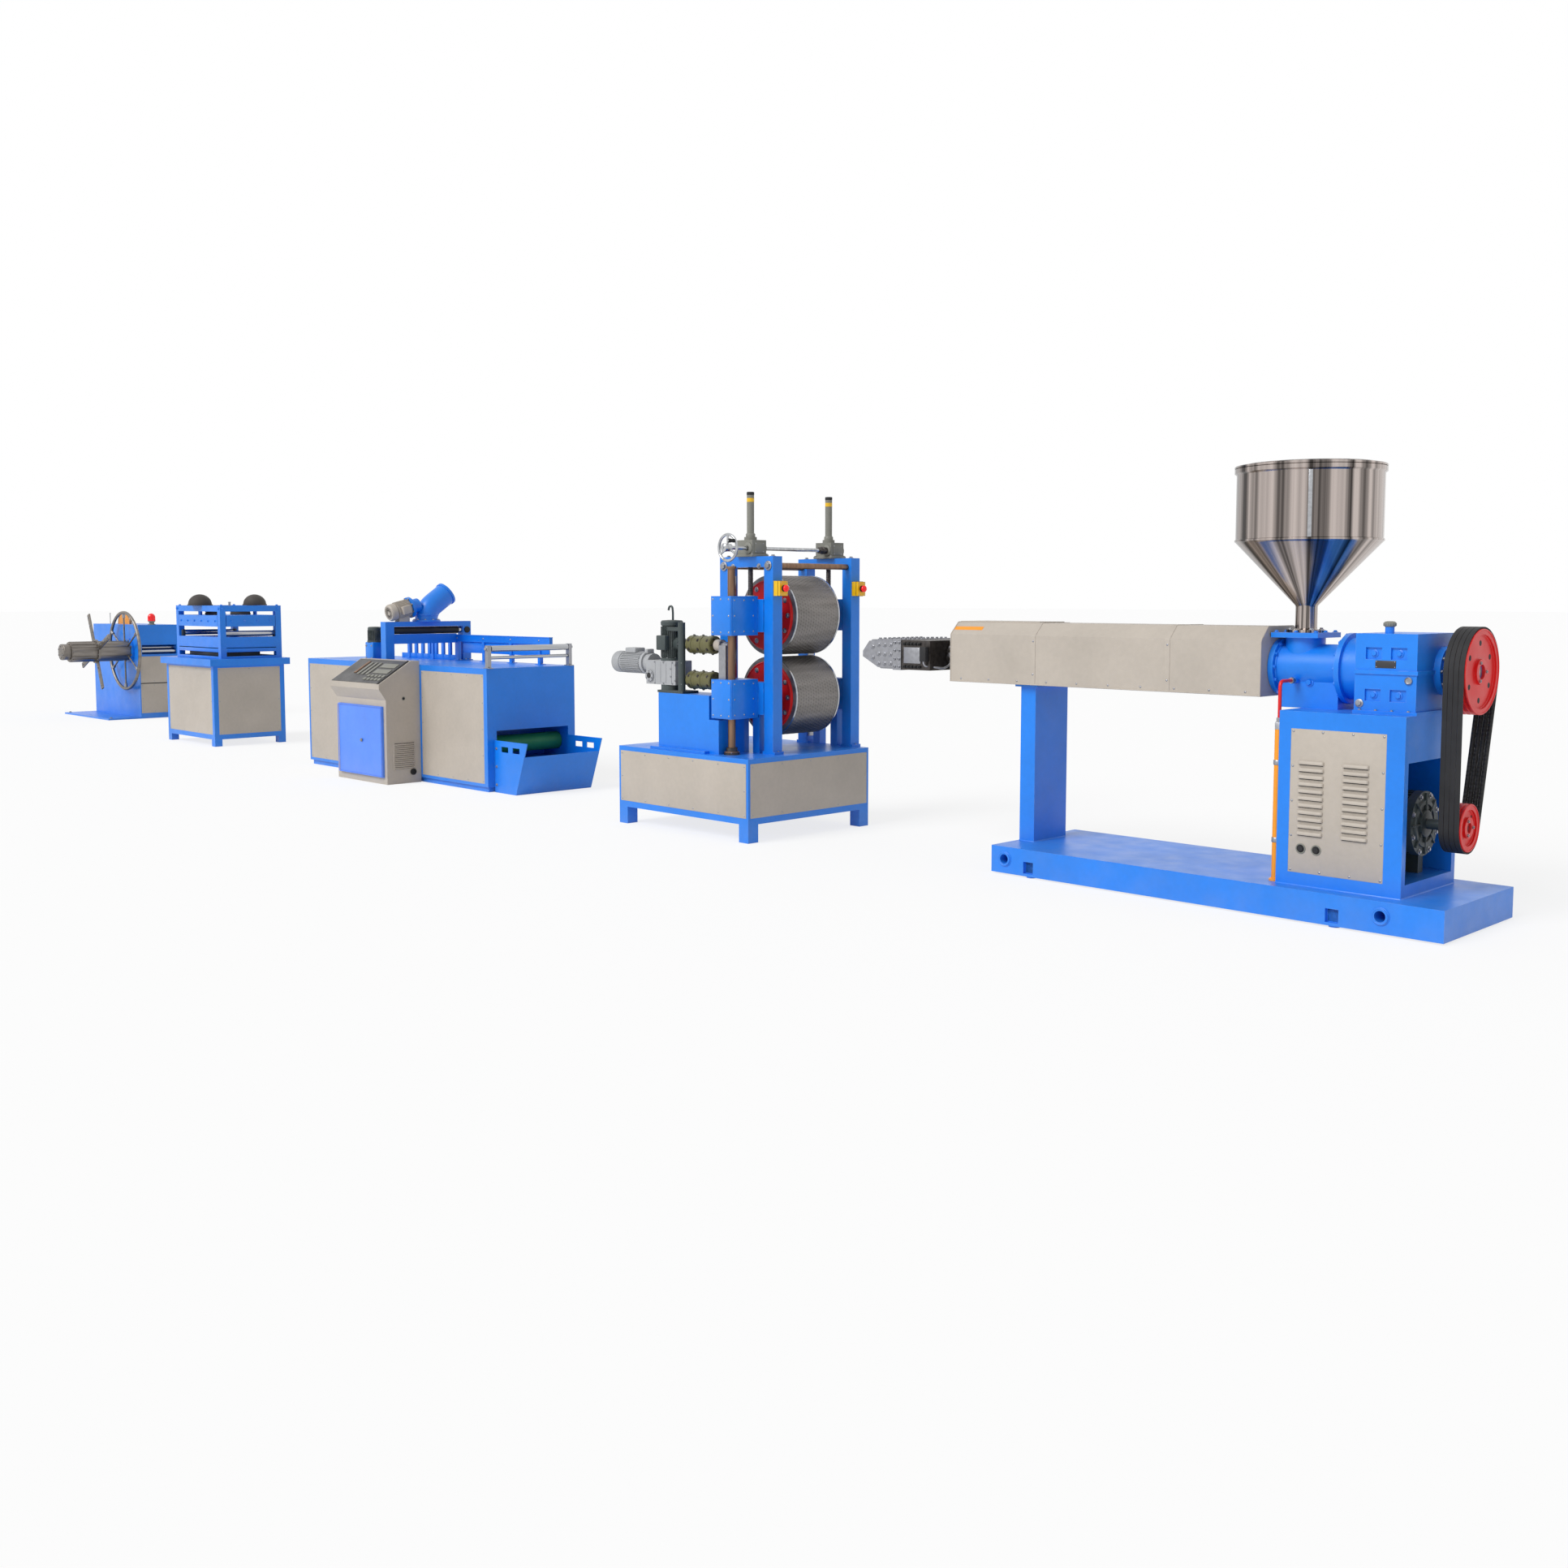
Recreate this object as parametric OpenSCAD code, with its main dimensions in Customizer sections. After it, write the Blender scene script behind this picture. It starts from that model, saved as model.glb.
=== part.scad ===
// Drainage board production line: extruder, forming roll stand, haul-off with console,
// four-post press puller and cantilever winder, standing in one row along X.

/* [Line] */
// Clear floor between the extruder base and the roll stand
gap_extruder_stand = 1630; // [1500:10:2500]
// Clear floor between the roll stand and the haul-off
gap_stand_haul = 1909; // [1200:1:3000]
// Clear floor between the haul-off and the press puller
gap_haul_press = 2103; // [1000:1:3000]
// Clear floor between the press puller and the winder
gap_press_winder = 2976; // [1800:1:4000]
// Height of the sheet path above the floor
web_z = 1126; // [1110:1:1150]

/* [Extruder base] */
// Length of the base
base_l = 2450; // [2300:10:2800]
// Width of the base
base_w = 784; // [740:2:900]
// Height of the base above the floor
base_h = 153; // [130:1:180]
// Height of the levelling feet under the base
base_foot_h = 8; // [4:1:20]
// Radius of the lifting bar holes
lift_hole_r = 26; // [15:1:35]
// Depth that each lifting hole collar stands proud
lift_collar_t = 8; // [3:1:15]

/* [Extruder barrel] */
// Length of the barrel cover
cover_l = 1924; // [1700:1:2000]
// Width of the barrel cover
cover_w = 390; // [340:2:460]
// Height of the barrel cover
cover_h = 338; // [300:1:400]
// Size of the slanted top edges of the cover
cover_chamfer = 68; // [40:1:90]
// Sheet thickness of the cover
cover_t = 4; // [2:0.5:8]
// Radius of the heated barrel
barrel_r = 78; // [65:1:84]
// Height of the screw axis above the sheet path
axis_rise = 39; // [30:1:50]
// Height of the cover's lower edge above the sheet path
cover_drop = -104; // [-130:1:-90]
// Length of the bolted adaptor in front of the cover
nose_l = 118; // [100:1:160]
// Width of the barrel support post
support_w = 98; // [60:1:160]
// Depth of the barrel support post
support_d = 300; // [200:2:360]

/* [Die] */
// Width of the flat die
die_w = 430; // [360:2:440]
// Height of the die body
die_h = 172; // [150:2:200]
// Length of the heated manifold behind the die
manifold_l = 217; // [180:1:260]
// Length of the flange band between manifold and lips
band_l = 63; // [40:1:90]
// Length of the lip block with its wedge
die_lip_l = 247; // [200:1:300]
// Height of the lip end
die_lip_h = 32; // [24:1:50]

/* [Hopper] */
// Outer radius of the hopper
hopper_r = 338; // [280:1:380]
// Height of the straight part
hopper_cyl_h = 350; // [250:5:450]
// Height of the cone
hopper_cone_h = 308; // [220:2:380]
// Outer radius of the neck
hopper_neck_r = 51; // [40:1:70]
// Height of the neck
hopper_neck_h = 113; // [60:1:160]
// Wall of the hopper
hopper_t = 4; // [2:0.5:8]

/* [Extruder drive] */
// Distance from the base's end to the hopper axis
hopper_from_end = 864; // [830:1:900]
// Length of the gearbox
gearbox_l = 285; // [240:1:330]
// Half depth of the gearbox
gearbox_hd = 200; // [170:1:240]
// Height of the gearbox
gearbox_h = 350; // [310:1:400]
// Length of the drive cabinet
cabinet_l = 600; // [560:1:640]
// Width of the drive cabinet
cabinet_w = 588; // [540:2:660]
// Height of the drive cabinet
cabinet_h = 819; // [780:1:835]
// Radius of the gearbox pulley
big_pulley_r = 195; // [150:1:215]
// Radius of the motor pulley
small_pulley_r = 110; // [80:1:130]
// Height of the motor axis above the base
motor_axis_h = 310; // [240:1:360]
// Width of the pulley pack
pulley_w = 92; // [60:2:110]
// Number of belts
belt_count = 4; // [2:1:5]

/* [Roll stand] */
// Length of the stand cabinet
stand_l = 1261; // [1200:1:1500]
// Width of the stand cabinet
stand_w = 1081; // [1040:1:1300]
// Height of the cabinet top above the floor
stand_h = 517; // [460:1:540]
// Height of the stand's feet
stand_foot_h = 112; // [60:1:160]
// Radius of the forming drums
drum_r = 255; // [200:1:270]
// Length of the forming drums
drum_l = 400; // [300:2:420]
// Gap between the drums with the upper one down
nip_gap = 10; // [6:1:20]
// Lift of the upper drum
drum_lift = 60; // [20:5:80]
// Distance between the two posts of a side frame, centre to centre
post_pitch = 410; // [390:2:460]
// Width of a square post
post_w = 80; // [60:2:100]
// Distance between the two side frames, centre to centre
frame_pitch = 710; // [690:2:760]
// Height of the posts' tops above the floor
post_top = 1756; // [1745:1:1850]
// Radius of the drum shafts
shaft_r = 45; // [30:1:60]
// Height of the bearing boxes
box_h = 245; // [180:1:250]
// Radius of the jack screws
screw_r = 17; // [10:1:22]
// Height of the jack screw tubes
tube_h = 275; // [230:5:350]
// Radius of the handwheel
handwheel_r = 90; // [70:1:110]

/* [Haul-off] */
// Length of the haul-off body
haul_l = 2876; // [2500:2:3200]
// Width of the haul-off body
haul_w = 827; // [760:1:900]
// Height of the haul-off deck
haul_h = 956; // [900:1:990]
// Height of the plinth under the body
plinth_h = 40; // [20:1:80]
// Length of the catch tray
tray_l = 437; // [300:1:600]
// Height of the catch tray's side plates
tray_h = 398; // [370:1:430]
// Height of the catch tray's outer plate
tray_front_h = 298; // [240:1:340]
// Plate thickness of the tray
tray_t = 8; // [4:1:12]
// Radius of the feed roller
feed_roller_r = 70; // [50:1:85]
// Height of the portal above the deck
portal_h = 340; // [300:1:380]
// Radius of the blower duct
duct_r = 95; // [70:1:110]

/* [Console] */
// Width of the console
console_l = 800; // [700:5:900]
// Depth of the console foot
console_d = 308; // [260:2:360]
// Height of the console
console_h = 988; // [940:1:1040]
// Height of the desk's lower edge
desk_edge_h = 808; // [760:1:830]
// Reach of the desk lip beyond the foot
desk_lip = 60; // [30:1:80]
// Thickness of the desk panel
desk_t = 12; // [6:1:20]
// Thickness of the console door
door_t = 18; // [10:1:25]

/* [Press puller] */
// Length of the press table
press_l = 1139; // [1050:1:1300]
// Width of the press table
press_w = 754; // [700:2:850]
// Height of the table body
table_h = 812; // [760:1:830]
// Thickness of the overhanging table top
table_top_t = 68; // [40:1:90]
// Length of the four-post frame
press_frame_l = 1070; // [950:2:1130]
// Width of the four-post frame
press_frame_w = 651; // [600:1:740]
// Height of the four-post frame above the table top
press_frame_h = 537; // [532:1:620]
// Width of the press posts
press_post_w = 60; // [40:1:80]
// Thickness of the platens
platen_t = 115; // [80:1:118]
// Gap between the platens
platen_gap = 107; // [60:1:110]
// Lift of the upper platen
platen_lift = 30; // [10:1:32]

/* [Winder] */
// Length of the winder
winder_l = 1484; // [1300:2:1700]
// Depth of the winder box
winder_d = 498; // [420:2:600]
// Height of the winder box
winder_h = 1160; // [1100:1:1300]
// Distance of the winder's front face behind the line axis
winder_face_y = 442; // [400:1:480]
// Reach of the base plate in front of the winder's face
winder_apron = 396; // [300:2:440]
// Thickness of the base plate
winder_plate_t = 20; // [10:1:30]
// Radius of the reel's back ring
reel_r = 490; // [400:2:510]
// Radius of the mandrel
mandrel_r = 120; // [80:1:140]
// Length of the mandrel in front of the box
mandrel_l = 822; // [700:2:900]
// Height of the mandrel axis
mandrel_z = 838; // [820:1:900]

/* [Clearances] */
// Radial play of a journal in its bearing
journal_play = 0.3; // [0.2:0.1:0.5]
// Room between a moving piece and its neighbours
run_gap = 6; // [5:0.5:8]
// Depth that the sheet panels sit in their frames
panel_t = 5; // [3:0.5:8]
// Width of the frame strips round the sheet panels
strip_w = 48; // [30:1:60]

/* [Hidden] */
$fn = 64;

// Colours of the line
blue = "#2f87e8";
cream = "#cfc9bd";
steel = "#b4b7b9";
dark = "#34363a";
red = "#c8322a";

// Places of the machines along the row, from the extruder's drive end
line_l = base_l + gap_extruder_stand + stand_l + gap_stand_haul + haul_l
       + gap_haul_press + press_l + gap_press_winder + winder_l;
base_x1 = line_l / 2;
base_x0 = base_x1 - base_l;
stand_x1 = base_x0 - gap_extruder_stand;
stand_x0 = stand_x1 - stand_l;
haul_x1 = stand_x0 - gap_stand_haul;
haul_x0 = haul_x1 - haul_l;
press_x1 = haul_x0 - gap_haul_press;
press_x0 = press_x1 - press_l;
winder_x1 = press_x0 - gap_press_winder;
winder_x0 = winder_x1 - winder_l;

// Extruder
cover_z0 = web_z + cover_drop;
cover_z1 = cover_z0 + cover_h;
axis_z = web_z + axis_rise;
drive_end_room = 236;
cabinet_x1 = base_x1 - drive_end_room;
cabinet_x0 = cabinet_x1 - cabinet_l;
cabinet_z1 = base_h + cabinet_h;
gearbox_x1 = cabinet_x1;
gearbox_x0 = gearbox_x1 - gearbox_l;
gearbox_foot_h = 15;
gearbox_z0 = cabinet_z1 + gearbox_foot_h;
gearbox_z1 = gearbox_z0 + gearbox_h;
hopper_x = base_x1 - hopper_from_end;
cover_from_hopper = 126;
cover_x1 = hopper_x - cover_from_hopper;
cover_x0 = cover_x1 - cover_l;
nose_x0 = cover_x0 - nose_l;
band_x1 = nose_x0 - manifold_l;
band_x0 = band_x1 - band_l;
lip_x = band_x0 - die_lip_l;
throat_r = 112;
throat_rise = 167;
throat_z1 = axis_z + throat_rise;
port_y = 128;
port_z = axis_z - 60;
riser_r = 19;
riser_x = cabinet_x0 - riser_r - 3;
hopper_flange_h = 14;
hopper_z0 = throat_z1 + hopper_flange_h;
cone_z0 = hopper_z0 + hopper_neck_h;
cyl_z0 = cone_z0 + hopper_cone_h;
hopper_z1 = cyl_z0 + hopper_cyl_h;
pulley_end_room = 64;
pulley_x1 = base_x1 - pulley_end_room;
pulley_x0 = pulley_x1 - pulley_w;
big_pulley_y = 90;
big_pulley_z = axis_z;
motor_y = 10;
motor_z = base_h + motor_axis_h;
motor_r = 150;
big_stub_r = 34;
small_stub_r = 24;
belt_t = 9;
belt_fn = 96;
belt_seat = 0.4;
belt_w = 18;

// Roll stand
stand_y1 = 390;
stand_y0 = stand_y1 - stand_w;
drum_from_end = 334;
drum_x = stand_x1 - drum_from_end;
upper_z = web_z + drum_r + nip_gap / 2;
lower_z = web_z - drum_r - nip_gap / 2;
frame_y = frame_pitch / 2;
post_dx = post_pitch / 2;
block_w = post_pitch - post_w - 2 * run_gap;
box_w = 186;
box_d = 227;
box_x = drum_x + 16;
box_y1 = -frame_y - post_w / 2;
box_y0 = box_y1 - box_d;
disc_t = 12;
disc_r = drum_r - 30;
beam_h = 66;
beam_z0 = post_top - beam_h;
jack_w = 120;
jack_h = 124;
jack_z1 = post_top + jack_h;
tube_z1 = jack_z1 + tube_h;
cross_z = post_top + 52;
cross_x = drum_x + screw_r + 26;
cross_r = 12;
column_r = 24;
column_x = drum_x + 44;
column_y = box_y0 + 62;
column_z1 = beam_z0 - 12;
wheel_y = box_y0 + 34;
box_x0 = box_x - box_w / 2;
pedestal_from_end = 330;
pedestal_h = 366;
pedestal_x0 = stand_x0 + pedestal_from_end;
pedestal_x1 = box_x0 - 23;
pedestal_y0 = box_y0;
pedestal_y1 = box_y1 - 7;
pedestal_z1 = stand_h + pedestal_h;
drive_y = box_y0 + 82;
upright_x = pedestal_x0 + 43;
case_x1 = upright_x + 114;
case_z0 = pedestal_z1 + 51;
case_z1 = case_z0 + 156;
boss_x1 = upright_x + 104;
coupling_x0 = upright_x + 194;
coupling_x1 = upright_x + 428;
coupling_r = 54;
high_drive_z = web_z + 74;
low_drive_z = lower_z + 106;

// Haul-off
haul_y0 = -472;
haul_y1 = haul_y0 + haul_w;
console_from_end = 1900;
console_x1 = haul_x0 + console_from_end;
console_x0 = console_x1 - console_l;
console_y1 = haul_y0;
console_y0 = console_y1 - console_d;
mouth_side_front = 84;
mouth_side_back = 67;
mouth_y0 = haul_y0 + mouth_side_front;
mouth_y1 = haul_y1 - mouth_side_back;
mouth_z0 = 230;
mouth_z1 = 474;
mouth_d = 330;
feed_x = haul_x1 - 150;
feed_z = (mouth_z0 + mouth_z1) / 2;
feed_shaft_r = 20;
portal_from_end = 1337;
portal_x = haul_x0 + portal_from_end;
portal_w = 80;
portal_z1 = haul_h + portal_h;
portal_bar_h = 42;
portal_slot_h = 64;
portal_sill_h = 80;
duct_y = haul_y0 + haul_w / 2;
rail_x0 = haul_x0 + 400;
rail_x1 = haul_x1 - 150;
rail_y0 = haul_y1 - 130;
rail_w = 30;
rail_z0 = haul_h + 164;
rail_h = 60;
inlet_x = haul_x1 - 24;
inlet_z = haul_h + 150;
inlet_r = 24;
inlet_pin_r = 10;
inlet_post_w = 30;
inlet_inset = 18;

// Console desk
door_inset = 52;
door_x0 = console_x0 + door_inset;
door_x1 = console_x1 - door_inset + 12;
door_z0 = 55;
door_z1 = 628;
hinge_r = 7;
hinge_x = door_x0 + hinge_r;
hinge_y = console_y0 - door_t / 2;

// Press puller
press_y1 = 323;
press_y0 = press_y1 - press_w;
press_foot_h = 70;
table_z1 = table_h + table_top_t;
press_top = table_z1 + press_frame_h;
frame_x1 = press_x1 - 85;
frame_x0 = frame_x1 - press_frame_l;
frame_y0 = press_y0 + 125;
frame_y1 = frame_y0 + press_frame_w;
platen_rise = 102;
lower_platen_z0 = table_z1 + platen_rise;
platen_z0 = lower_platen_z0 + platen_t;
upper_platen_z0 = platen_z0 + platen_gap;
upper_platen_z1 = upper_platen_z0 + platen_t;
press_beam_h = 60;
press_beam_z0 = press_top - press_beam_h;
rod_r = 20;
rod_over = 20;
rod_top = press_top + rod_over;
press_mid_x = (frame_x0 + frame_x1) / 2;
dome_r = 132;
dome_foot_h = 14;

// Winder
winder_y1 = winder_face_y + winder_d;
slot_z0 = 790;
slot_z1 = 917;
slot_d = 150;
reel_x = winder_x1 - 290;
ring_y = winder_face_y - 62;
spider_y = winder_face_y - 415;
hub_t = 26;
tip_l = 90;
tip_r = mandrel_r - 24;
reel_journal_r = 40;
beacon_r = 40;
tip_y = winder_face_y - mandrel_l;

// The whole row is centred on the origin in Y
front_reach = -console_y0 + desk_lip;
line_y = (front_reach - winder_y1) / 2;

module at_line() {
  translate([0, line_y, 0])
    children();
}

// A block given by its two corners
module block(a, b) {
  translate(a)
    cube(b - a);
}

module rod_x(p, r, l) {
  translate(p)
    rotate([0, 90, 0])
      cylinder(r = r, h = l);
}

module rod_y(p, r, l) {
  translate(p)
    rotate([-90, 0, 0])
      cylinder(r = r, h = l);
}

module rod_z(p, r, l) {
  translate(p)
    cylinder(r = r, h = l);
}

// A cabinet core with a shallow recess for each sheet panel
module panelled_core(a, b, panels) {
  difference() {
    block(a, b);
    for (p = panels) panel_slab(a, b, p, panel_t + 1);
  }
}

// One sheet panel: side, first edge, second edge, lower edge, upper edge
module panel_slab(a, b, p, depth) {
  if (p[0] == "front") block([p[1], a[1] - 1, p[3]], [p[2], a[1] + depth - 1, p[4]]);
  if (p[0] == "back") block([p[1], b[1] - depth + 1, p[3]], [p[2], b[1] + 1, p[4]]);
  if (p[0] == "up") block([b[0] - depth + 1, p[1], p[3]], [b[0] + 1, p[2], p[4]]);
  if (p[0] == "down") block([a[0] - 1, p[1], p[3]], [a[0] + depth - 1, p[2], p[4]]);
}

// The sheet panels themselves, a little below their frame strips
module sheet_panels(a, b, panels) {
  for (p = panels)
    difference() {
      panel_slab(a, b, p, panel_t + 1);
      panel_slab(a, b, p, 2);
    }
}

module extruder_base() {
  hole_inset = 90;
  pocket_inset = 245;
  hole_x = [base_x0 + hole_inset, cabinet_x1 - hole_inset / 2];
  pocket_x = [base_x0 + pocket_inset, cabinet_x0 + cabinet_l / 2 + 29];
  pocket_w = 64;
  hole_z = base_h / 2 + 10;
  hw = base_w / 2;
  color(blue)
    difference() {
      union() {
        block([base_x0, -hw, base_foot_h], [base_x1, hw, base_h]);
        for (x = hole_x)
          rod_y([x, -hw - lift_collar_t, hole_z], lift_hole_r + 12, base_w + 2 * lift_collar_t);
        for (x = pocket_x, s = [-1, 1])
          rod_z([x, s * (hw - 32), 0], 26, base_foot_h + 1);
      }
      for (x = hole_x)
        rod_y([x, -hw - lift_collar_t - 1, hole_z], lift_hole_r, base_w + 2 * lift_collar_t + 2);
      for (x = pocket_x, s = [-1, 1])
        translate([x, s * hw, base_foot_h + 46])
          cube([pocket_w, 48, pocket_w], center = true);
    }
}

module barrel_support() {
  color(blue) {
    block([base_x0 + 6, -support_d / 2, base_h], [base_x0 + 6 + support_w, support_d / 2, cover_z0 - 12]);
    block([base_x0 - 20, -support_d / 2 - 20, cover_z0 - 12],
          [base_x0 + 30 + support_w, support_d / 2 + 20, cover_z0]);
  }
}

// Cross-section of the cover: upright sides, slanted top edges, open underneath
module cover_outline(w, h, c) {
  polygon([[-w / 2, 0], [w / 2, 0], [w / 2, h - c], [w / 2 - c, h], [-w / 2 + c, h], [-w / 2, h - c]]);
}

module barrel_cover() {
  color(cream)
    difference() {
      translate([cover_x0, 0, cover_z0])
        rotate([90, 0, 90])
          linear_extrude(cover_l)
            cover_outline(cover_w, cover_h, cover_chamfer);
      translate([cover_x0 + cover_t, 0, cover_z0 - 1])
        rotate([90, 0, 90])
          linear_extrude(cover_l - 2 * cover_t)
            cover_outline(cover_w - 2 * cover_t, cover_h - cover_t + 1, cover_chamfer);
      rod_x([cover_x0 - 1, 0, axis_z], barrel_r + 1, cover_l + 2);
    }
}

module barrel() {
  band_n = 6;
  band_pitch = (cover_l - 120) / band_n;
  flange_t = 46;
  color(dark) {
    rod_x([nose_x0, 0, axis_z], barrel_r, cover_x1 - nose_x0 + 2);
    for (x = [nose_x0, cover_x0 - flange_t - 12])
      rod_x([x, 0, axis_z], die_h / 2, flange_t);
    for (i = [0 : band_n - 1])
      rod_x([cover_x0 + 60 + i * band_pitch, 0, axis_z], barrel_r + 12, band_pitch - 40);
  }
}

// Heated block that spreads the melt to the width of the die
module die_manifold() {
  hw = die_w / 2 + 20;
  hh = die_h / 2;
  color(dark)
    block([band_x1, -hw, axis_z - hh], [nose_x0, hw, axis_z + hh]);
}

// Side outline of the lip block: steep above, longer slant below
module lip_outline(inset) {
  hh = die_h / 2 - inset;
  lh = die_lip_h / 2;
  upper_slant = 60;
  lower_slant = 130;
  polygon([
    [band_x0, -hh], [band_x0, hh], [lip_x + upper_slant, hh],
    [lip_x + inset, lh], [lip_x + inset, -lh], [lip_x + lower_slant, -hh]
  ]);
}

module die_head() {
  hw = die_w / 2;
  hh = die_h / 2;
  plate_t = 26;
  plate_inset = 8;
  slot_h = 4;
  color(steel)
    difference() {
      union() {
        translate([0, hw, axis_z])
          rotate([90, 0, 0])
            linear_extrude(die_w)
              lip_outline(0);
        translate([0, hw + plate_t, axis_z])
          rotate([90, 0, 0])
            linear_extrude(die_w + 2 * plate_t)
              lip_outline(plate_inset);
        block([band_x0, -hw - plate_t, axis_z - hh - 4], [band_x1, hw + plate_t, axis_z + hh + 4]);
      }
      block([lip_x - 1, -hw + 15, axis_z - slot_h / 2], [band_x0, hw - 15, axis_z + slot_h / 2]);
    }
}

module feed_throat() {
  x0 = cover_x1 + 2;
  x1 = gearbox_x0;
  flange_w = 238;
  flange_t = 24;
  color(blue) {
    rod_x([x0, 0, axis_z], throat_r, x1 - x0);
    rod_x([x0, 0, axis_z], throat_r + 26, 26);
    rod_x([x1 - 120, 0, axis_z], throat_r + 56, 24);
    rod_x([x1 - 96, 0, axis_z], throat_r + 34, 96);
    rod_z([hopper_x, 0, axis_z], throat_r - 20, throat_rise - flange_t + 4);
    rod_y([riser_x, -port_y, port_z], 16, 2 * port_y);
    block([hopper_x - flange_w / 2, -flange_w / 2, throat_z1 - flange_t],
          [hopper_x + flange_w / 2, flange_w / 2, throat_z1]);
    block([hopper_x - 70, -90, cabinet_z1], [x1 - 130, 90, axis_z]);
  }
}

module hopper() {
  r0 = hopper_neck_r;
  color(steel)
    rotate_extrude_at([hopper_x, 0, 0])
      polygon([
        [r0 - hopper_t, throat_z1], [r0 + 40, throat_z1], [r0 + 40, hopper_z0], [r0, hopper_z0],
        [r0, cone_z0], [hopper_r, cyl_z0], [hopper_r, hopper_z1 - 24], [hopper_r + 10, hopper_z1 - 24],
        [hopper_r + 10, hopper_z1], [hopper_r - hopper_t, hopper_z1],
        [hopper_r - hopper_t, cyl_z0 + 2], [r0 - hopper_t, cone_z0 + 2]
      ]);
}

module rotate_extrude_at(p) {
  translate(p)
    rotate_extrude()
      children();
}

module hopper_lid() {
  color(steel)
    rotate_extrude_at([hopper_x, 0, hopper_z1])
      polygon([
        [0, 0], [hopper_r + 8, 0], [hopper_r + 8, 10], [hopper_r - 30, 16],
        [50, 30], [50, 36], [0, 36]
      ]);
}

module gearbox() {
  pad = 74;
  hd = gearbox_hd;
  mid_z = (gearbox_z0 + gearbox_z1) / 2;
  color(blue)
    difference() {
      union() {
        block([gearbox_x0, -hd, gearbox_z0], [gearbox_x1, hd, gearbox_z1]);
        block([gearbox_x0, -hd - 16, cabinet_z1], [gearbox_x1 + 12, hd + 16, gearbox_z0]);
        block([gearbox_x0, -hd - 8, mid_z - 9], [gearbox_x1 + 8, hd + 8, mid_z + 9]);
        rod_x([gearbox_x1, big_pulley_y, big_pulley_z], 112, 30);
        rod_x([gearbox_x1 + 30, big_pulley_y, big_pulley_z], 84, 26);
        rod_x([gearbox_x1 + 56, big_pulley_y, big_pulley_z], big_stub_r, pulley_x1 - gearbox_x1 - 70);
        rod_z([gearbox_x0 + 130, -hd + 60, gearbox_z1], 20, 32);
      }
      for (s = [-1, 1], i = [0, 1], j = [0, 1])
        translate([gearbox_x0 + 86 + i * 116, s * hd, gearbox_z0 + 70 + j * 190])
          cube([pad, 24, pad - 20], center = true);
    }
}

module drive_cabinet() {
  hw = cabinet_w / 2;
  wall = 40;
  color(blue)
    difference() {
      block([cabinet_x0, -hw, base_h], [cabinet_x1, hw, cabinet_z1]);
      block([cabinet_x0 + 120, -hw + wall, base_h + 60], [cabinet_x1 + 1, hw - wall, cabinet_z1 - 210]);
      block([cabinet_x0 + 60, -hw - 1, base_h + 60], [cabinet_x1 - 84, -hw + panel_t, cabinet_z1 - 82]);
    }
}

module louvre_panel() {
  hw = cabinet_w / 2;
  rows = 11;
  x0 = cabinet_x0 + 60;
  x1 = cabinet_x1 - 84;
  z0 = base_h + 60;
  z1 = cabinet_z1 - 82;
  pitch = (z1 - z0 - 190) / rows;
  slat_l = (x1 - x0) / 2 - 50;
  color(cream)
    union() {
      block([x0, -hw, z0], [x1, -hw + panel_t, z1]);
      for (i = [0 : rows - 1], c = [0, 1])
        translate([x0 + 34 + c * (slat_l + 32), -hw, z0 + 150 + i * pitch])
          rotate([90, 0, 90])
            linear_extrude(slat_l)
              polygon([[0, 0], [-13, 4], [-13, 7], [0, 24]]);
    }
}

module main_motor() {
  x0 = cabinet_x0 + 150;
  x1 = cabinet_x1 - 30;
  fins = 36;
  color(dark) {
    rod_x([x0 + 60, motor_y, motor_z], motor_r - 16, x1 - x0 - 60);
    rod_x([x0, motor_y, motor_z], motor_r - 6, 60);
    rod_x([x1 - 40, motor_y, motor_z], motor_r, 40);
    for (i = [0 : fins - 1])
      translate([x0 + 60, motor_y, motor_z])
        rotate([i * 360 / fins, 0, 0])
          block([0, motor_r - 18, -2.5], [x1 - x0 - 100, motor_r - 2, 2.5]);
    rod_x([x1, motor_y, motor_z], small_stub_r, pulley_x1 - x1 - 14);
    for (s = [-1, 1])
      block([x0 + 90, motor_y + s * 112 - 26, base_h + 60], [x1 - 60, motor_y + s * 112 + 26, motor_z - 76]);
  }
}

// A belt pulley: rim with grooves, dished web, hub and a bore for its shaft
module pulley(r, bore_r) {
  groove_pitch = pulley_w / belt_count;
  rim_t = 26;
  web_t = 22;
  hub_r = bore_r + 24;
  hub_l = 62;
  color(red)
    rotate([0, 90, 0])
      rotate_extrude() {
        difference() {
          translate([r - rim_t, 0])
            square([rim_t, pulley_w]);
          for (i = [0 : belt_count - 1])
            translate([r, (i + 0.5) * groove_pitch])
              polygon([[-8, -4], [1, -8], [1, 8], [-8, 4]]);
        }
        translate([bore_r, pulley_w - web_t - 12])
          square([r - rim_t - bore_r + 1, web_t]);
        translate([bore_r, pulley_w - hub_l])
          square([hub_r - bore_r, hub_l]);
      }
}

module gearbox_pulley() {
  translate([pulley_x0, big_pulley_y, big_pulley_z])
    pulley(big_pulley_r, big_stub_r + journal_play);
}

module motor_pulley() {
  translate([pulley_x0, motor_y, motor_z])
    pulley(small_pulley_r, small_stub_r + journal_play);
}

// Outline round both pulleys, a given distance outside their rims
module belt_outline(out) {
  hull() {
    translate([big_pulley_y, big_pulley_z])
      circle(r = big_pulley_r + out, $fn = belt_fn);
    translate([motor_y, motor_z])
      circle(r = small_pulley_r + out, $fn = belt_fn);
  }
}

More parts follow.
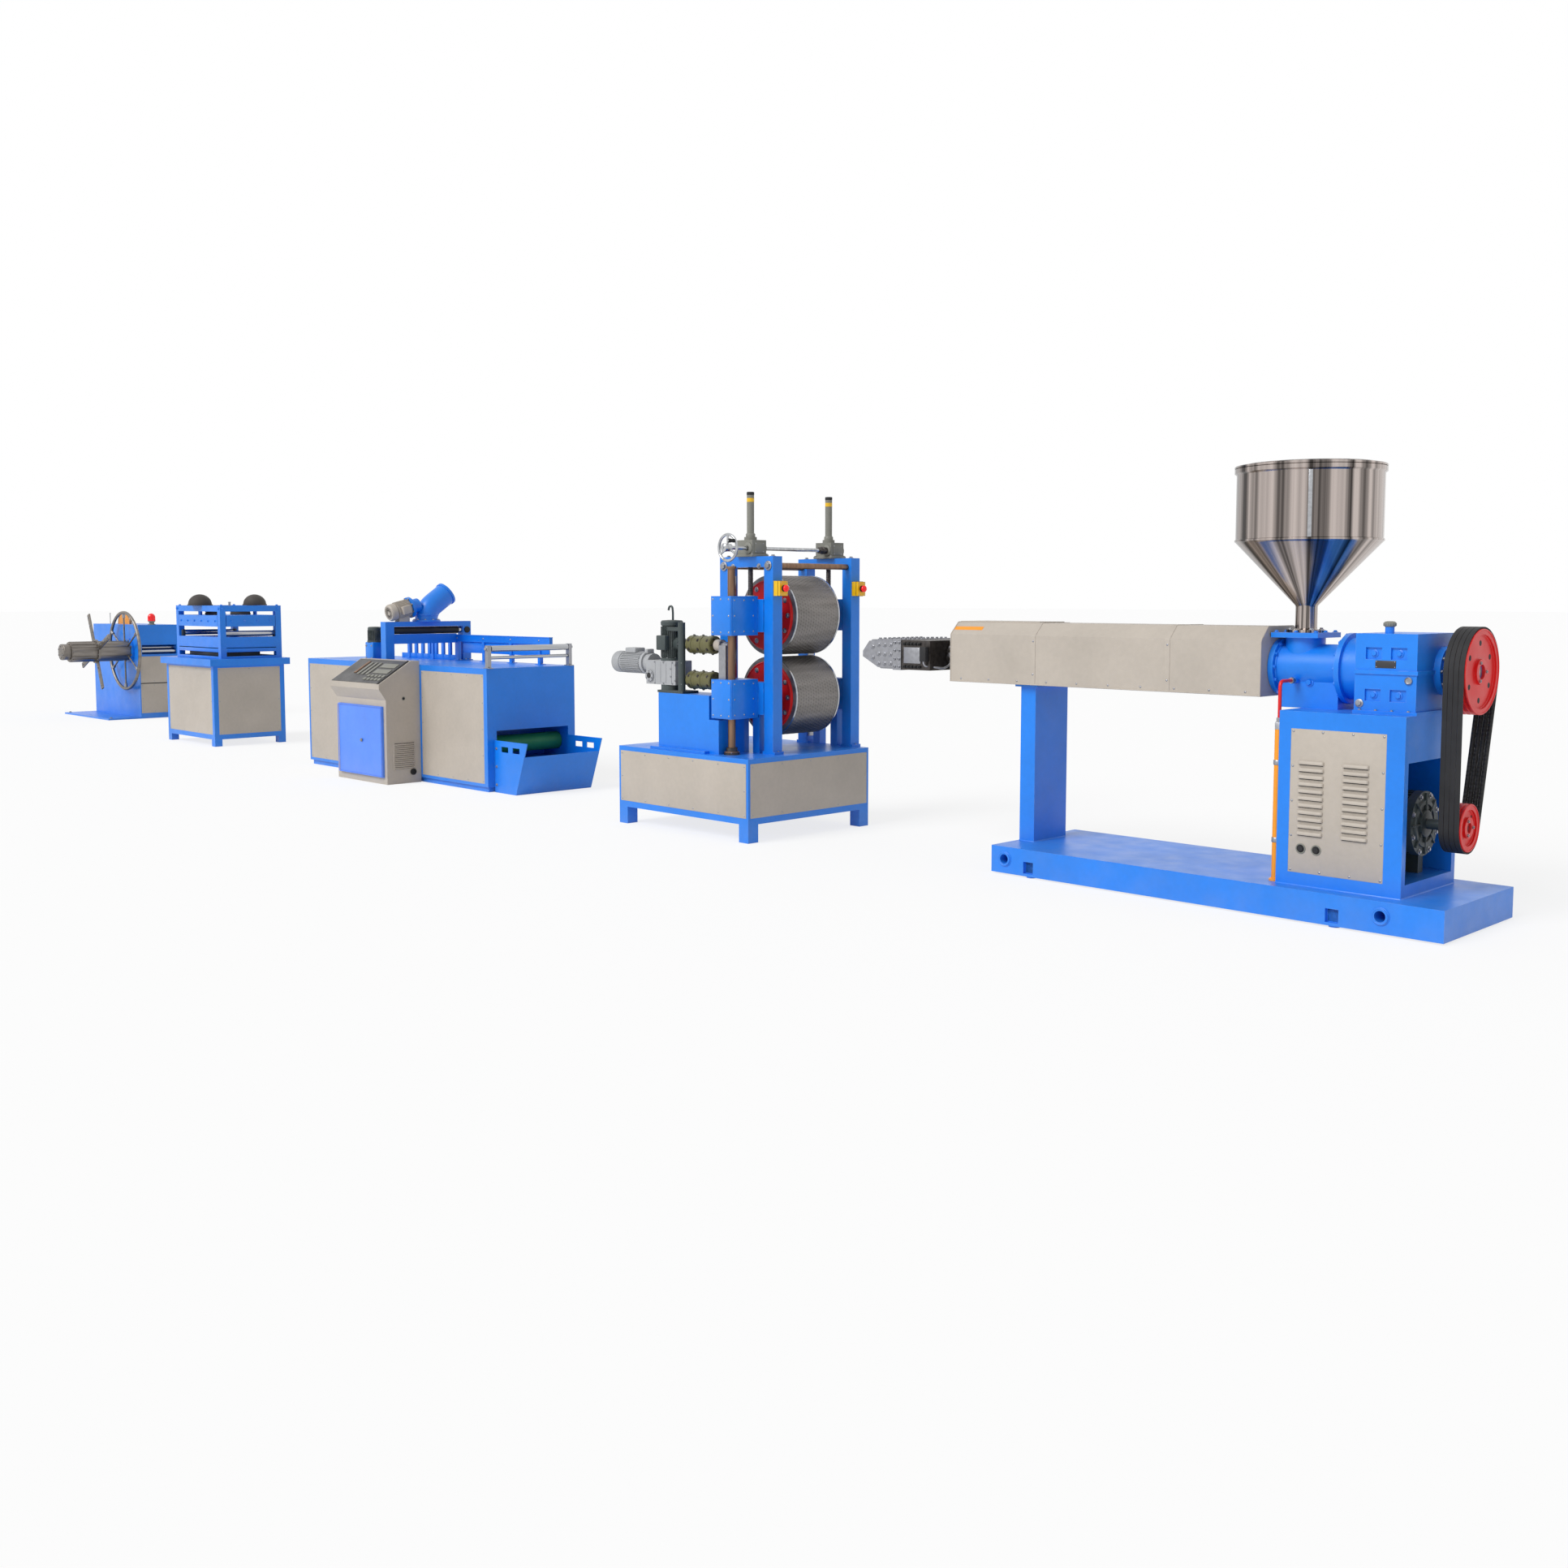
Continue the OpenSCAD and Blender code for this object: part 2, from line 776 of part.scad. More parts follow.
module drive_belts() {
  groove_pitch = pulley_w / belt_count;
  color("#1d1d1f")
    for (i = [0 : belt_count - 1])
      translate([pulley_x0 + (i + 0.5) * groove_pitch - belt_w / 2, 0, 0])
        rotate([90, 0, 90])
          linear_extrude(belt_w)
            difference() {
              belt_outline(belt_seat + belt_t);
              belt_outline(belt_seat);
            }
}

module cooling_pipes() {
  pipe_r = 9;
  py = cabinet_w / 2 - 40;
  riser_z1 = cabinet_z1 - 60;
  color("#e08a1e")
    for (s = [-1, 1])
      rod_z([riser_x, s * py, base_h], riser_r, riser_z1 - base_h);
  color(red)
    for (s = [-1, 1]) {
      rod_z([riser_x, s * py, riser_z1], pipe_r, port_z - riser_z1);
      translate([riser_x, s * py, port_z])
        sphere(r = pipe_r);
      rod_y([riser_x, min(s * py, s * port_y), port_z], pipe_r, py - port_y);
    }
}

stand_a = [stand_x0, stand_y0, stand_foot_h];
stand_b = [stand_x1, stand_y1, stand_h];
stand_panel_list = [
  for (side = ["front", "back"], i = [0, 1])
    [side, stand_x0 + strip_w + i * (stand_l - strip_w) / 2, stand_x0 + (i + 1) * (stand_l - strip_w) / 2,
     stand_foot_h + strip_w, stand_h - strip_w],
  for (side = ["up", "down"], i = [0, 1])
    [side, stand_y0 + strip_w + i * (stand_w - strip_w) / 2, stand_y0 + (i + 1) * (stand_w - strip_w) / 2,
     stand_foot_h + strip_w, stand_h - strip_w]
];

module stand_cabinet() {
  foot_w = 84;
  color(blue) {
    panelled_core(stand_a, stand_b, stand_panel_list);
    for (x = [stand_x0, stand_x1 - foot_w], y = [stand_y0, stand_y1 - foot_w])
      block([x, y, 0], [x + foot_w, y + foot_w, stand_foot_h]);
  }
}

module stand_panels() {
  color(cream)
    sheet_panels(stand_a, stand_b, stand_panel_list);
}

module side_frames() {
  hp = post_w / 2;
  tie_r = 15;
  color(blue) {
    difference() {
      union() {
        for (s = [-1, 1]) {
          for (d = [-1, 1]) {
            block([drum_x + d * post_dx - hp, s * frame_y - hp, stand_h],
                  [drum_x + d * post_dx + hp, s * frame_y + hp, post_top]);
            block([drum_x + d * post_dx - hp - 14, s * frame_y - hp, stand_h],
                  [drum_x + d * post_dx + hp + 14, s * frame_y + hp, stand_h + 18]);
          }
          block([drum_x - post_dx, s * frame_y - hp, beam_z0], [drum_x + post_dx, s * frame_y + hp, post_top]);
        }
      }
      for (s = [-1, 1])
        rod_z([drum_x, s * frame_y, beam_z0 - 1], screw_r + 3, beam_h + 2);
    }
    for (d = [-1, 1])
      rod_y([drum_x + d * post_dx, -frame_y, post_top - 58], tie_r, frame_pitch);
  }
}

module guide_column() {
  color("#7c6a58") {
    rod_z([column_x, column_y, stand_h + 22], column_r, column_z1 - stand_h - 22);
    rod_z([column_x, column_y, stand_h], column_r + 22, 22);
    rod_z([column_x, column_y, column_z1], column_r + 8, 14);
  }
}

// A bearing block between the posts of each frame, with the closed gear box in front
module bearing_boxes(z) {
  hh = box_h / 2;
  hp = post_w / 2;
  difference() {
    union() {
      for (s = [-1, 1])
        block([drum_x - block_w / 2, s * frame_y - hp, z - hh + 20],
              [drum_x + block_w / 2, s * frame_y + hp, z + hh - 20]);
      block([box_x - box_w / 2, box_y0, z - hh], [box_x + box_w / 2, box_y1, z + hh]);
      rod_y([drum_x, frame_y + hp, z], 96, 24);
    }
    rod_y([drum_x, box_y1 - 80, z], shaft_r + journal_play, frame_pitch + post_w + 120);
    rod_z([column_x, column_y, z - hh - 1], column_r + journal_play, box_h + 2);
  }
}

module lower_bearing_boxes() {
  hh = box_h / 2;
  color(blue) {
    bearing_boxes(lower_z);
    for (s = [-1, 1], d = [-1, 1])
      block([drum_x + d * 80 - 30, s * frame_y - 30, stand_h],
            [drum_x + d * 80 + 30, s * frame_y + 30, lower_z - hh + 20]);
  }
}

module upper_bearing_boxes() {
  color(blue)
    bearing_boxes(upper_z);
}

module drum(z) {
  color("#8d9196") {
    rod_y([drum_x, -drum_l / 2, z], drum_r, drum_l);
    rod_y([drum_x, box_y1 - 60, z], shaft_r, frame_pitch + post_w + 60 + 18);
  }
}

module lower_drum() {
  drum(lower_z);
}

module upper_drum() {
  drum(upper_z);
}

module drum_discs(z) {
  color(red)
    for (s = [-1, 1])
      translate([drum_x, s * (drum_l / 2 + disc_t / 2), z])
        rotate([90, 0, 0])
          difference() {
            cylinder(r = disc_r, h = disc_t, center = true);
            cylinder(r = shaft_r, h = disc_t + 2, center = true);
          }
}

module lower_drum_discs() {
  drum_discs(lower_z);
}

module upper_drum_discs() {
  drum_discs(upper_z);
}

module screw_jacks() {
  hw = jack_w / 2;
  color(steel)
    difference() {
      union() {
        for (s = [-1, 1]) {
          block([drum_x - hw, s * frame_y - hw, post_top], [drum_x + hw + 20, s * frame_y + hw, jack_z1 - 20]);
          rod_z([drum_x, s * frame_y, jack_z1 - 20], 40, 20);
          rod_z([drum_x, s * frame_y, jack_z1], screw_r + 6, tube_h);
        }
      }
      for (s = [-1, 1])
        rod_z([drum_x, s * frame_y, post_top - 1], screw_r + 2, jack_h + tube_h - 8);
      rod_y([cross_x, -frame_y - hw - 1, cross_z], cross_r + journal_play, frame_pitch + jack_w + 2);
    }
}

module jack_screws() {
  screw_z0 = upper_z + box_h / 2 - 20;
  color("#5b5e63")
    for (s = [-1, 1])
      rod_z([drum_x, s * frame_y, screw_z0], screw_r, tube_z1 - 60 - drum_lift - screw_z0);
}

module handwheel() {
  rim_r = 9;
  color("#d5d8da") {
    translate([cross_x, wheel_y, cross_z])
      rotate([90, 0, 0]) {
        rotate_extrude()
          translate([handwheel_r - rim_r, 0])
            circle(r = rim_r);
        for (a = [90, 210, 330])
          rotate(a)
            rotate([0, 90, 0])
              cylinder(r = 7, h = handwheel_r - rim_r);
        cylinder(r = 24, h = 40, center = true);
        translate([(handwheel_r - rim_r) * cos(30), (handwheel_r - rim_r) * sin(30), 4])
          cylinder(r = 8, h = 60);
      }
    rod_y([cross_x, wheel_y, cross_z], cross_r, frame_y - wheel_y + jack_w / 2 + 10);
  }
}

module drive_pedestal() {
  foot = 40;
  foot_t = 16;
  color(blue) {
    block([pedestal_x0, pedestal_y0, stand_h], [pedestal_x1, pedestal_y1, pedestal_z1]);
    block([pedestal_x0 - foot, pedestal_y0 - foot, stand_h], [pedestal_x1, pedestal_y1, stand_h + foot_t]);
    block([pedestal_x1, pedestal_y0, stand_h], [column_x - 54, pedestal_y1, lower_z - box_h / 2 - 12]);
  }
}

// Upright gear motor on its round foot, with the round bar that steadies it
module upright_motor() {
  body_r = 64;
  bar_r = 24;
  bar_x = upright_x + 162;
  bar_y = drive_y - 56;
  plate_t = 16;
  top_z = case_z1 + 255;
  color("#26282b") {
    block([upright_x - 60, bar_y - 20, pedestal_z1], [bar_x + 30, drive_y + 60, pedestal_z1 + plate_t]);
    rod_z([upright_x, drive_y, pedestal_z1], body_r + 8, case_z0 - pedestal_z1);
    rod_z([upright_x, drive_y, case_z1], body_r + 10, 18);
    rod_z([upright_x, drive_y, case_z1], body_r, top_z - case_z1);
    rod_z([upright_x, drive_y, top_z - 25], body_r + 2, 25);
    rod_x([upright_x, drive_y, high_drive_z], 44, boss_x1 - upright_x);
    rod_z([bar_x, bar_y, pedestal_z1], bar_r, top_z - 5 - pedestal_z1);
    block([upright_x, bar_y - 10, top_z - 60], [bar_x, bar_y + 10, top_z - 36]);
  }
}

// Level motor with its gear case and output hub
module level_motor() {
  case_l = 295;
  case_hd = 70;
  motor_l = 372;
  axis = case_z1 - 22;
  x0 = case_x1 - case_l;
  color(steel) {
    block([x0, drive_y - case_hd, case_z0], [case_x1, drive_y + case_hd, case_z1]);
    rod_y([x0 + 40, drive_y - case_hd - 12, case_z0 + 56], 38, 13);
    rod_x([x0 - 50, drive_y, axis], 62, 51);
    rod_x([x0 - 74, drive_y, axis], 75, 24);
    rod_x([x0 - motor_l + 70, drive_y, axis], 66, motor_l - 143);
    rod_x([x0 - motor_l, drive_y, axis], 71, 71);
    rod_x([case_x1, drive_y, low_drive_z], 26, coupling_x0 - case_x1);
  }
}

module shaft_couplings() {
  color("#5f5c34")
    for (z = [low_drive_z, high_drive_z])
      rod_x([coupling_x0, drive_y, z], coupling_r, coupling_x1 - coupling_x0);
}

module drive_shaft() {
  end_x = box_x0 + 82;
  color(steel) {
    rod_x([boss_x1, drive_y, high_drive_z], 30, coupling_x0 - boss_x1);
    rod_x([coupling_x1, drive_y, high_drive_z], 22, end_x - coupling_x1);
    rod_x([coupling_x1 + 14, drive_y, high_drive_z], 32, 52);
    block([box_x0 + 17, drive_y - 35, lower_z + box_h / 2], [end_x, drive_y + 35, high_drive_z]);
    rod_x([coupling_x1, drive_y, low_drive_z], 14, box_x0 - coupling_x1);
  }
}

stop_x = drum_x + post_dx + post_w / 2;
stop_z = post_top - 200;
stop_d = 56;

module stop_stations() {
  color("#e8c21c")
    for (s = [-1, 1])
      block([stop_x, s * frame_y - 34, stop_z - 46], [stop_x + stop_d, s * frame_y + 34, stop_z + 46]);
}

module stop_knobs() {
  stem_l = 12;
  color(red)
    for (s = [-1, 1]) {
      rod_x([stop_x + stop_d, s * frame_y, stop_z], 14, stem_l);
      rod_x([stop_x + stop_d + stem_l, s * frame_y, stop_z], 22, 16);
    }
}

haul_a = [haul_x0, haul_y0, plinth_h];
haul_b = [haul_x1, haul_y1, haul_h];
haul_panel_list = [
  ["front", haul_x0 + 24, console_x0 - 24, plinth_h + 24, haul_h - 46],
  ["front", console_x1 + 24, haul_x1 - strip_w, plinth_h + 24, haul_h - 46],
  ["back", haul_x0 + strip_w, haul_x0 + haul_l / 2 - 20, plinth_h + 24, haul_h - 46],
  ["back", haul_x0 + haul_l / 2 + 20, haul_x1 - strip_w, plinth_h + 24, haul_h - 46],
  ["down", haul_y0 + strip_w, haul_y1 - strip_w, plinth_h + 24, haul_h - 46]
];

module haul_off_frame() {
  inset = 20;
  color(blue)
    difference() {
      union() {
        panelled_core(haul_a, haul_b, haul_panel_list);
        block([haul_x0 + inset, haul_y0 + inset, 0], [haul_x1 - inset, haul_y1 - inset, plinth_h]);
      }
      block([haul_x1 - mouth_d, mouth_y0, mouth_z0], [haul_x1 + 1, mouth_y1, mouth_z1]);
      rod_y([feed_x, mouth_y0 - 30, feed_z], feed_shaft_r + journal_play, mouth_y1 - mouth_y0 + 60);
    }
}

module haul_off_panels() {
  color(cream)
    sheet_panels(haul_a, haul_b, haul_panel_list);
}

module feed_roller() {
  color("#2f9a58") {
    rod_y([feed_x, mouth_y0 + run_gap, feed_z], feed_roller_r, mouth_y1 - mouth_y0 - 2 * run_gap);
    rod_y([feed_x, mouth_y0 - 28, feed_z], feed_shaft_r, mouth_y1 - mouth_y0 + 56);
  }
}

module catch_tray() {
  slant = 150;
  front_in = slant * (1 - tray_front_h / tray_h);
  slot_l = 100;
  slot_h = 50;
  slot_drop = 85;
  y0 = haul_y0 + 60;
  y1 = haul_y1 - 60;
  floor_z = 60;
  color(blue)
    difference() {
      union() {
        for (y = [y0, y1 - tray_t])
          translate([haul_x1, y + tray_t, 0])
            rotate([90, 0, 0])
              linear_extrude(tray_t)
                polygon([[0, 0], [tray_l - slant, 0], [tray_l, tray_h], [0, tray_h]]);
        block([haul_x1, y0, floor_z], [haul_x1 + tray_l - slant, y1, floor_z + tray_t]);
        translate([haul_x1, y1, 0])
          rotate([90, 0, 0])
            linear_extrude(y1 - y0)
              polygon([
                [tray_l - slant, 0], [tray_l - front_in, tray_front_h],
                [tray_l - front_in - tray_t, tray_front_h], [tray_l - slant - tray_t, 0]
              ]);
      }
      for (y = [y0, y1 - tray_t], i = [0, 1])
        translate([haul_x1 + 90 + i * 150, y - 1, tray_h - slot_drop])
          cube([slot_l, tray_t + 2, slot_h]);
    }
}

// Side outline of the console: foot, lip, sloping desk and flat top
module console_outline() {
  polygon([
    [console_y1, 0], [console_y0, 0], [console_y0, desk_edge_h - 130],
    [console_y0 - desk_lip, desk_edge_h - 40],
    [console_y0 - desk_lip, desk_edge_h], [console_y1 - 78, console_h], [console_y1, console_h]
  ]);
}

module console_body() {
  color(cream)
    difference() {
      translate([console_x0, 0, 0])
        rotate([90, 0, 90])
          linear_extrude(console_l)
            console_outline();
      translate([console_x0 + 14, 0, 0])
        desk_slab(console_l - 28, 0);
    }
}

// The sloping desk panel, seated in the console's slope
module desk_slab(l, out) {
  dy = console_y1 - 78 - console_y0 + desk_lip;
  dz = console_h - desk_edge_h;
  slope = atan2(dz, dy);
  run = sqrt(dy * dy + dz * dz);
  translate([0, console_y0 - desk_lip, desk_edge_h])
    rotate([slope, 0, 0])
      translate([0, 10, -desk_t])
        cube([l, run - 20, desk_t + out]);
}

module console_desk() {
  color(dark)
    translate([console_x0 + 14, 0, 0])
      desk_slab(console_l - 28, 3);
}

module console_door() {
  color("#4f97f2") {
    block([door_x0 + 2 * hinge_r, console_y0 - door_t, door_z0], [door_x1, console_y0 - 0.5, door_z1]);
    block([hinge_x, hinge_y - 4, door_z0], [door_x0 + 2 * hinge_r + 2, hinge_y + 4, door_z1]);
    rod_z([hinge_x, hinge_y, door_z0], hinge_r, door_z1 - door_z0);
    rod_y([(door_x0 + door_x1) / 2 + 30, console_y0 - door_t - 6, (door_z0 + door_z1) / 2], 14, 8);
  }
}

module portal_frame() {
  x0 = portal_x - portal_w / 2;
  x1 = portal_x + portal_w / 2;
  sill_z1 = portal_z1 - portal_bar_h - portal_slot_h;
  color(blue) {
    for (y = [haul_y0, haul_y1 - portal_w])
      block([x0, y, haul_h], [x1, y + portal_w, portal_z1]);
    block([x0, haul_y0, portal_z1 - portal_bar_h], [x1, haul_y1, portal_z1]);
    block([x0 + 20, haul_y0, sill_z1 - portal_sill_h], [x1 - 20, rail_y0, sill_z1]);
  }
}

module blower_duct() {
  bend_r = 150;
  bend = 58;
  rise = 70;
  collar_t = 16;
  color(blue)
    translate([portal_x, duct_y, portal_z1]) {
      cylinder(r = duct_r + 22, h = 14);
      cylinder(r = duct_r, h = rise);
      translate([0, 0, rise - collar_t / 2])
        cylinder(r = duct_r + 12, h = collar_t);
      translate([0, bend_r, rise])
        rotate([90, 0, -90])
          rotate_extrude(angle = bend)
            translate([bend_r, 0])
              circle(r = duct_r - 2);
      translate([0, bend_r - bend_r * cos(bend), rise + bend_r * sin(bend)])
        rotate([-bend, 0, 0]) {
          translate([0, 0, -collar_t / 2])
            cylinder(r = duct_r + 6, h = collar_t);
          sphere(r = duct_r - 4);
        }
    }
}

module blower_motor() {
  mz = portal_z1 + 92;
  my = duct_y - duct_r - 16;
  color(cream) {
    rod_y([portal_x, my - 250, mz], 64, 60);
    rod_y([portal_x, my - 190, mz], 72, 130);
    rod_y([portal_x, my - 60, mz], 88, 24);
    rod_y([portal_x, my - 36, mz], 60, 40);
    block([portal_x - 40, my - 180, portal_z1], [portal_x + 40, my - 80, mz]);
  }
}

module back_rail() {
  n = 6;
  post_l = 34;
  pitch = (rail_x1 - rail_x0 - 300) / (n - 1);
  color(blue) {
    block([rail_x0, rail_y0, rail_z0], [rail_x1, rail_y0 + rail_w, rail_z0 + rail_h]);
    for (i = [0 : n - 1])
      block([rail_x0 + 150 + i * pitch - post_l / 2, rail_y0, haul_h],
            [rail_x0 + 150 + i * pitch + post_l / 2, rail_y0 + rail_w, rail_z0]);
  }
}

module inlet_stand() {
  color(steel)
    difference() {
      for (y = [haul_y0 + inlet_inset, haul_y1 - inlet_inset - inlet_post_w])
        block([inlet_x - 20, y, haul_h], [inlet_x + 20, y + inlet_post_w, inlet_z + 26]);
      rod_y([inlet_x, haul_y0, inlet_z], inlet_pin_r + journal_play, haul_w);
    }
}

module inlet_roller() {
  y0 = haul_y0 + inlet_inset + inlet_post_w;
  y1 = haul_y1 - inlet_inset - inlet_post_w;
  color("#c9cccf") {
    rod_y([inlet_x, y0 + run_gap, inlet_z], inlet_r, y1 - y0 - 2 * run_gap);
    rod_y([inlet_x, y0 - inlet_post_w, inlet_z], inlet_pin_r, y1 - y0 + 2 * inlet_post_w);
  }
}

press_a = [press_x0, press_y0, press_foot_h];
press_b = [press_x1, press_y1, table_h];
press_panel_list = [
  for (side = ["front", "back"])
    [side, press_x0 + strip_w, press_x1 - strip_w, press_foot_h + strip_w, table_h - 20],
  for (side = ["up", "down"])
    [side, press_y0 + strip_w, press_y1 - strip_w, press_foot_h + strip_w, table_h - 20]
];

module press_table() {
  foot_w = 76;
  over = 45;
  color(blue) {
    panelled_core(press_a, press_b, press_panel_list);
    for (x = [press_x0, press_x1 - foot_w], y = [press_y0, press_y1 - foot_w])
      block([x, y, 0], [x + foot_w, y + foot_w, press_foot_h]);
    block([press_x0 - over, press_y0 - over, table_h], [press_x1 + over, press_y1 + over, table_z1]);
  }
}

module press_panels() {
  color(cream)
    sheet_panels(press_a, press_b, press_panel_list);
}

// A platen with notched corners that clear the four posts
module platen(z0, z1, gap) {
  n = press_post_w + gap;
  block([frame_x0 + n, frame_y0, z0], [frame_x1 - n, frame_y1, z1]);
  block([frame_x0, frame_y0 + n, z0], [frame_x1, frame_y1 - n, z1]);
}

module press_frame() {
  w = press_post_w;
  color(blue)
    difference() {
      union() {
        for (x = [frame_x0, frame_x1 - w], y = [frame_y0, frame_y1 - w])
          block([x, y, table_z1], [x + w, y + w, press_top]);
        for (y = [frame_y0, frame_y1 - w])
          block([frame_x0, y, press_beam_z0], [frame_x1, y + w, press_top]);
        for (x = [frame_x0, frame_x1 - w])
          block([x, frame_y0, press_beam_z0], [x + w, frame_y1, press_top]);
        platen(lower_platen_z0, platen_z0, 0);
      }
      for (y = [frame_y0 + w / 2, frame_y1 - w / 2])
        rod_z([press_mid_x, y, press_beam_z0 - 1], rod_r + journal_play, press_beam_h + 2);
    }
}

module upper_platen() {
  w = press_post_w;
  color(blue) {
    platen(upper_platen_z0, upper_platen_z1, run_gap);
    for (y = [frame_y0 + w / 2, frame_y1 - w / 2])
      rod_z([press_mid_x, y, upper_platen_z1], rod_r, rod_top - upper_platen_z1);
  }
}

module press_cylinders() {
  w = press_post_w;
  color(dark)
    for (y = [frame_y0 + w / 2, frame_y1 - w / 2])
      rotate_extrude_at([press_mid_x, y, press_top])
        difference() {
          union() {
            square([dome_r, dome_foot_h]);
            translate([0, dome_foot_h])
              intersection() {
                circle(r = dome_r - 3);
                square(dome_r);
              }
          }
          translate([-1, -1])
            square([rod_r + 3, 1 + rod_over + platen_lift + run_gap]);
        }
}

winder_a = [winder_x0, winder_face_y, winder_plate_t];
winder_b = [winder_x1, winder_y1, winder_h];
winder_panel_list = [
  ["up", winder_face_y + 12, winder_face_y + winder_d / 2 - 4, 70, slot_z0 - 24],
  ["up", winder_face_y + winder_d / 2 + 4, winder_y1 - 12, 70, slot_z0 - 24],
  ["down", winder_face_y + 30, winder_y1 - 30, 70, slot_z0 - 24],
  ["back", winder_x0 + 30, winder_x1 - 30, 70, slot_z0 - 24]
];

module winder_body() {
  color(blue) {
    difference() {
      panelled_core(winder_a, winder_b, winder_panel_list);
      block([winder_x1 - slot_d, winder_face_y + 30, slot_z0], [winder_x1 + 1, winder_y1 - 30, slot_z1]);
    }
    block([winder_x0, winder_face_y - winder_apron, 0], [winder_x1, winder_y1, winder_plate_t]);
    difference() {
      rod_y([reel_x, winder_face_y - 30, mandrel_z], 150, 30);
      rod_y([reel_x, winder_face_y - 31, mandrel_z], reel_journal_r + journal_play, 31);
    }
  }
}

module winder_panels() {
  color(cream)
    sheet_panels(winder_a, winder_b, winder_panel_list);
}

module winder_rollers() {
  color("#c9cccf")
    for (i = [0, 1])
      rod_y([winder_x1 - 45 - i * 58, winder_face_y + 30, slot_z0 + 42 + i * 44], 24, winder_d - 60);
}

module reel() {
  ring_tube = 15;
  spoke_r = 10;
  color("#a9a39b")
    translate([reel_x, 0, mandrel_z]) {
      rod_y([0, tip_y + tip_l, 0], mandrel_r, winder_face_y - 30 - run_gap - tip_y - tip_l);
      rod_y([0, tip_y, 0], tip_r, tip_l);
      rod_y([0, winder_face_y - 40, 0], reel_journal_r, 38);
      translate([0, ring_y, 0])
        rotate([90, 0, 0]) {
          rotate_extrude()
            translate([reel_r - ring_tube, 0])
              circle(r = ring_tube);
          for (a = [30 : 60 : 330])
            rotate(a)
              rotate([0, 90, 0])
                cylinder(r = spoke_r, h = reel_r - ring_tube);
        }
      translate([0, spider_y, 0])
        rotate([90, 0, 0]) {
          cylinder(r = mandrel_r + 26, h = hub_t, center = true);
          for (a = [23 : 90 : 293])
            rotate(a)
              translate([0, -22, -8])
                cube([reel_r, 44, 16]);
        }
    }
}

module beacon() {
  p = [winder_x1 - 60, winder_face_y + 190, winder_h];
  lens_h = 46;
  color(red) {
    rod_z(p, beacon_r + 6, 16);
    rod_z(p, beacon_r, lens_h);
    translate(p + [0, 0, lens_h])
      sphere(r = beacon_r - 1);
  }
}

at_line() extruder_base();
at_line() barrel_support();
at_line() barrel_cover();
at_line() barrel();
at_line() die_manifold();
at_line() die_head();
at_line() feed_throat();
at_line() hopper();
at_line() hopper_lid();
at_line() gearbox();
at_line() drive_cabinet();
at_line() louvre_panel();
at_line() main_motor();
at_line() gearbox_pulley();
at_line() motor_pulley();
at_line() drive_belts();
at_line() cooling_pipes();
at_line() stand_cabinet();
at_line() stand_panels();
at_line() side_frames();
at_line() guide_column();
at_line() lower_bearing_boxes();
at_line() lower_drum();
at_line() lower_drum_discs();
at_line() upper_bearing_boxes();
at_line() upper_drum();
at_line() upper_drum_discs();
at_line() screw_jacks();
at_line() jack_screws();
at_line() handwheel();
at_line() drive_pedestal();
at_line() upright_motor();
at_line() level_motor();
at_line() shaft_couplings();
at_line() drive_shaft();
at_line() stop_stations();
at_line() stop_knobs();
at_line() haul_off_frame();
at_line() haul_off_panels();
at_line() catch_tray();
at_line() feed_roller();
at_line() console_body();
at_line() console_desk();
at_line() console_door();
at_line() portal_frame();
at_line() blower_duct();
at_line() blower_motor();
at_line() back_rail();
at_line() inlet_stand();
at_line() inlet_roller();
at_line() press_table();
at_line() press_panels();
at_line() press_frame();
at_line() upper_platen();
at_line() press_cylinders();
at_line() winder_body();
at_line() winder_panels();
at_line() winder_rollers();
at_line() reel();
at_line() beacon();
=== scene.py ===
"""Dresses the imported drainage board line: finishes, fasteners, drums, belts, drives and controls.

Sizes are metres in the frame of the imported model, whose X runs along the line.
"""
import math

import bpy
import numpy as np
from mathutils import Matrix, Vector


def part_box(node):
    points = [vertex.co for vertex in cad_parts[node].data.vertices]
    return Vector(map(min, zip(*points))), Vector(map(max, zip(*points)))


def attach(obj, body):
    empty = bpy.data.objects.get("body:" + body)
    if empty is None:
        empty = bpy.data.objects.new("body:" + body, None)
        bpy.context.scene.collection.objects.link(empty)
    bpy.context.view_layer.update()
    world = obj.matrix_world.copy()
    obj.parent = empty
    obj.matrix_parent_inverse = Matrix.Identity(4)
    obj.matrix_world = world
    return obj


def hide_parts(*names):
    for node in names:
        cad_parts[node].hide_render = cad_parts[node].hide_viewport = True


bl_info = {
    "name": "Drainage board line",
    "version": (1, 0, 0),
    "blender": (4, 5, 0),
    "location": "View3D > Sidebar > Line",
    "description": "Finishes and fittings of an extrusion line for drainage board",
    "category": "Object",
}

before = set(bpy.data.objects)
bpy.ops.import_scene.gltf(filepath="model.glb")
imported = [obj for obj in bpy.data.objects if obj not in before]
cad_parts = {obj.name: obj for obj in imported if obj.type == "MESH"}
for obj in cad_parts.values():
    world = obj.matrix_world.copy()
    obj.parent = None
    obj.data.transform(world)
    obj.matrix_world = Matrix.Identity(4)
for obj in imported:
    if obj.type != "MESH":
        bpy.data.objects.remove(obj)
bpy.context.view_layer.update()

TURN = 2 * math.pi

# Values that the finishes share
BUMP_STRENGTH, MARK_DEPTH = 0.6, 0.0004
MOTTLE_DARK, MOTTLE_LIGHT, MOTTLE_SCALE = 0.9, 1.07, 2.6
DUST, DUST_ROUGHNESS = (0.42, 0.4, 0.37), 0.3
# the second value is the painted glow of the red beacon and stop knobs
COAT_ROUGHNESS, PAINTED_LENS_GLOW = 0.2, 0.35

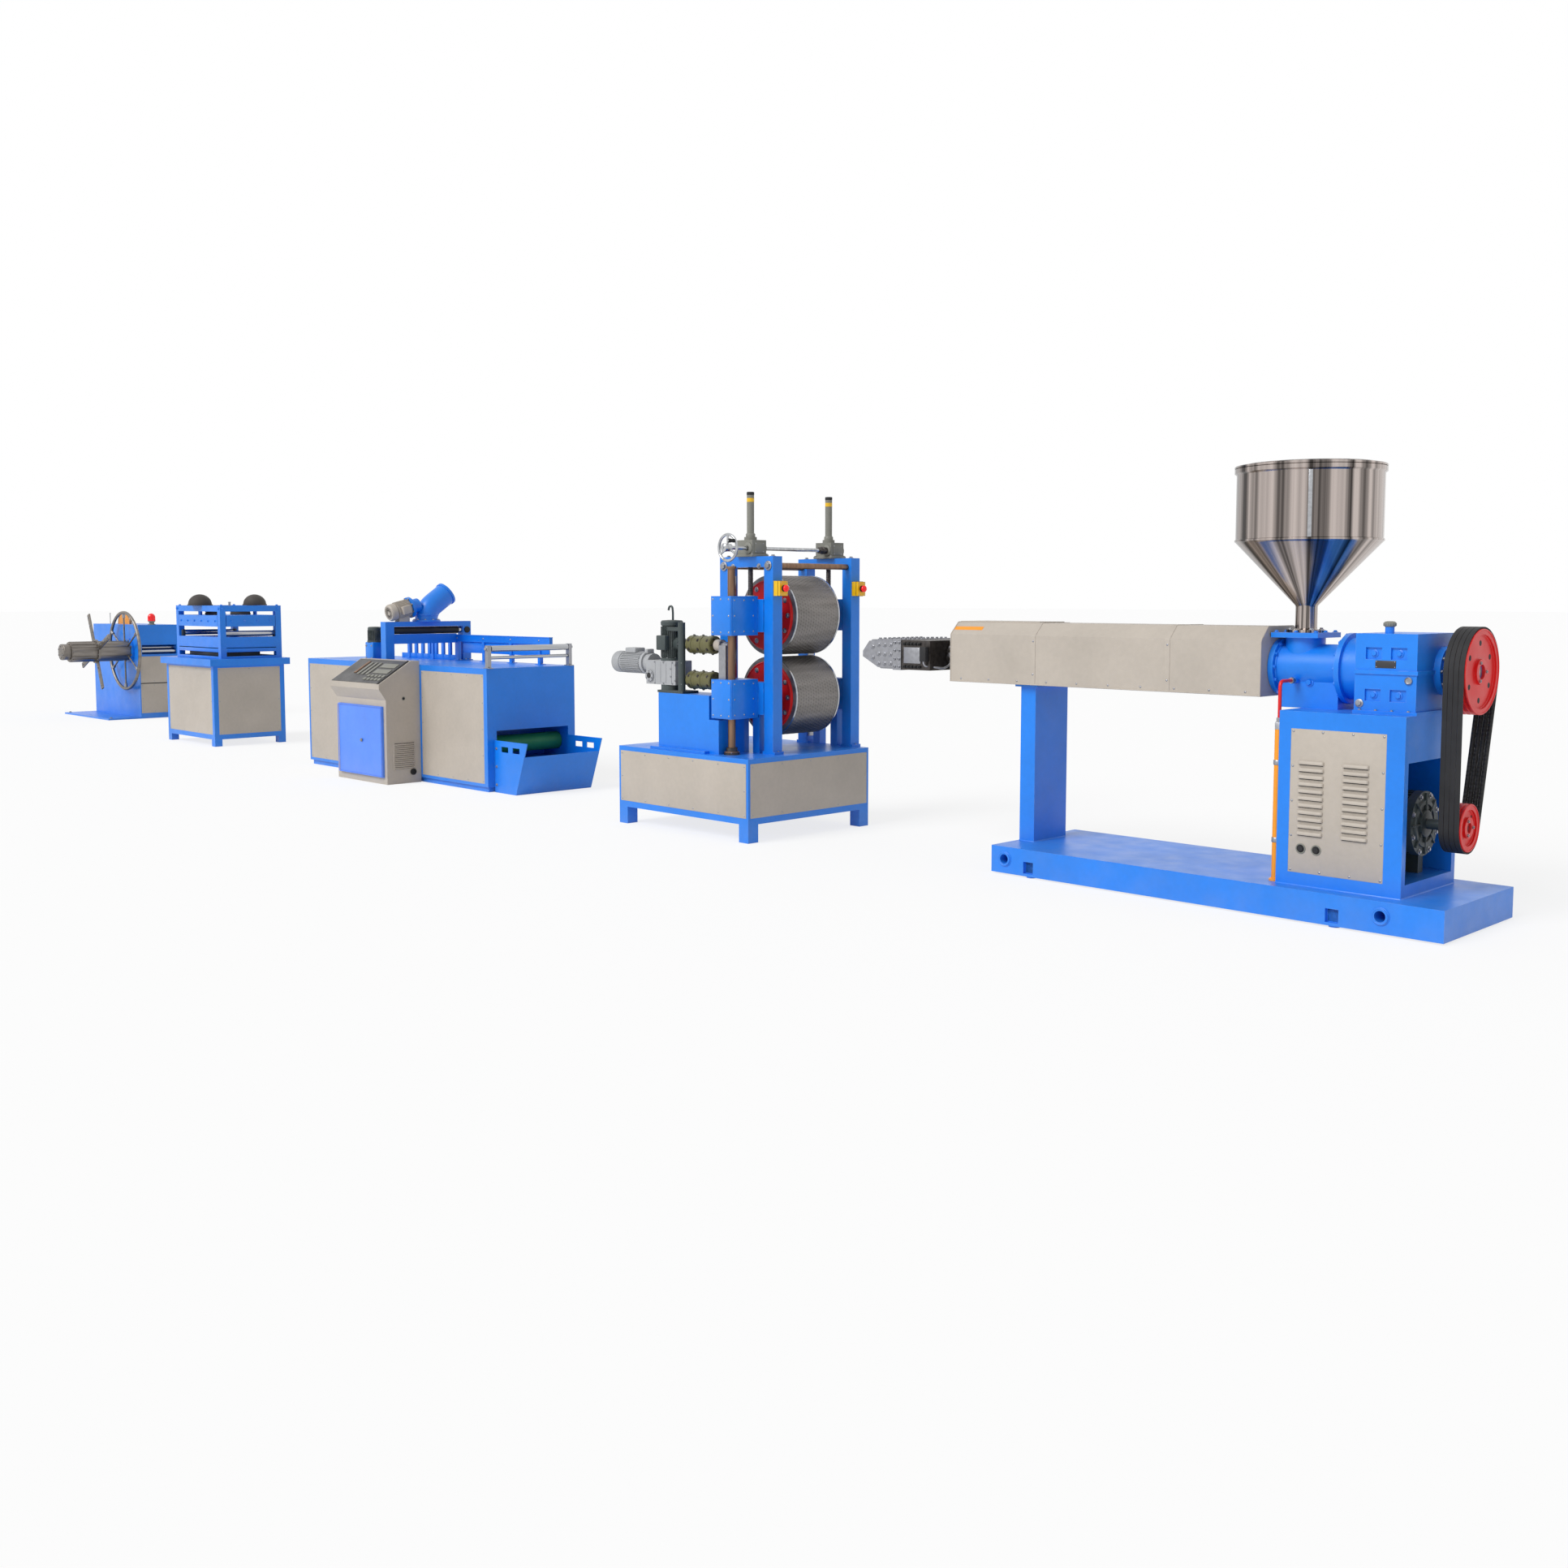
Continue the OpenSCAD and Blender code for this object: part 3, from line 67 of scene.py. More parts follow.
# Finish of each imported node
NODE_FINISH = {
    "blue_paint": (
        "extruder_base barrel_support feed_throat gearbox drive_cabinet stand_cabinet side_frames "
        "lower_bearing_boxes upper_bearing_boxes drive_pedestal haul_off_frame catch_tray "
        "portal_frame blower_duct back_rail press_table press_frame upper_platen winder_body"
    ),
    "light_blue_paint": "console_door",
    "cream_paint": (
        "barrel_cover louvre_panel stand_panels haul_off_panels console_body blower_motor "
        "press_panels winder_panels"
    ),
    "red_paint": "gearbox_pulley motor_pulley lower_drum_discs upper_drum_discs",
    "orange_paint": "cooling_pipes",
    "dark_paint": "main_motor upright_motor",
    "cast_aluminium": "level_motor",
    "olive_paint": "shaft_couplings",
    "stainless": "hopper hopper_lid",
    "bare_steel": "die_head drive_shaft inlet_stand",
    "dark_steel": "barrel die_manifold jack_screws",
    "brown_steel": "guide_column",
    "drum_metal": "lower_drum upper_drum",
    "grey_casting": "screw_jacks",
    "chrome": "handwheel",
    "bright_roller": "inlet_roller winder_rollers",
    "reel_steel": "reel",
    "dark_rubber": "press_cylinders",
    "black_rubber": "drive_belts",
    "green_rubber": "feed_roller",
    "black_panel": "console_desk",
    "yellow_plastic": "stop_stations",
    "red_lens": "beacon stop_knobs",
}


def box(node):
    """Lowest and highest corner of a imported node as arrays."""
    lo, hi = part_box(node)
    return np.array(lo), np.array(hi)


def middle(node):
    """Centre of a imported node's box."""
    return sum(box(node)) / 2


# Shapes. A shell is an array of rings, (..., rings, points, 3); leading indices are copies of it.

AXES = {
    "x": np.array([[0, 0, 1], [1, 0, 0], [0, 1, 0]], float),
    "y": np.array([[0, 1, 0], [0, 0, 1], [1, 0, 0]], float),
    "z": np.eye(3),
}
FLIP = np.diag([1.0, -1.0, -1.0])


def aim(shell, axis):
    """Turns a shell's own Z to an axis of the frame, such as x or -y."""
    turn = AXES[axis[-1]]
    if axis[0] == "-":
        turn = turn @ FLIP
    return shell @ turn.T


def put(shell, points):
    """Copies of a shell, one moved to each point."""
    return shell + np.atleast_2d(points)[:, None, None, :]


def fixed(shell, at, axis="z"):
    """A shell with its own Z along an axis, moved to a point or copied to each of several points."""
    shell, at = aim(shell, axis), np.array(at, float)
    return shell + at if at.ndim == 1 else put(shell, at)


def around(n):
    """Angles that share out one full turn."""
    return TURN * np.arange(n) / n


def spin(shell, axis, centre, angles):
    """Copies of a shell, each turned by one of the angles about a line along an axis."""
    c, s = np.cos(angles), np.sin(angles)
    o, i = np.zeros_like(c), np.ones_like(c)
    rows = {
        "x": [[i, o, o], [o, c, -s], [o, s, c]],
        "y": [[c, o, s], [o, i, o], [-s, o, c]],
        "z": [[c, -s, o], [s, c, o], [o, o, i]],
    }[axis]
    turns = np.moveaxis(np.array(rows), 2, 0)
    return np.einsum("kab,...b->k...a", turns, shell - centre) + centre


def tilted(shell, axis, angle, centre=0.0):
    """A shell turned by one angle about a line along an axis."""
    return spin(shell, axis, centre, np.array([angle]))[0]


def turned(profile, n=48, phase=0.0):
    """Surface of revolution: the angle runs round Z, radius and height follow the profile's pairs."""
    radius, height = np.array(profile, float).T
    angle = TURN * (np.arange(n) + phase) / n
    x = radius[:, None] * np.cos(angle)
    y = radius[:, None] * np.sin(angle)
    return np.stack([x, y, np.broadcast_to(height[:, None], x.shape)], -1)


def lathe(profile, at, axis="z", n=48):
    """A turned shell along an axis, at a point or at each of several points."""
    return fixed(turned(profile, n), at, axis)


def torus(major, minor, n=48, m=10):
    """Ring: a small circle turned round Z. It closes on itself both ways, so it is a loop."""
    return turned(circle(minor, m) + (major, 0), n)


def hoop(major, minor, at, axis="z", n=48):
    """A ring about an axis, at a point or at each of several points."""
    return fixed(torus(major, minor, n), at, axis)


def slab(lo, hi, r=0.003, k=2):
    """Block with rounded edges: a rectangle's outline, drawn in by a quarter circle at both ends of Z."""
    lo, hi = np.array(lo, float), np.array(hi, float)
    half, mid = (hi - lo) / 2, (hi + lo) / 2
    r = min(r, 0.45 * half.min())
    corner = 1.25 * r
    quarter = math.pi / 2 * np.arange(k + 1) / k
    angle = (math.pi / 2 * np.arange(4)[:, None] + quarter).ravel()
    sx = np.repeat([1.0, -1.0, -1.0, 1.0], k + 1)
    sy = np.repeat([1.0, 1.0, -1.0, -1.0], k + 1)
    draw = np.concatenate([r * (1 - np.sin(quarter)), r * (1 - np.sin(quarter[::-1]))])
    swell = r * (1 - np.cos(quarter))
    rise = np.concatenate([-half[2] + swell, half[2] - swell[::-1]])
    arc = corner - draw[:, None]
    x = sx * (half[0] - corner) + arc * np.cos(angle)
    y = sy * (half[1] - corner) + arc * np.sin(angle)
    return np.stack([x, y, np.broadcast_to(rise[:, None], x.shape)], -1) + mid


def swept(path, section, up=(0.0, 0.0, 1.0), closed=False):
    """A flat section carried along a path: its first axis points sideways, its second one upwards."""
    path = np.array(path, float)
    if closed:
        ahead = np.roll(path, -1, 0) - np.roll(path, 1, 0)
    else:
        ahead = np.gradient(path, axis=0)
    ahead /= np.linalg.norm(ahead, axis=1, keepdims=True)
    side = np.cross(ahead, np.array(up, float))
    side /= np.linalg.norm(side, axis=1, keepdims=True)
    top = np.cross(side, ahead)
    section = np.array(section, float)
    return path[:, None] + side[:, None] * section[None, :, :1] + top[:, None] * section[None, :, 1:]


def circle(r, n=12):
    """Points of a circle as a section."""
    return r * np.stack([np.cos(around(n)), np.sin(around(n))], -1)


def rounded_path(points, r, k=6):
    """A path through corner points, each corner cut by a quadratic curve that starts r before it."""
    p = np.array(points, float)
    t = np.linspace(0, 1, k)[:, None]
    step = np.diff(p, axis=0)
    step *= r / np.linalg.norm(step, axis=1, keepdims=True)
    corner, before, after = (a[:, None] for a in (p[1:-1], p[1:-1] - step[:-1], p[1:-1] + step[1:]))
    bend = (1 - t) ** 2 * before + 2 * t * (1 - t) * corner + t**2 * after
    return np.concatenate([p[:1], bend.reshape(-1, 3), p[-1:]])


def outline(x0, x1, y0, y1, z, r, k=4):
    """Closed path round a level rectangle whose corners are quarter circles."""
    quarter = math.pi / 2 * np.arange(k + 1) / k
    angle = (math.pi / 2 * np.arange(4)[:, None] + quarter).ravel()
    x = np.repeat([x1 - r, x0 + r, x0 + r, x1 - r], k + 1) + r * np.cos(angle)
    y = np.repeat([y1 - r, y1 - r, y0 + r, y0 + r], k + 1) + r * np.sin(angle)
    return np.stack([x, y, 0 * x + z], -1)


def bead(face, at, a, b, corner, r, n=8):
    """Round bead on the border of a rectangle across an axis: a circle carried round the outline."""
    order = {"x": [2, 0, 1], "y": [0, 2, 1], "z": [0, 1, 2]}[face]
    return swept(outline(*a, *b, at, corner)[:, order], circle(r, n), AXES[face][:, 2], True)


def threaded(r, length, pitch, depth, n=20, per_turn=6):
    """Screw thread: the radius falls by a triangle wave of height over pitch less the angle's turn."""
    m = int(length / pitch * per_turn) + 2
    height = np.linspace(0, length, m)[:, None]
    share = np.arange(n)[None, :] / n
    wave = np.abs(2 * ((height / pitch - share) % 1.0) - 1)
    radius = r - depth * wave
    angle = TURN * share
    return np.stack([radius * np.cos(angle), radius * np.sin(angle), height + 0 * angle], -1)


def finned(r, length, fins, depth, end_r):
    """Cooling body: the radius steps between the root and the tip of each fin as the angle runs round."""
    step = np.tile([0.0, 0.0, 1.0, 1.0], fins)
    share = (np.arange(fins)[:, None] + np.array([0.0, 0.56, 0.62, 0.94])).ravel() / fins
    body = r - depth * (1 - step)
    radius = np.stack([0 * body + end_r, body, body, 0 * body + end_r])
    height = np.array([0.0, 0.0, length, length])[:, None]
    angle = TURN * share
    return np.stack([radius * np.cos(angle), radius * np.sin(angle), height + 0 * radius], -1)


def hex_bolts(points, axis, r=0.009):
    """Hexagon heads on washers: two short turned shells, the head with six points to its ring."""
    washer = [(1.5 * r, 0), (1.5 * r, 0.25 * r), (1.35 * r, 0.32 * r)]
    head = [(r, 0.3 * r), (r, 0.9 * r), (0.84 * r, 1.05 * r)]
    return [lathe(washer, points, axis, 14), lathe(head, points, axis, 6)]


def cap_screws(points, axis, r=0.008):
    """Round heads with a sunk socket: the profile goes up the side, over the edge and down inside."""
    profile = [(r, 0), (r, 0.9 * r), (0.88 * r, r), (0.55 * r, r), (0.5 * r, 0.45 * r)]
    return [lathe(profile, points, axis, 12)]


def button_screws(points, axis, r=0.006):
    """Low domed heads: a short arc of a circle turned round."""
    t = np.linspace(0, 0.96, 4) * math.pi / 2
    profile = np.stack([r * np.cos(t), 0.5 * r * np.sin(t)], -1)
    return [lathe(profile, points, axis, 12)]


def rounds(centre, axis, radius, n, phase=0.0):
    """Points spread evenly on a circle about an axis."""
    return aim(turned([(radius, 0)], n, phase), axis)[0] + np.array(centre, float)


def grid(xs, ys, zs):
    """Every point of a box grid, whose sides are rows of places or single places."""
    return np.stack(np.meshgrid(xs, ys, zs, indexing="ij"), -1).reshape(-1, 3)


def both_faces(screws, xs, lo, hi, zs, r):
    """Screws of one kind on the two faces of a box across Y."""
    return screws(grid(xs, lo[1], zs), "-y", r) + screws(grid(xs, hi[1], zs), "y", r)


def border(a0, a1, b0, b1, na, nb):
    """Pairs spread round a rectangle's border."""
    a, b = np.linspace(a0, a1, na), np.linspace(b0, b1, nb)[1:-1]
    return np.concatenate([
        np.stack([a, 0 * a + b0], -1), np.stack([a, 0 * a + b1], -1),
        np.stack([0 * b + a0, b], -1), np.stack([0 * b + a1, b], -1),
    ])


def sheet_screws(face, at, a, b, na, nb, r, inset=0.016):
    """Domed screws round the border of a sheet panel that faces along X or Y."""
    pairs = border(a[0] + inset, a[1] - inset, b[0] + inset, b[1] - inset, na, nb)
    plane = np.full(len(pairs), at)
    columns = [pairs[:, 0], plane, pairs[:, 1]] if face[-1] == "y" else [plane, pairs[:, 0], pairs[:, 1]]
    return button_screws(np.stack(columns, -1), face, r)


def volume(rings, loop):
    """Signed volume of a closed shell, from the tetrahedra under its triangles."""
    nxt = np.roll(rings, -1, 0) if loop else rings[1:]
    low = rings if loop else rings[:-1]
    a, b = low, np.roll(low, -1, 1)
    c, d = np.roll(nxt, -1, 1), nxt
    total = (a * np.cross(b, c)).sum() + (a * np.cross(c, d)).sum()
    if not loop:
        for ring, sign in ((rings[0], -1), (rings[-1], 1)):
            mid = ring.mean(0)
            total += sign * (mid * np.cross(ring, np.roll(ring, -1, 0))).sum()
    return total


def quads_of(m, n, loop, flip):
    """Corner numbers of the quads between rings, and of the two end caps of an open row of rings."""
    i = np.arange(m if loop else m - 1)[:, None]
    j = np.arange(n)[None, :]
    k, up = (j + 1) % n, (i + 1) % m
    quads = np.stack([i * n + j, i * n + k, up * n + k, up * n + j], -1).reshape(-1, 4)
    ends = [] if loop else [np.arange(n)[::-1], (m - 1) * n + np.arange(n)]
    if flip:
        return quads[:, ::-1], [e[::-1] for e in ends]
    return quads, ends


def piece(name, slot, shells, loops=(), body="root", angle=40.0, replaces=()):
    """Joins shells, whose ends are capped, and loops, which close on themselves, into one object."""
    points, corners, sizes, base = [], [], [], 0
    for shell, loop in [(s, False) for s in shells] + [(s, True) for s in loops]:
        m, n = shell.shape[-3:-1]
        batch = shell.reshape(-1, m, n, 3)
        quads, ends = quads_of(m, n, loop, volume(batch[0] - batch[0].mean((0, 1)), loop) < 0)
        starts = base + m * n * np.arange(len(batch))
        corners.append((starts[:, None, None] + quads).ravel())
        sizes.append(np.full(len(quads) * len(batch), 4))
        for end in ends:
            corners.append((starts[:, None] + end).ravel())
            sizes.append(np.full(len(batch), n))
        points.append(batch.reshape(-1, 3))
        base += m * n * len(batch)
    points, corners, sizes = map(np.concatenate, (points, corners, sizes))
    mesh = bpy.data.meshes.new(name)
    mesh.vertices.add(len(points))
    mesh.vertices.foreach_set("co", points.astype(np.float32).ravel())
    mesh.loops.add(len(corners))
    mesh.loops.foreach_set("vertex_index", corners.astype(np.int32))
    mesh.polygons.add(len(sizes))
    mesh.polygons.foreach_set("loop_start", (np.cumsum(sizes) - sizes).astype(np.int32))
    mesh.update(calc_edges=True)
    mesh.validate()
    mesh.shade_smooth()
    mesh.set_sharp_from_angle(angle=math.radians(angle))
    obj = bpy.data.objects.new(name, mesh)
    bpy.context.scene.collection.objects.link(obj)
    mesh.materials.append(finish(slot))
    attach(obj, body)
    if replaces:
        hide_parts(*replaces)
    return obj


# Shader groups and finishes

def new_group(name, inputs, outputs):
    """An empty shader group with float, colour or vector sockets, and its two end nodes."""
    group = bpy.data.node_groups.new(name, "ShaderNodeTree")
    kinds = {"f": "NodeSocketFloat", "c": "NodeSocketColor", "v": "NodeSocketVector"}
    for label, kind in inputs:
        group.interface.new_socket(label, in_out="INPUT", socket_type=kinds[kind])
    for label, kind in outputs:
        group.interface.new_socket(label, in_out="OUTPUT", socket_type=kinds[kind])
    return group, group.nodes.new("NodeGroupInput"), group.nodes.new("NodeGroupOutput")


def coordinates(tree):
    """Object coordinates of a surface."""
    return tree.nodes.new("ShaderNodeTexCoord").outputs["Object"]


def noise(tree, vector, scale, detail=3.0):
    """A noise texture's factor, read at a vector."""
    node = tree.nodes.new("ShaderNodeTexNoise")
    node.inputs["Detail"].default_value = detail
    if isinstance(scale, (int, float)):
        node.inputs["Scale"].default_value = scale
    else:
        tree.links.new(scale, node.inputs["Scale"])
    tree.links.new(vector, node.inputs["Vector"])
    return node.outputs["Fac"]


def spread(tree, value, lo, hi, out_lo=0.0, out_hi=1.0):
    """Maps a value's range to another one, clamped."""
    node = tree.nodes.new("ShaderNodeMapRange")
    for label, number in (("From Min", lo), ("From Max", hi), ("To Min", out_lo), ("To Max", out_hi)):
        if isinstance(number, (int, float)):
            node.inputs[label].default_value = number
        else:
            tree.links.new(number, node.inputs[label])
    tree.links.new(value, node.inputs["Value"])
    return node.outputs["Result"]


def reckon(tree, kind, *values):
    """A Math node on values or numbers."""
    node = tree.nodes.new("ShaderNodeMath")
    node.operation = kind
    for socket, value in zip(node.inputs, values):
        if isinstance(value, (int, float)):
            socket.default_value = value
        else:
            tree.links.new(value, socket)
    return node.outputs[0]


def blend_colours(tree, share, a, b):
    """Mixes two colours by a share."""
    node = tree.nodes.new("ShaderNodeMix")
    node.data_type = "RGBA"
    for socket, value in ((node.inputs[0], share), (node.inputs[6], a), (node.inputs[7], b)):
        if isinstance(value, (tuple, list)):
            socket.default_value = (*value[:3], 1.0)
        else:
            tree.links.new(value, socket)
    return node.outputs[2]


def make_mottle():
    """Slow change of tone over a surface: two noises of different size between a dark and a light tone."""
    group, start, end = new_group("Mottle", [("Dark", "c"), ("Light", "c"), ("Scale", "f")], [("Colour", "c")])
    place = coordinates(group)
    broad = noise(group, place, start.outputs["Scale"], 4.0)
    fine = noise(group, place, 38.0, 2.0)
    tone = spread(group, reckon(group, "ADD", broad, reckon(group, "MULTIPLY", fine, 0.35)), 0.42, 0.92)
    group.links.new(blend_colours(group, tone, start.outputs["Dark"], start.outputs["Light"]), end.inputs["Colour"])
    return group


def make_grain():
    """Height of a sprayed or cast skin: fine noise, and its own roughness share."""
    group, start, end = new_group("Grain", [("Scale", "f")], [("Height", "f"), ("Share", "f")])
    place = coordinates(group)
    height = noise(group, place, start.outputs["Scale"], 2.0)
    group.links.new(height, end.inputs["Height"])
    group.links.new(spread(group, noise(group, place, 9.0, 5.0), 0.3, 0.7), end.inputs["Share"])
    return group


def make_edge_wear_and_highlight():
    """Share of worn edge, whose paler colour also paints a highlight: how far a rounded normal turns from the true
    one, broken up by noise.
    """
    group, start, end = new_group("Edge wear", [("Amount", "f")], [("Wear", "f")])
    bevel = group.nodes.new("ShaderNodeBevel")
    bevel.samples = 4
    bevel.inputs["Radius"].default_value = 0.007
    dot = group.nodes.new("ShaderNodeVectorMath")
    dot.operation = "DOT_PRODUCT"
    group.links.new(bevel.outputs[0], dot.inputs[0])
    group.links.new(group.nodes.new("ShaderNodeNewGeometry").outputs["Normal"], dot.inputs[1])
    place = coordinates(group)
    broken = spread(group, noise(group, place, 26.0, 4.0), 0.45, 0.7)
    edge = spread(group, dot.outputs["Value"], 0.97, 0.72)
    worn = reckon(group, "MULTIPLY", edge, broken)
    group.links.new(reckon(group, "MULTIPLY", worn, start.outputs["Amount"]), end.inputs["Wear"])
    return group


def make_dust():
    """Share of settled dust: surfaces that face up, and the lowest ones, fading out above the floor."""
    group, start, end = new_group("Dust", [("Amount", "f")], [("Dust", "f")])
    coord = group.nodes.new("ShaderNodeTexCoord")
    split = group.nodes.new("ShaderNodeSeparateXYZ")
    group.links.new(coord.outputs["Normal"], split.inputs[0])
    up = spread(group, split.outputs["Z"], 0.6, 1.0, 0.0, 0.55)
    height = group.nodes.new("ShaderNodeSeparateXYZ")
    group.links.new(coord.outputs["Object"], height.inputs[0])
    low = spread(group, height.outputs["Z"], 0.28, 0.0, 0.0, 0.6)
    patch = spread(group, noise(group, coord.outputs["Object"], 7.0, 5.0), 0.35, 0.75, 0.25, 1.0)
    both = reckon(group, "MULTIPLY", reckon(group, "MAXIMUM", up, low), patch)
    group.links.new(reckon(group, "MULTIPLY", both, start.outputs["Amount"]), end.inputs["Dust"])
    return group


def link_marks(group, start, end, vector):
    """Links a group's ends to noise at a vector, and to that noise drawn apart by the contrast."""
    mark = noise(group, vector, 1.0)
    half = reckon(group, "MULTIPLY", start.outputs["Contrast"], 0.5)
    band = spread(group, mark, reckon(group, "SUBTRACT", 0.5, half), reckon(group, "ADD", 0.5, half))
    group.links.new(mark, end.inputs["Mark"])
    group.links.new(band, end.inputs["Band"])


def make_streaks():
    """Fine marks along one direction: noise on coordinates that are drawn out by the stretch vector."""
    group, start, end = new_group("Streaks", [("Stretch", "v"), ("Contrast", "f")], [("Mark", "f"), ("Band", "f")])
    place = coordinates(group)
    drawn = group.nodes.new("ShaderNodeVectorMath")
    drawn.operation = "MULTIPLY"
    group.links.new(place, drawn.inputs[0])
    group.links.new(start.outputs["Stretch"], drawn.inputs[1])
    link_marks(group, start, end, drawn.outputs[0])
    return group


def make_polar_streaks_and_reflections():
    """Marks down a round vessel, whose band is the hopper's painted reflection: noise at the level direction from its
    upright axis, so there is no seam.
    """
    group, start, end = new_group(
        "Polar streaks", [("Centre", "v"), ("Scale", "f"), ("Contrast", "f")], [("Mark", "f"), ("Band", "f")]
    )
    way = coordinates(group)
    for operation, other in (
        ("SUBTRACT", start.outputs["Centre"]), ("MULTIPLY", (1.0, 1.0, 0.0)), ("NORMALIZE", None), ("SCALE", None),
    ):
        node = group.nodes.new("ShaderNodeVectorMath")
        node.operation = operation
        group.links.new(way, node.inputs[0])
        if operation == "SCALE":
            group.links.new(start.outputs["Scale"], node.inputs["Scale"])
        elif isinstance(other, tuple):
            node.inputs[1].default_value = other
        elif other:
            group.links.new(other, node.inputs[1])
        way = node.outputs[0]
    link_marks(group, start, end, way)
    return group


GROUP_MAKERS = {
    "Mottle": make_mottle, "Grain": make_grain, "Edge wear": make_edge_wear_and_highlight, "Dust": make_dust,
    "Streaks": make_streaks, "Polar streaks": make_polar_streaks_and_reflections,
}


def use_group(tree, name, **values):
    """Places a shared group in a material, with its own values."""
    group = bpy.data.node_groups.get(name) or GROUP_MAKERS[name]()
    node = tree.nodes.new("ShaderNodeGroup")
    node.node_tree = group
    for label, value in values.items():
        node.inputs[label].default_value = value
    return node


def painted(rough, grain, depth, wear, dust, coat):
    """Traits of a paint or casting: roughness from and to, grain scale, bump depth, edge wear with painted highlight,
    dust, coat.
    """
    return dict(kind="paint", rough=rough, grain=grain, depth=depth, wear=wear, dust=dust, coat=coat)


def metal(rough, band, tones=(0.62, 1.2), **marks):
    """Traits of a bare metal: roughness from and to, contrast of its marks, darkest and lightest tone."""
    return dict(kind="metal", rough=rough, band=band, tones=tones, **marks)


# How each finish behaves. Marks of a metal run along a stretch vector or down a round vessel, where their bands are
# painted reflections.
FINISHES = {
    "blue_paint": painted((0.3, 0.44), 420, 0.0005, 0.4, 0.2, 0.1),
    "light_blue_paint": painted((0.34, 0.46), 420, 0.0005, 0.4, 0.3, 0.2),
    "cream_paint": painted((0.42, 0.56), 300, 0.0007, 0.35, 0.3, 0.05),
    "red_paint": painted((0.34, 0.48), 420, 0.0005, 0.4, 0.15, 0.1),
    "orange_paint": painted((0.36, 0.5), 420, 0.0005, 0.5, 0.3, 0.1),
    "dark_paint": painted((0.4, 0.55), 260, 0.0008, 0.4, 0.5, 0.0),
    "grey_casting": painted((0.5, 0.65), 150, 0.0015, 0.5, 0.4, 0.0),
    "cast_aluminium": painted((0.42, 0.56), 170, 0.001, 0.3, 0.3, 0.0),
    "olive_paint": painted((0.4, 0.54), 300, 0.0007, 0.5, 0.35, 0.05),
    "yellow_plastic": painted((0.3, 0.4), 600, 0.0003, 0.0, 0.2, 0.2),
    "black_panel": painted((0.35, 0.5), 700, 0.0004, 0.25, 0.3, 0.1),
    # the hopper's wide tones, 0.14 to 1.45, paint reflections into its colour as dark and light upright bands
    "stainless": metal((0.1, 0.22), 0.24, (0.14, 1.45), around=5.5),
    "bare_steel": metal((0.3, 0.48), 0.7, (0.82, 1.12), stretch=(60, 60, 60)),
    "dark_steel": metal((0.38, 0.55), 0.5, stretch=(40, 40, 40)),
    "brown_steel": metal((0.36, 0.5), 0.5, stretch=(40, 40, 3)),
    "drum_metal": metal((0.46, 0.6), 0.6, stretch=(25, 3, 25)),
    "chrome": metal((0.08, 0.16), 0.6, stretch=(30, 30, 30)),
    "bright_roller": metal((0.16, 0.28), 0.6, (0.75, 1.12), stretch=(60, 3, 60)),
    "reel_steel": metal((0.36, 0.52), 0.5, stretch=(30, 4, 30)),
    "black_rubber": dict(kind="rubber", rough=(0.6, 0.78), grain=500, depth=0.0006),
    "dark_rubber": dict(kind="rubber", rough=(0.55, 0.75), grain=350, depth=0.0008),
    "green_rubber": dict(kind="rubber", rough=(0.45, 0.62), grain=380, depth=0.0008),
    "red_lens": dict(kind="lens", rough=(0.12, 0.2), grain=200, depth=0.0003),
}


def tone(colour, share):
    """A colour made darker or lighter."""
    return tuple(min(1.0, c * share) for c in colour[:3]) + (1.0,)


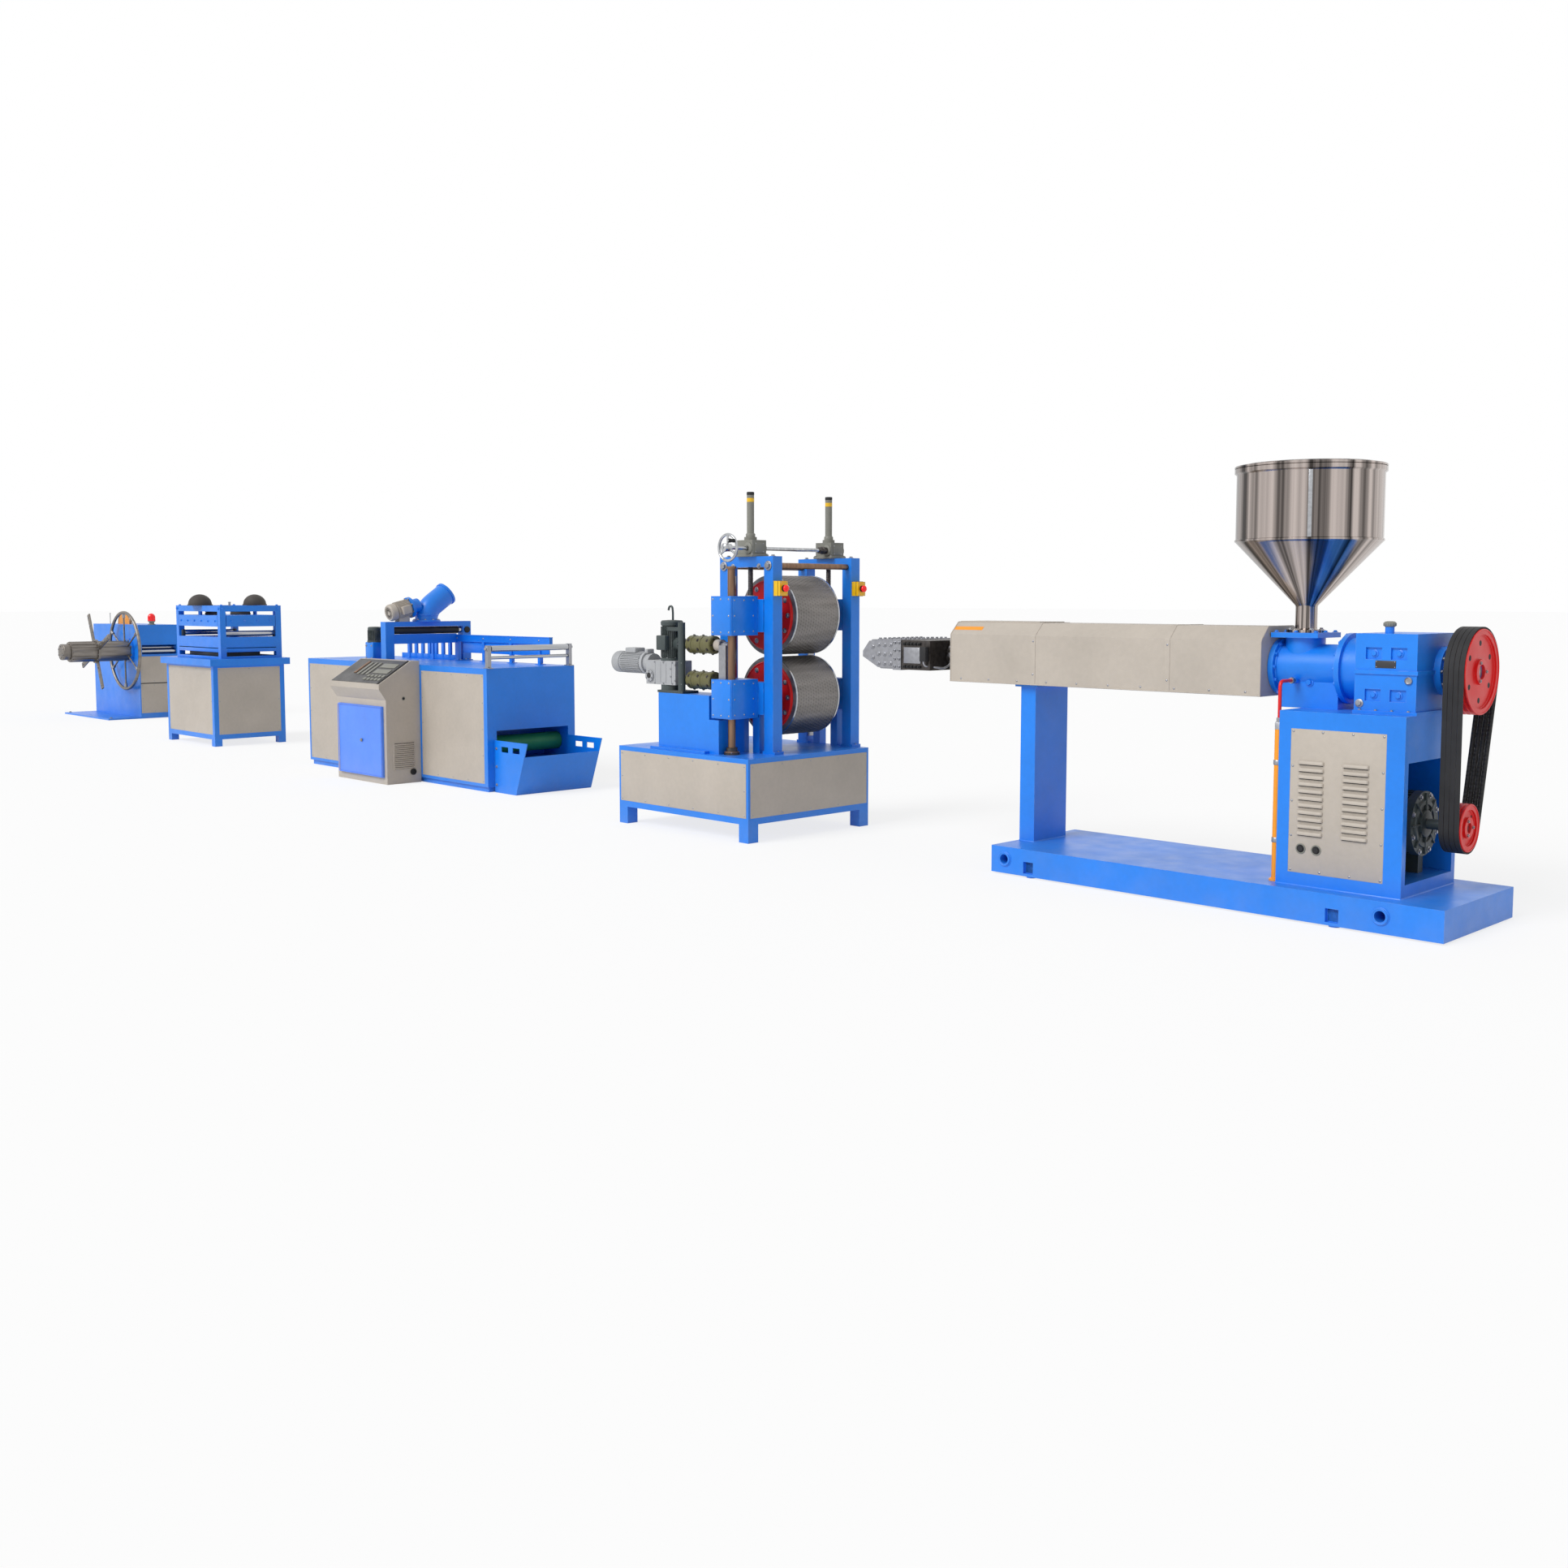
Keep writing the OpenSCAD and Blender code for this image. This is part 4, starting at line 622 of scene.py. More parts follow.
def finish(slot):
    """The material of a slot, made once: mottled colour, uneven gloss, grain, worn edges whose paler colour is also a
    painted highlight, and dust.
    """
    label = f"{slot.replace('_', ' ')} finish"
    found = bpy.data.materials.get(label)
    if found:
        return found
    traits = FINISHES[slot]
    colour = tuple(getattr(bpy.context.scene.line_finishes, slot))
    material = bpy.data.materials.new(label)
    material.use_nodes = True
    tree = material.node_tree
    shader = tree.nodes["Principled BSDF"]
    bump = tree.nodes.new("ShaderNodeBump")
    bump.inputs["Strength"].default_value = BUMP_STRENGTH
    tree.links.new(bump.outputs[0], shader.inputs["Normal"])
    if traits["kind"] == "metal":
        # round the hopper the band gives painted reflections; along other metals it gives tone marks
        if "around" in traits:
            streaks = use_group(tree, "Polar streaks", Centre=middle("hopper"), Scale=traits["around"])
        else:
            streaks = use_group(tree, "Streaks", Stretch=traits["stretch"])
        streaks.inputs["Contrast"].default_value = traits["band"]
        dark, light = (tone(colour, share) for share in traits["tones"])
        metal_tone_and_painted_reflection = blend_colours(tree, streaks.outputs["Band"], dark, light)
        tree.links.new(metal_tone_and_painted_reflection, shader.inputs["Base Color"])
        tree.links.new(spread(tree, streaks.outputs["Mark"], 0.3, 0.7, *traits["rough"]), shader.inputs["Roughness"])
        shader.inputs["Metallic"].default_value = 1.0
        bump.inputs["Distance"].default_value = MARK_DEPTH
        tree.links.new(streaks.outputs["Mark"], bump.inputs["Height"])
        return material
    dark, light = tone(colour, MOTTLE_DARK), tone(colour, MOTTLE_LIGHT)
    mottle = use_group(tree, "Mottle", Dark=dark, Light=light, Scale=MOTTLE_SCALE)
    grain = use_group(tree, "Grain", Scale=traits["grain"])
    tint, rough = mottle.outputs["Colour"], spread(tree, grain.outputs["Share"], 0.0, 1.0, *traits["rough"])
    if traits["kind"] == "paint":
        wear = use_group(tree, "Edge wear", Amount=traits["wear"])
        dust = use_group(tree, "Dust", Amount=traits["dust"])
        # paler colour on the edges: wear, and a painted highlight along them
        tint = blend_colours(tree, wear.outputs["Wear"], tint, tone([0.35 + 0.5 * c for c in colour[:3]], 0.9))
        tint = blend_colours(tree, dust.outputs["Dust"], tint, DUST)
        rough = reckon(tree, "ADD", rough, reckon(tree, "MULTIPLY", dust.outputs["Dust"], DUST_ROUGHNESS))
        shader.inputs["Coat Weight"].default_value = traits["coat"]
        shader.inputs["Coat Roughness"].default_value = COAT_ROUGHNESS
    # emission of the beacon and the stop knobs: a painted glow, as the stop knobs are no lamps
    if traits["kind"] == "lens":
        shader.inputs["Emission Strength"].default_value = PAINTED_LENS_GLOW
        tree.links.new(tint, shader.inputs["Emission Color"])
    tree.links.new(tint, shader.inputs["Base Color"])
    tree.links.new(rough, shader.inputs["Roughness"])
    bump.inputs["Distance"].default_value = traits["depth"]
    tree.links.new(grain.outputs["Height"], bump.inputs["Height"])
    return material


def paint(description, r, g, b):
    """A colour property, from the sRGB values a paint chart gives."""
    linear = [((c / 255 + 0.055) / 1.055) ** 2.4 if c > 10 else c / 3294.6 for c in (r, g, b)]
    return bpy.props.FloatVectorProperty(
        name=description, description=f"Colour of the {description.lower()}", subtype="COLOR",
        default=linear, min=0.0, max=1.0, size=3,
    )


def number(name, description, default, unit="NONE", **limits):
    """A number property."""
    return bpy.props.FloatProperty(name=name, description=description, default=default, unit=unit, **limits)


def length(name, description, default):
    """A length property."""
    return number(name, description, default, "LENGTH", min=0.0)


class LineFinishes(bpy.types.PropertyGroup):
    """Colours of the line's finishes."""

    blue_paint: paint("Blue machine paint", 8, 124, 228)
    light_blue_paint: paint("Console door paint", 76, 134, 240)
    cream_paint: paint("Cream panel paint", 180, 171, 160)
    red_paint: paint("Red paint of pulleys and drum discs", 222, 16, 18)
    orange_paint: paint("Orange pipe paint", 240, 150, 14)
    dark_paint: paint("Dark motor paint", 58, 68, 68)
    grey_casting: paint("Grey cast housings", 128, 128, 120)
    cast_aluminium: paint("Cast aluminium drive", 164, 166, 169)
    olive_paint: paint("Olive shaft couplings", 95, 92, 52)
    yellow_plastic: paint("Yellow stop boxes", 240, 190, 20)
    black_panel: paint("Black desk panel", 44, 43, 46)
    stainless: paint("Hopper sheet", 164, 154, 149)
    bare_steel: paint("Bare steel", 160, 161, 166)
    dark_steel: paint("Dark steel", 84, 80, 78)
    brown_steel: paint("Oiled column", 140, 112, 92)
    drum_metal: paint("Forming drums", 142, 138, 135)
    chrome: paint("Bright handwheel", 186, 188, 191)
    bright_roller: paint("Bright rollers", 180, 182, 186)
    reel_steel: paint("Reel steel", 140, 134, 128)
    black_rubber: paint("Black rubber and plastic", 26, 26, 28)
    dark_rubber: paint("Press domes", 60, 55, 52)
    green_rubber: paint("Green roller cover", 34, 134, 76)
    red_lens: paint("Beacon and stop knobs", 226, 14, 22)


class LineFittings(bpy.types.PropertyGroup):
    """Sizes of the line's small fittings."""

    stud_pitch: length("Stud pitch", "Distance between the studs on the forming drums", 0.022)
    stud_height: length("Stud height", "Height of the studs on the forming drums", 0.0024)
    frame_bolt: length("Frame bolt", "Radius of the bolt heads on frames", 0.011)
    panel_screw: length("Panel screw", "Radius of the screw heads on sheet panels", 0.006)
    thread_pitch: length("Thread pitch", "Pitch of the jack screws", 0.008)
    motor_fins: bpy.props.IntProperty(name="Motor fins", description="Cooling fins round a motor", default=36, min=8)


class LineStage(bpy.types.PropertyGroup):
    """Camera and light."""

    eye: bpy.props.FloatVectorProperty(
        name="Eye", description="Place of the camera", default=(11.513, -6.965, 1.5), size=3, unit="LENGTH"
    )
    yaw: number("Yaw", "Turn of the view from -X towards +Y", math.radians(44.35), "ROTATION")
    pitch: number("Pitch", "Angle of the view below the horizon", math.radians(4.6), "ROTATION")
    lens: number("Lens", "Focal length on a 36 mm frame", 34.66, "CAMERA")
    shift: number("Shift", "Upward shift of the frame", -0.0415)
    key: number("Key light", "Strength of the soft front light", 2.1, min=0)
    ambient: number("Ambient", "Strength of the light all round", 0.5, min=0)
    softness: number("Softness", "Angle that the front light spans", math.radians(30), "ROTATION")
    light_way: bpy.props.FloatVectorProperty(
        name="Light way", description="Direction of the front light", default=(0.12, 0.76, -0.64), size=3
    )
    floor_glow: number("Floor glow", "Share of white that fades the floor into the surround", 0.78, min=0, max=1)


class LINE_OT_finishes(bpy.types.Operator):
    """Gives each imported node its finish"""

    bl_idname = "line.finishes"
    bl_label = "Finishes of the packed nodes"

    def execute(self, context):
        for slot, names in NODE_FINISH.items():
            for name in names.split():
                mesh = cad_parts[name].data
                mesh.materials.clear()
                mesh.materials.append(finish(slot))
        return {"FINISHED"}


class LINE_OT_base(bpy.types.Operator):
    """Weld beads round the uprights of the extruder base, rims of its lifting holes and dark backs of its pockets,
    which are painted shade
    """

    bl_idname = "line.base"
    bl_label = "Extruder base"

    def execute(self, context):
        lo, hi = box("extruder_base")
        a, b = box("drive_cabinet")
        c, d = box("barrel_support")
        feet = [((a[0], b[0]), (a[1], b[1])), ((c[0] + 0.026, d[0] - 0.024), (c[1] + 0.02, d[1] - 0.02))]
        beads = [bead("z", hi[2], *foot, 0.004, 0.0045) for foot in feet]
        xs, z = (lo[0] + 0.09, b[0] - 0.045), hi[2] - 0.0665
        welds = hoop(0.038, 0.005, grid(xs, (lo[1] + 0.008, hi[1] - 0.008), z), "y", 40)
        rims = hoop(0.0345, 0.0032, grid(xs, (lo[1] + 0.001, hi[1] - 0.001), z), "y", 40)
        piece("base_welds_and_rims", "blue_paint", [], beads + [welds, rims])
        pockets = grid((lo[0] + 0.245, a[0] + 0.329), (lo[1] + 0.033, hi[1] - 0.033), hi[2] - 0.099)
        # dark plates at the backs of the pockets: painted shade in the recesses
        back = slab((-0.03, -0.001, -0.03), (0.03, 0.001, 0.03), 0.0008)
        piece("pocket_backs", "dark_paint", [put(back, pockets)])
        return {"FINISHED"}


class LINE_OT_cover(bpy.types.Operator):
    """Hems, joint straps, raised end sheet, screws and the plain orange strip of the barrel cover"""

    bl_idname = "line.cover"
    bl_label = "Barrel cover"

    def execute(self, context):
        lo, hi = box("barrel_cover")
        screw = context.scene.line_fittings.panel_screw
        bevel, r = 0.068, 0.0035
        straps = lo[0] + np.array([0.58, 1.41])
        yz = np.array([
            (lo[1], lo[2]), (lo[1], hi[2] - bevel), (lo[1] + bevel, hi[2]),
            (hi[1] - bevel, hi[2]), (hi[1], hi[2] - bevel), (hi[1], lo[2]),
        ])
        bent = rounded_path(np.column_stack([np.zeros(6), yz]), 0.006, 3)
        hems = [swept(bent + (x, 0, 0), circle(r, 8), (1, 0, 0)) for x in (lo[0] + r, hi[0] - r)]
        hems += [swept([(lo[0], y, lo[2] + r), (hi[0], y, lo[2] + r)], circle(r, 8)) for y in (lo[1], hi[1])]
        flat = [(-0.002, -0.014), (0.001, -0.014), (0.001, 0.014), (-0.002, 0.014)]
        hems += [swept(bent + (x, 0, 0), flat, (1, 0, 0)) for x in straps]
        inner = (lo[1] + bevel + 0.01, hi[1] - bevel - 0.01)
        hems.append(slab((lo[0] + 0.012, inner[0], hi[2] - 0.001), (lo[0] + 0.564, inner[1], hi[2] + 0.006)))
        piece("cover_hems", "cream_paint", hems)
        xs = np.linspace(lo[0] + 0.08, hi[0] - 0.08, 10)
        screws = both_faces(button_screws, xs, lo, hi, lo[2] + 0.02, screw)
        heights = (lo[2] + 0.06, hi[2] - bevel - 0.03)
        screws += button_screws(grid(straps, lo[1] - 0.002, heights), "-y", screw)
        piece("cover_screws", "bare_steel", screws)
        strip = tilted(slab((-0.1, -0.013, -0.001), (0.1, 0.013, 0.0012), 0.0006), "x", math.pi / 4)
        piece("cover_strip", "orange_paint", [strip + (lo[0] + 0.108, lo[1] + bevel / 2, hi[2] - bevel / 2)])
        return {"FINISHED"}


class LINE_OT_die(bpy.types.Operator):
    """Bolts of the die, its flange band and the adaptor, with the heater plate, cartridge ends and conduit"""

    bl_idname = "line.die"
    bl_label = "Die"

    def execute(self, context):
        lo, hi = box("die_head")
        a, b = box("die_manifold")
        lip, (_, mid, axis) = lo[0], (lo + hi) / 2
        spots = np.concatenate([
            grid(lip + np.array([0.135, 0.182, 0.228]), 0, axis + np.array([-0.055, 0.0, 0.055])),
            grid(lip + 0.088, 0, axis + np.array([-0.022, 0.042])),
        ])
        bolts = hex_bolts(spots + (0, lo[1], 0), "-y") + hex_bolts(spots + (0, hi[1], 0), "y")
        across = np.linspace(lo[1] + 0.055, hi[1] - 0.055, 10)
        bolts += hex_bolts(grid((lip + 0.1, lip + 0.19), across, axis + 0.086), "z", 0.01)
        lips, slope = grid(lip + 0.03, across, axis + 0.051), -math.atan2(0.07, 0.06)
        bolts += [put(tilted(shell, "y", slope), lips) for shell in hex_bolts((0, 0, 0), "z", 0.008)]
        band = (hi[0] - 0.048, hi[0] - 0.015)
        bolts += cap_screws(grid(band, across, hi[2]), "z")
        bolts += cap_screws(grid(band, lo[1], axis + np.array([-0.07, -0.025, 0.025, 0.07])), "-y")
        for x in (b[0] + 0.023, b[0] + 0.083):
            for shell in hex_bolts((x, mid, axis + 0.086), "z", 0.01):
                bolts.append(spin(shell, "x", np.array([x, mid, axis]), around(12)))
        plate = slab((a[0] + 0.022, a[1] - 0.007, axis - 0.048), (b[0] - 0.066, a[1] + 0.001, axis + 0.046), 0.002)
        piece("heater_plate", "bare_steel", [plate])
        piece("die_bolts", "bare_steel", bolts)
        stub = [(0.009, -0.002), (0.009, 0.014), (0.007, 0.016), (0.005, 0.016), (0.005, 0.022), (0.003, 0.023)]
        spots = grid(np.linspace(a[0] + 0.03, b[0] - 0.075, 5), a[1], (axis - 0.067, axis + 0.066))
        case = slab((b[0] - 0.056, a[1] - 0.03, axis - 0.034), (b[0] - 0.01, a[1] + 0.002, axis + 0.05), 0.004)
        piece("heater_ends", "black_rubber", [lathe(stub, spots, "-y", 16), case])
        path = rounded_path([
            (b[0] - 0.033, a[1] - 0.018, axis - 0.03), (b[0] - 0.033, a[1] - 0.018, axis - 0.06),
            (b[0] + 0.03, a[1] + 0.1, axis - 0.075), (b[0] + 0.05, mid - 0.08, axis - 0.03),
        ], 0.025)
        piece("heater_conduit", "bare_steel", [swept(path, circle(0.006, 10), (1, -0.6, 0))])
        return {"FINISHED"}


class LINE_OT_hopper(bpy.types.Operator):
    """Stainless hopper and lid, turned round one upright axis, with beads, seams and flange bolts"""

    bl_idname = "line.hopper"
    bl_label = "Hopper"

    def execute(self, context):
        z0, z1 = box("hopper")[0][2], box("hopper")[1][2]
        centre = middle("hopper") * (1, 1, 0)
        cone, wall, r = z0 + 0.127, z1 - 0.35, 0.338
        profile = [
            (0.047, z0), (0.091, z0), (0.091, z0 + 0.013), (0.056, z0 + 0.014), (0.051, z0 + 0.019),
            (0.051, cone - 0.004), (0.054, cone + 0.004), (r - 0.006, wall - 0.008), (r, wall - 0.002),
            (r + 0.0045, wall + 0.001), (r + 0.0045, wall + 0.009), (r, wall + 0.012), (r, z1 - 0.03),
            (r + 0.004, z1 - 0.026), (r + 0.01, z1 - 0.022), (r + 0.01, z1 - 0.002), (r + 0.008, z1),
            (r - 0.004, z1), (r - 0.004, wall + 0.002), (0.047, cone + 0.002),
        ]
        piece("hopper_shell", "stainless", [], [lathe(profile, centre, "z", 192)], replaces=("hopper",))
        lid = [
            (0.340, 0), (0.348, 0.001), (0.349, 0.008), (0.345, 0.012), (0.312, 0.014), (0.306, 0.019),
            (0.052, 0.03), (0.05, 0.036), (0.02, 0.036),
        ]
        lid = lathe(lid, centre + (0, 0, z1 + 0.0002), "z", 192)
        piece("hopper_cap", "stainless", [lid], replaces=("hopper_lid",))
        seam = slab((r - 0.0015, -0.009, wall + 0.012), (r + 0.0012, 0.009, z1 - 0.03), 0.0008)
        fits = [spin(seam, "z", 0.0, np.array([-1.1, 2.04])) + centre]
        fits += hex_bolts(rounds(centre + (0, 0, z0 + 0.0135), "z", 0.074, 4, 0.5), "z")
        piece("hopper_fittings", "bright_roller", fits)
        return {"FINISHED"}


class LINE_OT_throat(bpy.types.Operator):
    """Bolts and fillets of the feed throat's flanges and the plug on its port"""

    bl_idname = "line.throat"
    bl_label = "Feed throat"

    def execute(self, context):
        lo, hi = box("feed_throat")
        x, mid, _ = middle("hopper")
        axis = hi[2] - 0.167
        pairs = border(x - 0.1, x + 0.1, mid - 0.1, mid + 0.1, 3, 3)
        bolts = hex_bolts(np.column_stack([pairs, np.full(len(pairs), hi[2])]), "z")
        bolts += hex_bolts(rounds((hi[0] - 0.12, mid, axis), "-x", 0.156, 14), "-x")
        bolts += hex_bolts(rounds((lo[0] + 0.026, mid, axis), "x", 0.125, 12), "x", 0.008)
        bolts += hex_bolts((x + 0.07, mid - 0.09, axis - 0.07), "-y", 0.014)
        piece("throat_bolts", "blue_paint", bolts)
        piece("throat_fillets", "blue_paint", [], [
            hoop(0.112, 0.006, grid((lo[0] + 0.028, hi[0] - 0.122), mid, axis), "x", 64)
        ])
        return {"FINISHED"}


class LINE_OT_gearbox(bpy.types.Operator):
    """Bolts, breather, sight glass and bare nameplate of the gearbox"""

    bl_idname = "line.gearbox"
    bl_label = "Gearbox"

    def execute(self, context):
        lo, hi = box("gearbox")
        x0, x1, front, z0 = lo[0], lo[0] + 0.285, lo[1] + 0.016, lo[2] + 0.015
        pads, heights = (x0 + 0.086, x0 + 0.202), (z0 + 0.07, z0 + 0.26)
        piece("gearbox_pad_bolts", "blue_paint", both_faces(hex_bolts, pads, lo + 0.028, hi - 0.028, heights, 0.012))
        _, y, z = middle("gearbox_pulley")
        bolts = cap_screws(rounds((x1 + 0.03, y, z), "x", 0.098, 10), "x")
        ledge = grid(np.linspace(x0 + 0.03, x1 - 0.03, 4), (lo[1] + 0.008, hi[1] - 0.008), z0)
        bolts += hex_bolts(ledge, "z", 0.0055)
        bolts += hex_bolts((x0 + 0.025, front, z0 + 0.03), "-y", 0.013)
        glass = [(0.017, -0.001), (0.017, 0.008), (0.014, 0.011), (0.0125, 0.008), (0.011, 0.0075)]
        bolts.append(lathe(glass, (x0 + 0.25, front, z0 + 0.14), "-y", 28))
        rivets = grid((x0 + 0.1, x0 + 0.185), front - 0.002, (z0 + 0.199, z0 + 0.223))
        piece("gearbox_bolts", "bare_steel", bolts + button_screws(rivets, "-y", 0.0025))
        plate = slab((x0 + 0.095, front - 0.002, z0 + 0.194), (x0 + 0.19, front + 0.001, z0 + 0.228), 0.001)
        piece("gearbox_nameplate", "black_panel", [plate])
        place = (x0 + 0.13, front + 0.06, hi[2])
        cap = [(0.022, -0.002), (0.026, 0.003), (0.027, 0.016), (0.021, 0.022), (0.012, 0.0235)]
        crown = spin(slab((0.0255, -0.0022, 0.002), (0.0285, 0.0022, 0.016), 0.001), "z", 0.0, around(16))
        piece("gearbox_breather", "grey_casting", [lathe(cap, place, "z", 32), crown + place])
        return {"FINISHED"}


class LINE_OT_louvres(bpy.types.Operator):
    """Louvre panel of the drive cabinet: a sheet with pressed hoods over dark strips of painted shade in the slots,
    and two cable glands
    """

    bl_idname = "line.louvres"
    bl_label = "Louvre panel"

    def execute(self, context):
        lo, hi = box("louvre_panel")
        screw = context.scene.line_fittings.panel_screw
        face, rows, pitch, run = hi[1] - 0.005, 11, 0.0332, 0.126
        sheet = slab((lo[0], face, lo[2]), hi, 0.002)
        spots = grid(lo[0] + np.array([0.04, 0.254]), face, lo[2] + 0.18 + np.arange(rows) * pitch)
        hoods = put(self.hood(run), spots)
        piece("louvre_sheet", "cream_paint", [sheet, hoods], angle=50.0, replaces=("louvre_panel",))
        # a dark strip under each hood: painted shade in the slot opening
        slot = slab((0.006, -0.0007, -0.004), (run - 0.006, 0.001, 0.001), 0.0004)
        holes = grid((lo[0] + 0.062, lo[0] + 0.138), face, lo[2] + 0.115)
        glands = lathe([(0.012, 0.006), (0.013, 0.001), (0.019, 0.0004)], holes, "-y", 32)
        piece("louvre_slots", "black_rubber", [put(slot, spots), glands])
        piece("cabinet_glands", "grey_casting", [], [hoop(0.0215, 0.0035, holes, "y", 32)])
        screws = sheet_screws("-y", face, (lo[0], hi[0]), (lo[2], hi[2]), 4, 5, screw, 0.012)
        piece("louvre_screws", "bare_steel", screws)
        return {"FINISHED"}

    def hood(self, run):
        """A pressed hood: a bent section along X whose reach dies away on a quarter circle at both ends."""
        u = np.sin(np.linspace(-math.pi / 2, math.pi / 2, 15))
        reach = np.sqrt(np.clip(1 - (np.maximum(np.abs(u) - 0.86, 0) / 0.141) ** 2, 0.001, 1))
        bend = np.linspace(0, math.pi / 2, 6)[1:]
        y = np.concatenate([[0.001, -0.012, -0.013], -0.013 * np.cos(bend), [0.001]])
        z = np.concatenate([[0.0, 0.001, 0.004], 0.004 + 0.016 * np.sin(bend), [0.02]])
        out = np.where(y < 0, y * reach[:, None], y)
        tall = z * (0.7 + 0.3 * reach[:, None])
        return np.stack([np.broadcast_to(((u + 1) / 2 * run)[:, None], out.shape), out, tall], -1)


class LINE_OT_drive(bpy.types.Operator):
    """Screws and bushes of both pulleys, shaft ends, and the end shield of the main motor"""

    bl_idname = "line.drive"
    bl_label = "Motor and pulleys"

    def execute(self, context):
        for node, body, bush, ring, n, size in (
            ("gearbox_pulley", "gearbox_sheave", 0.047, 0.13, 6, 0.013),
            ("motor_pulley", "motor_sheave", 0.037, 0.066, 4, 0.007),
        ):
            lo, hi = box(node)
            rim = (hi[2] - lo[2]) / 2
            axis = np.array([hi[0], *middle(node)[1:]])
            web = axis - (0.012, 0, 0)
            piece(f"{node}_bush", "bare_steel", cap_screws(rounds(axis, "x", bush, 3), "x", 0.007), body=body)
            # dark discs in the pulley webs: painted shade in the holes
            hole = [(size, -0.0005), (size, 0.0004), (0.7 * size, 0.0005)]
            holes = lathe(hole, rounds(web, "x", ring, n, 0.5), "x", 20)
            piece(f"{node}_holes", "black_rubber", [holes], body=body)
            lips = [hoop(rim - 0.004, 0.0036, axis, "x", 96), hoop(rim - 0.027, 0.004, web, "x", 96)]
            piece(f"{node}_lips", "red_paint", [], lips, body=body)
            stub = [(0.62, -0.02), (0.62, -0.002), (0.5, 0.001), (0.12, 0.001), (0.06, -0.002)]
            stub = [(share * bush, x) for share, x in stub]
            piece(f"{node}_shaft_end", "bare_steel", [lathe(stub, web, "x", 32)])
        axis = np.array([box("main_motor")[0][0] + 0.42, *middle("motor_pulley")[1:]])
        shield = [lathe([(0.062, -0.002), (0.062, 0.012), (0.055, 0.016), (0.03, 0.016)], axis, "x")]
        shield.append(lathe([(0.112, -0.002), (0.108, 0.007), (0.09, 0.007), (0.085, -0.002)], axis, "x", 64))
        shield.append(spin(slab((-0.001, -0.004, 0.06), (0.01, 0.004, 0.142), 0.002), "x", 0.0, around(8)) + axis)
        piece("motor_shield", "dark_paint", shield)
        piece("motor_shield_bolts", "bare_steel", hex_bolts(rounds(axis, "x", 0.136, 8, 0.5), "x"))
        return {"FINISHED"}


class LINE_OT_belts(bpy.types.Operator):
    """V-belts: a wedge section with cogs along the two arcs and two straight runs round the pulleys"""

    bl_idname = "line.belts"
    bl_label = "Belts"

    def execute(self, context):
        a, b = box("gearbox_pulley")
        c, d = box("motor_pulley")
        big, small = (a + b) / 2, (c + d) / 2
        wide, narrow = (b[2] - a[2]) / 2, (d[2] - c[2]) / 2
        dy, dz = small[1] - big[1], small[2] - big[2]
        lean, reach = math.atan2(dz, dy), math.acos((wide - narrow) / math.hypot(dy, dz))
        over = np.linspace(lean + reach, lean + TURN - reach, 90)
        under = np.linspace(lean - reach, lean + reach, 60)
        y = np.concatenate([big[1] + wide * np.cos(over), small[1] + narrow * np.cos(under)])
        z = np.concatenate([big[2] + wide * np.sin(over), small[2] + narrow * np.sin(under)])
        y, z = np.append(y, y[0]), np.append(z, z[0])
        way = np.concatenate([[0.0], np.cumsum(np.hypot(np.diff(y), np.diff(z)))])
        steps, cog_steps, belts = 720, 6, 4
        at = np.linspace(0, way[-1], steps + 1)[:-1]
        path = np.stack([0 * at, np.interp(at, way, y), np.interp(at, way, z)], -1)
        wedge = [
            (0.009, -0.0106), (0.009, 0.0106), (0.004, 0.0104), (-0.006, 0.0045), (-0.006, -0.0045), (0.004, -0.0104),
        ]
        belt = swept(path, wedge, (1, 0, 0), True)
        out = (belt[:, 0] + belt[:, 1] - belt[:, 3] - belt[:, 4]) / 2
        cog = 0.25 * (np.arange(steps) % cog_steps < cog_steps / 2)
        belt[:, 3:5] += (cog[:, None] * out)[:, None]
        rows = grid(a[0] + (np.arange(belts) + 0.5) * (b[0] - a[0]) / belts, 0, 0)
        piece("v_belts", "black_rubber", [], [put(belt, rows)], angle=60.0, replaces=("drive_belts",))
        return {"FINISHED"}


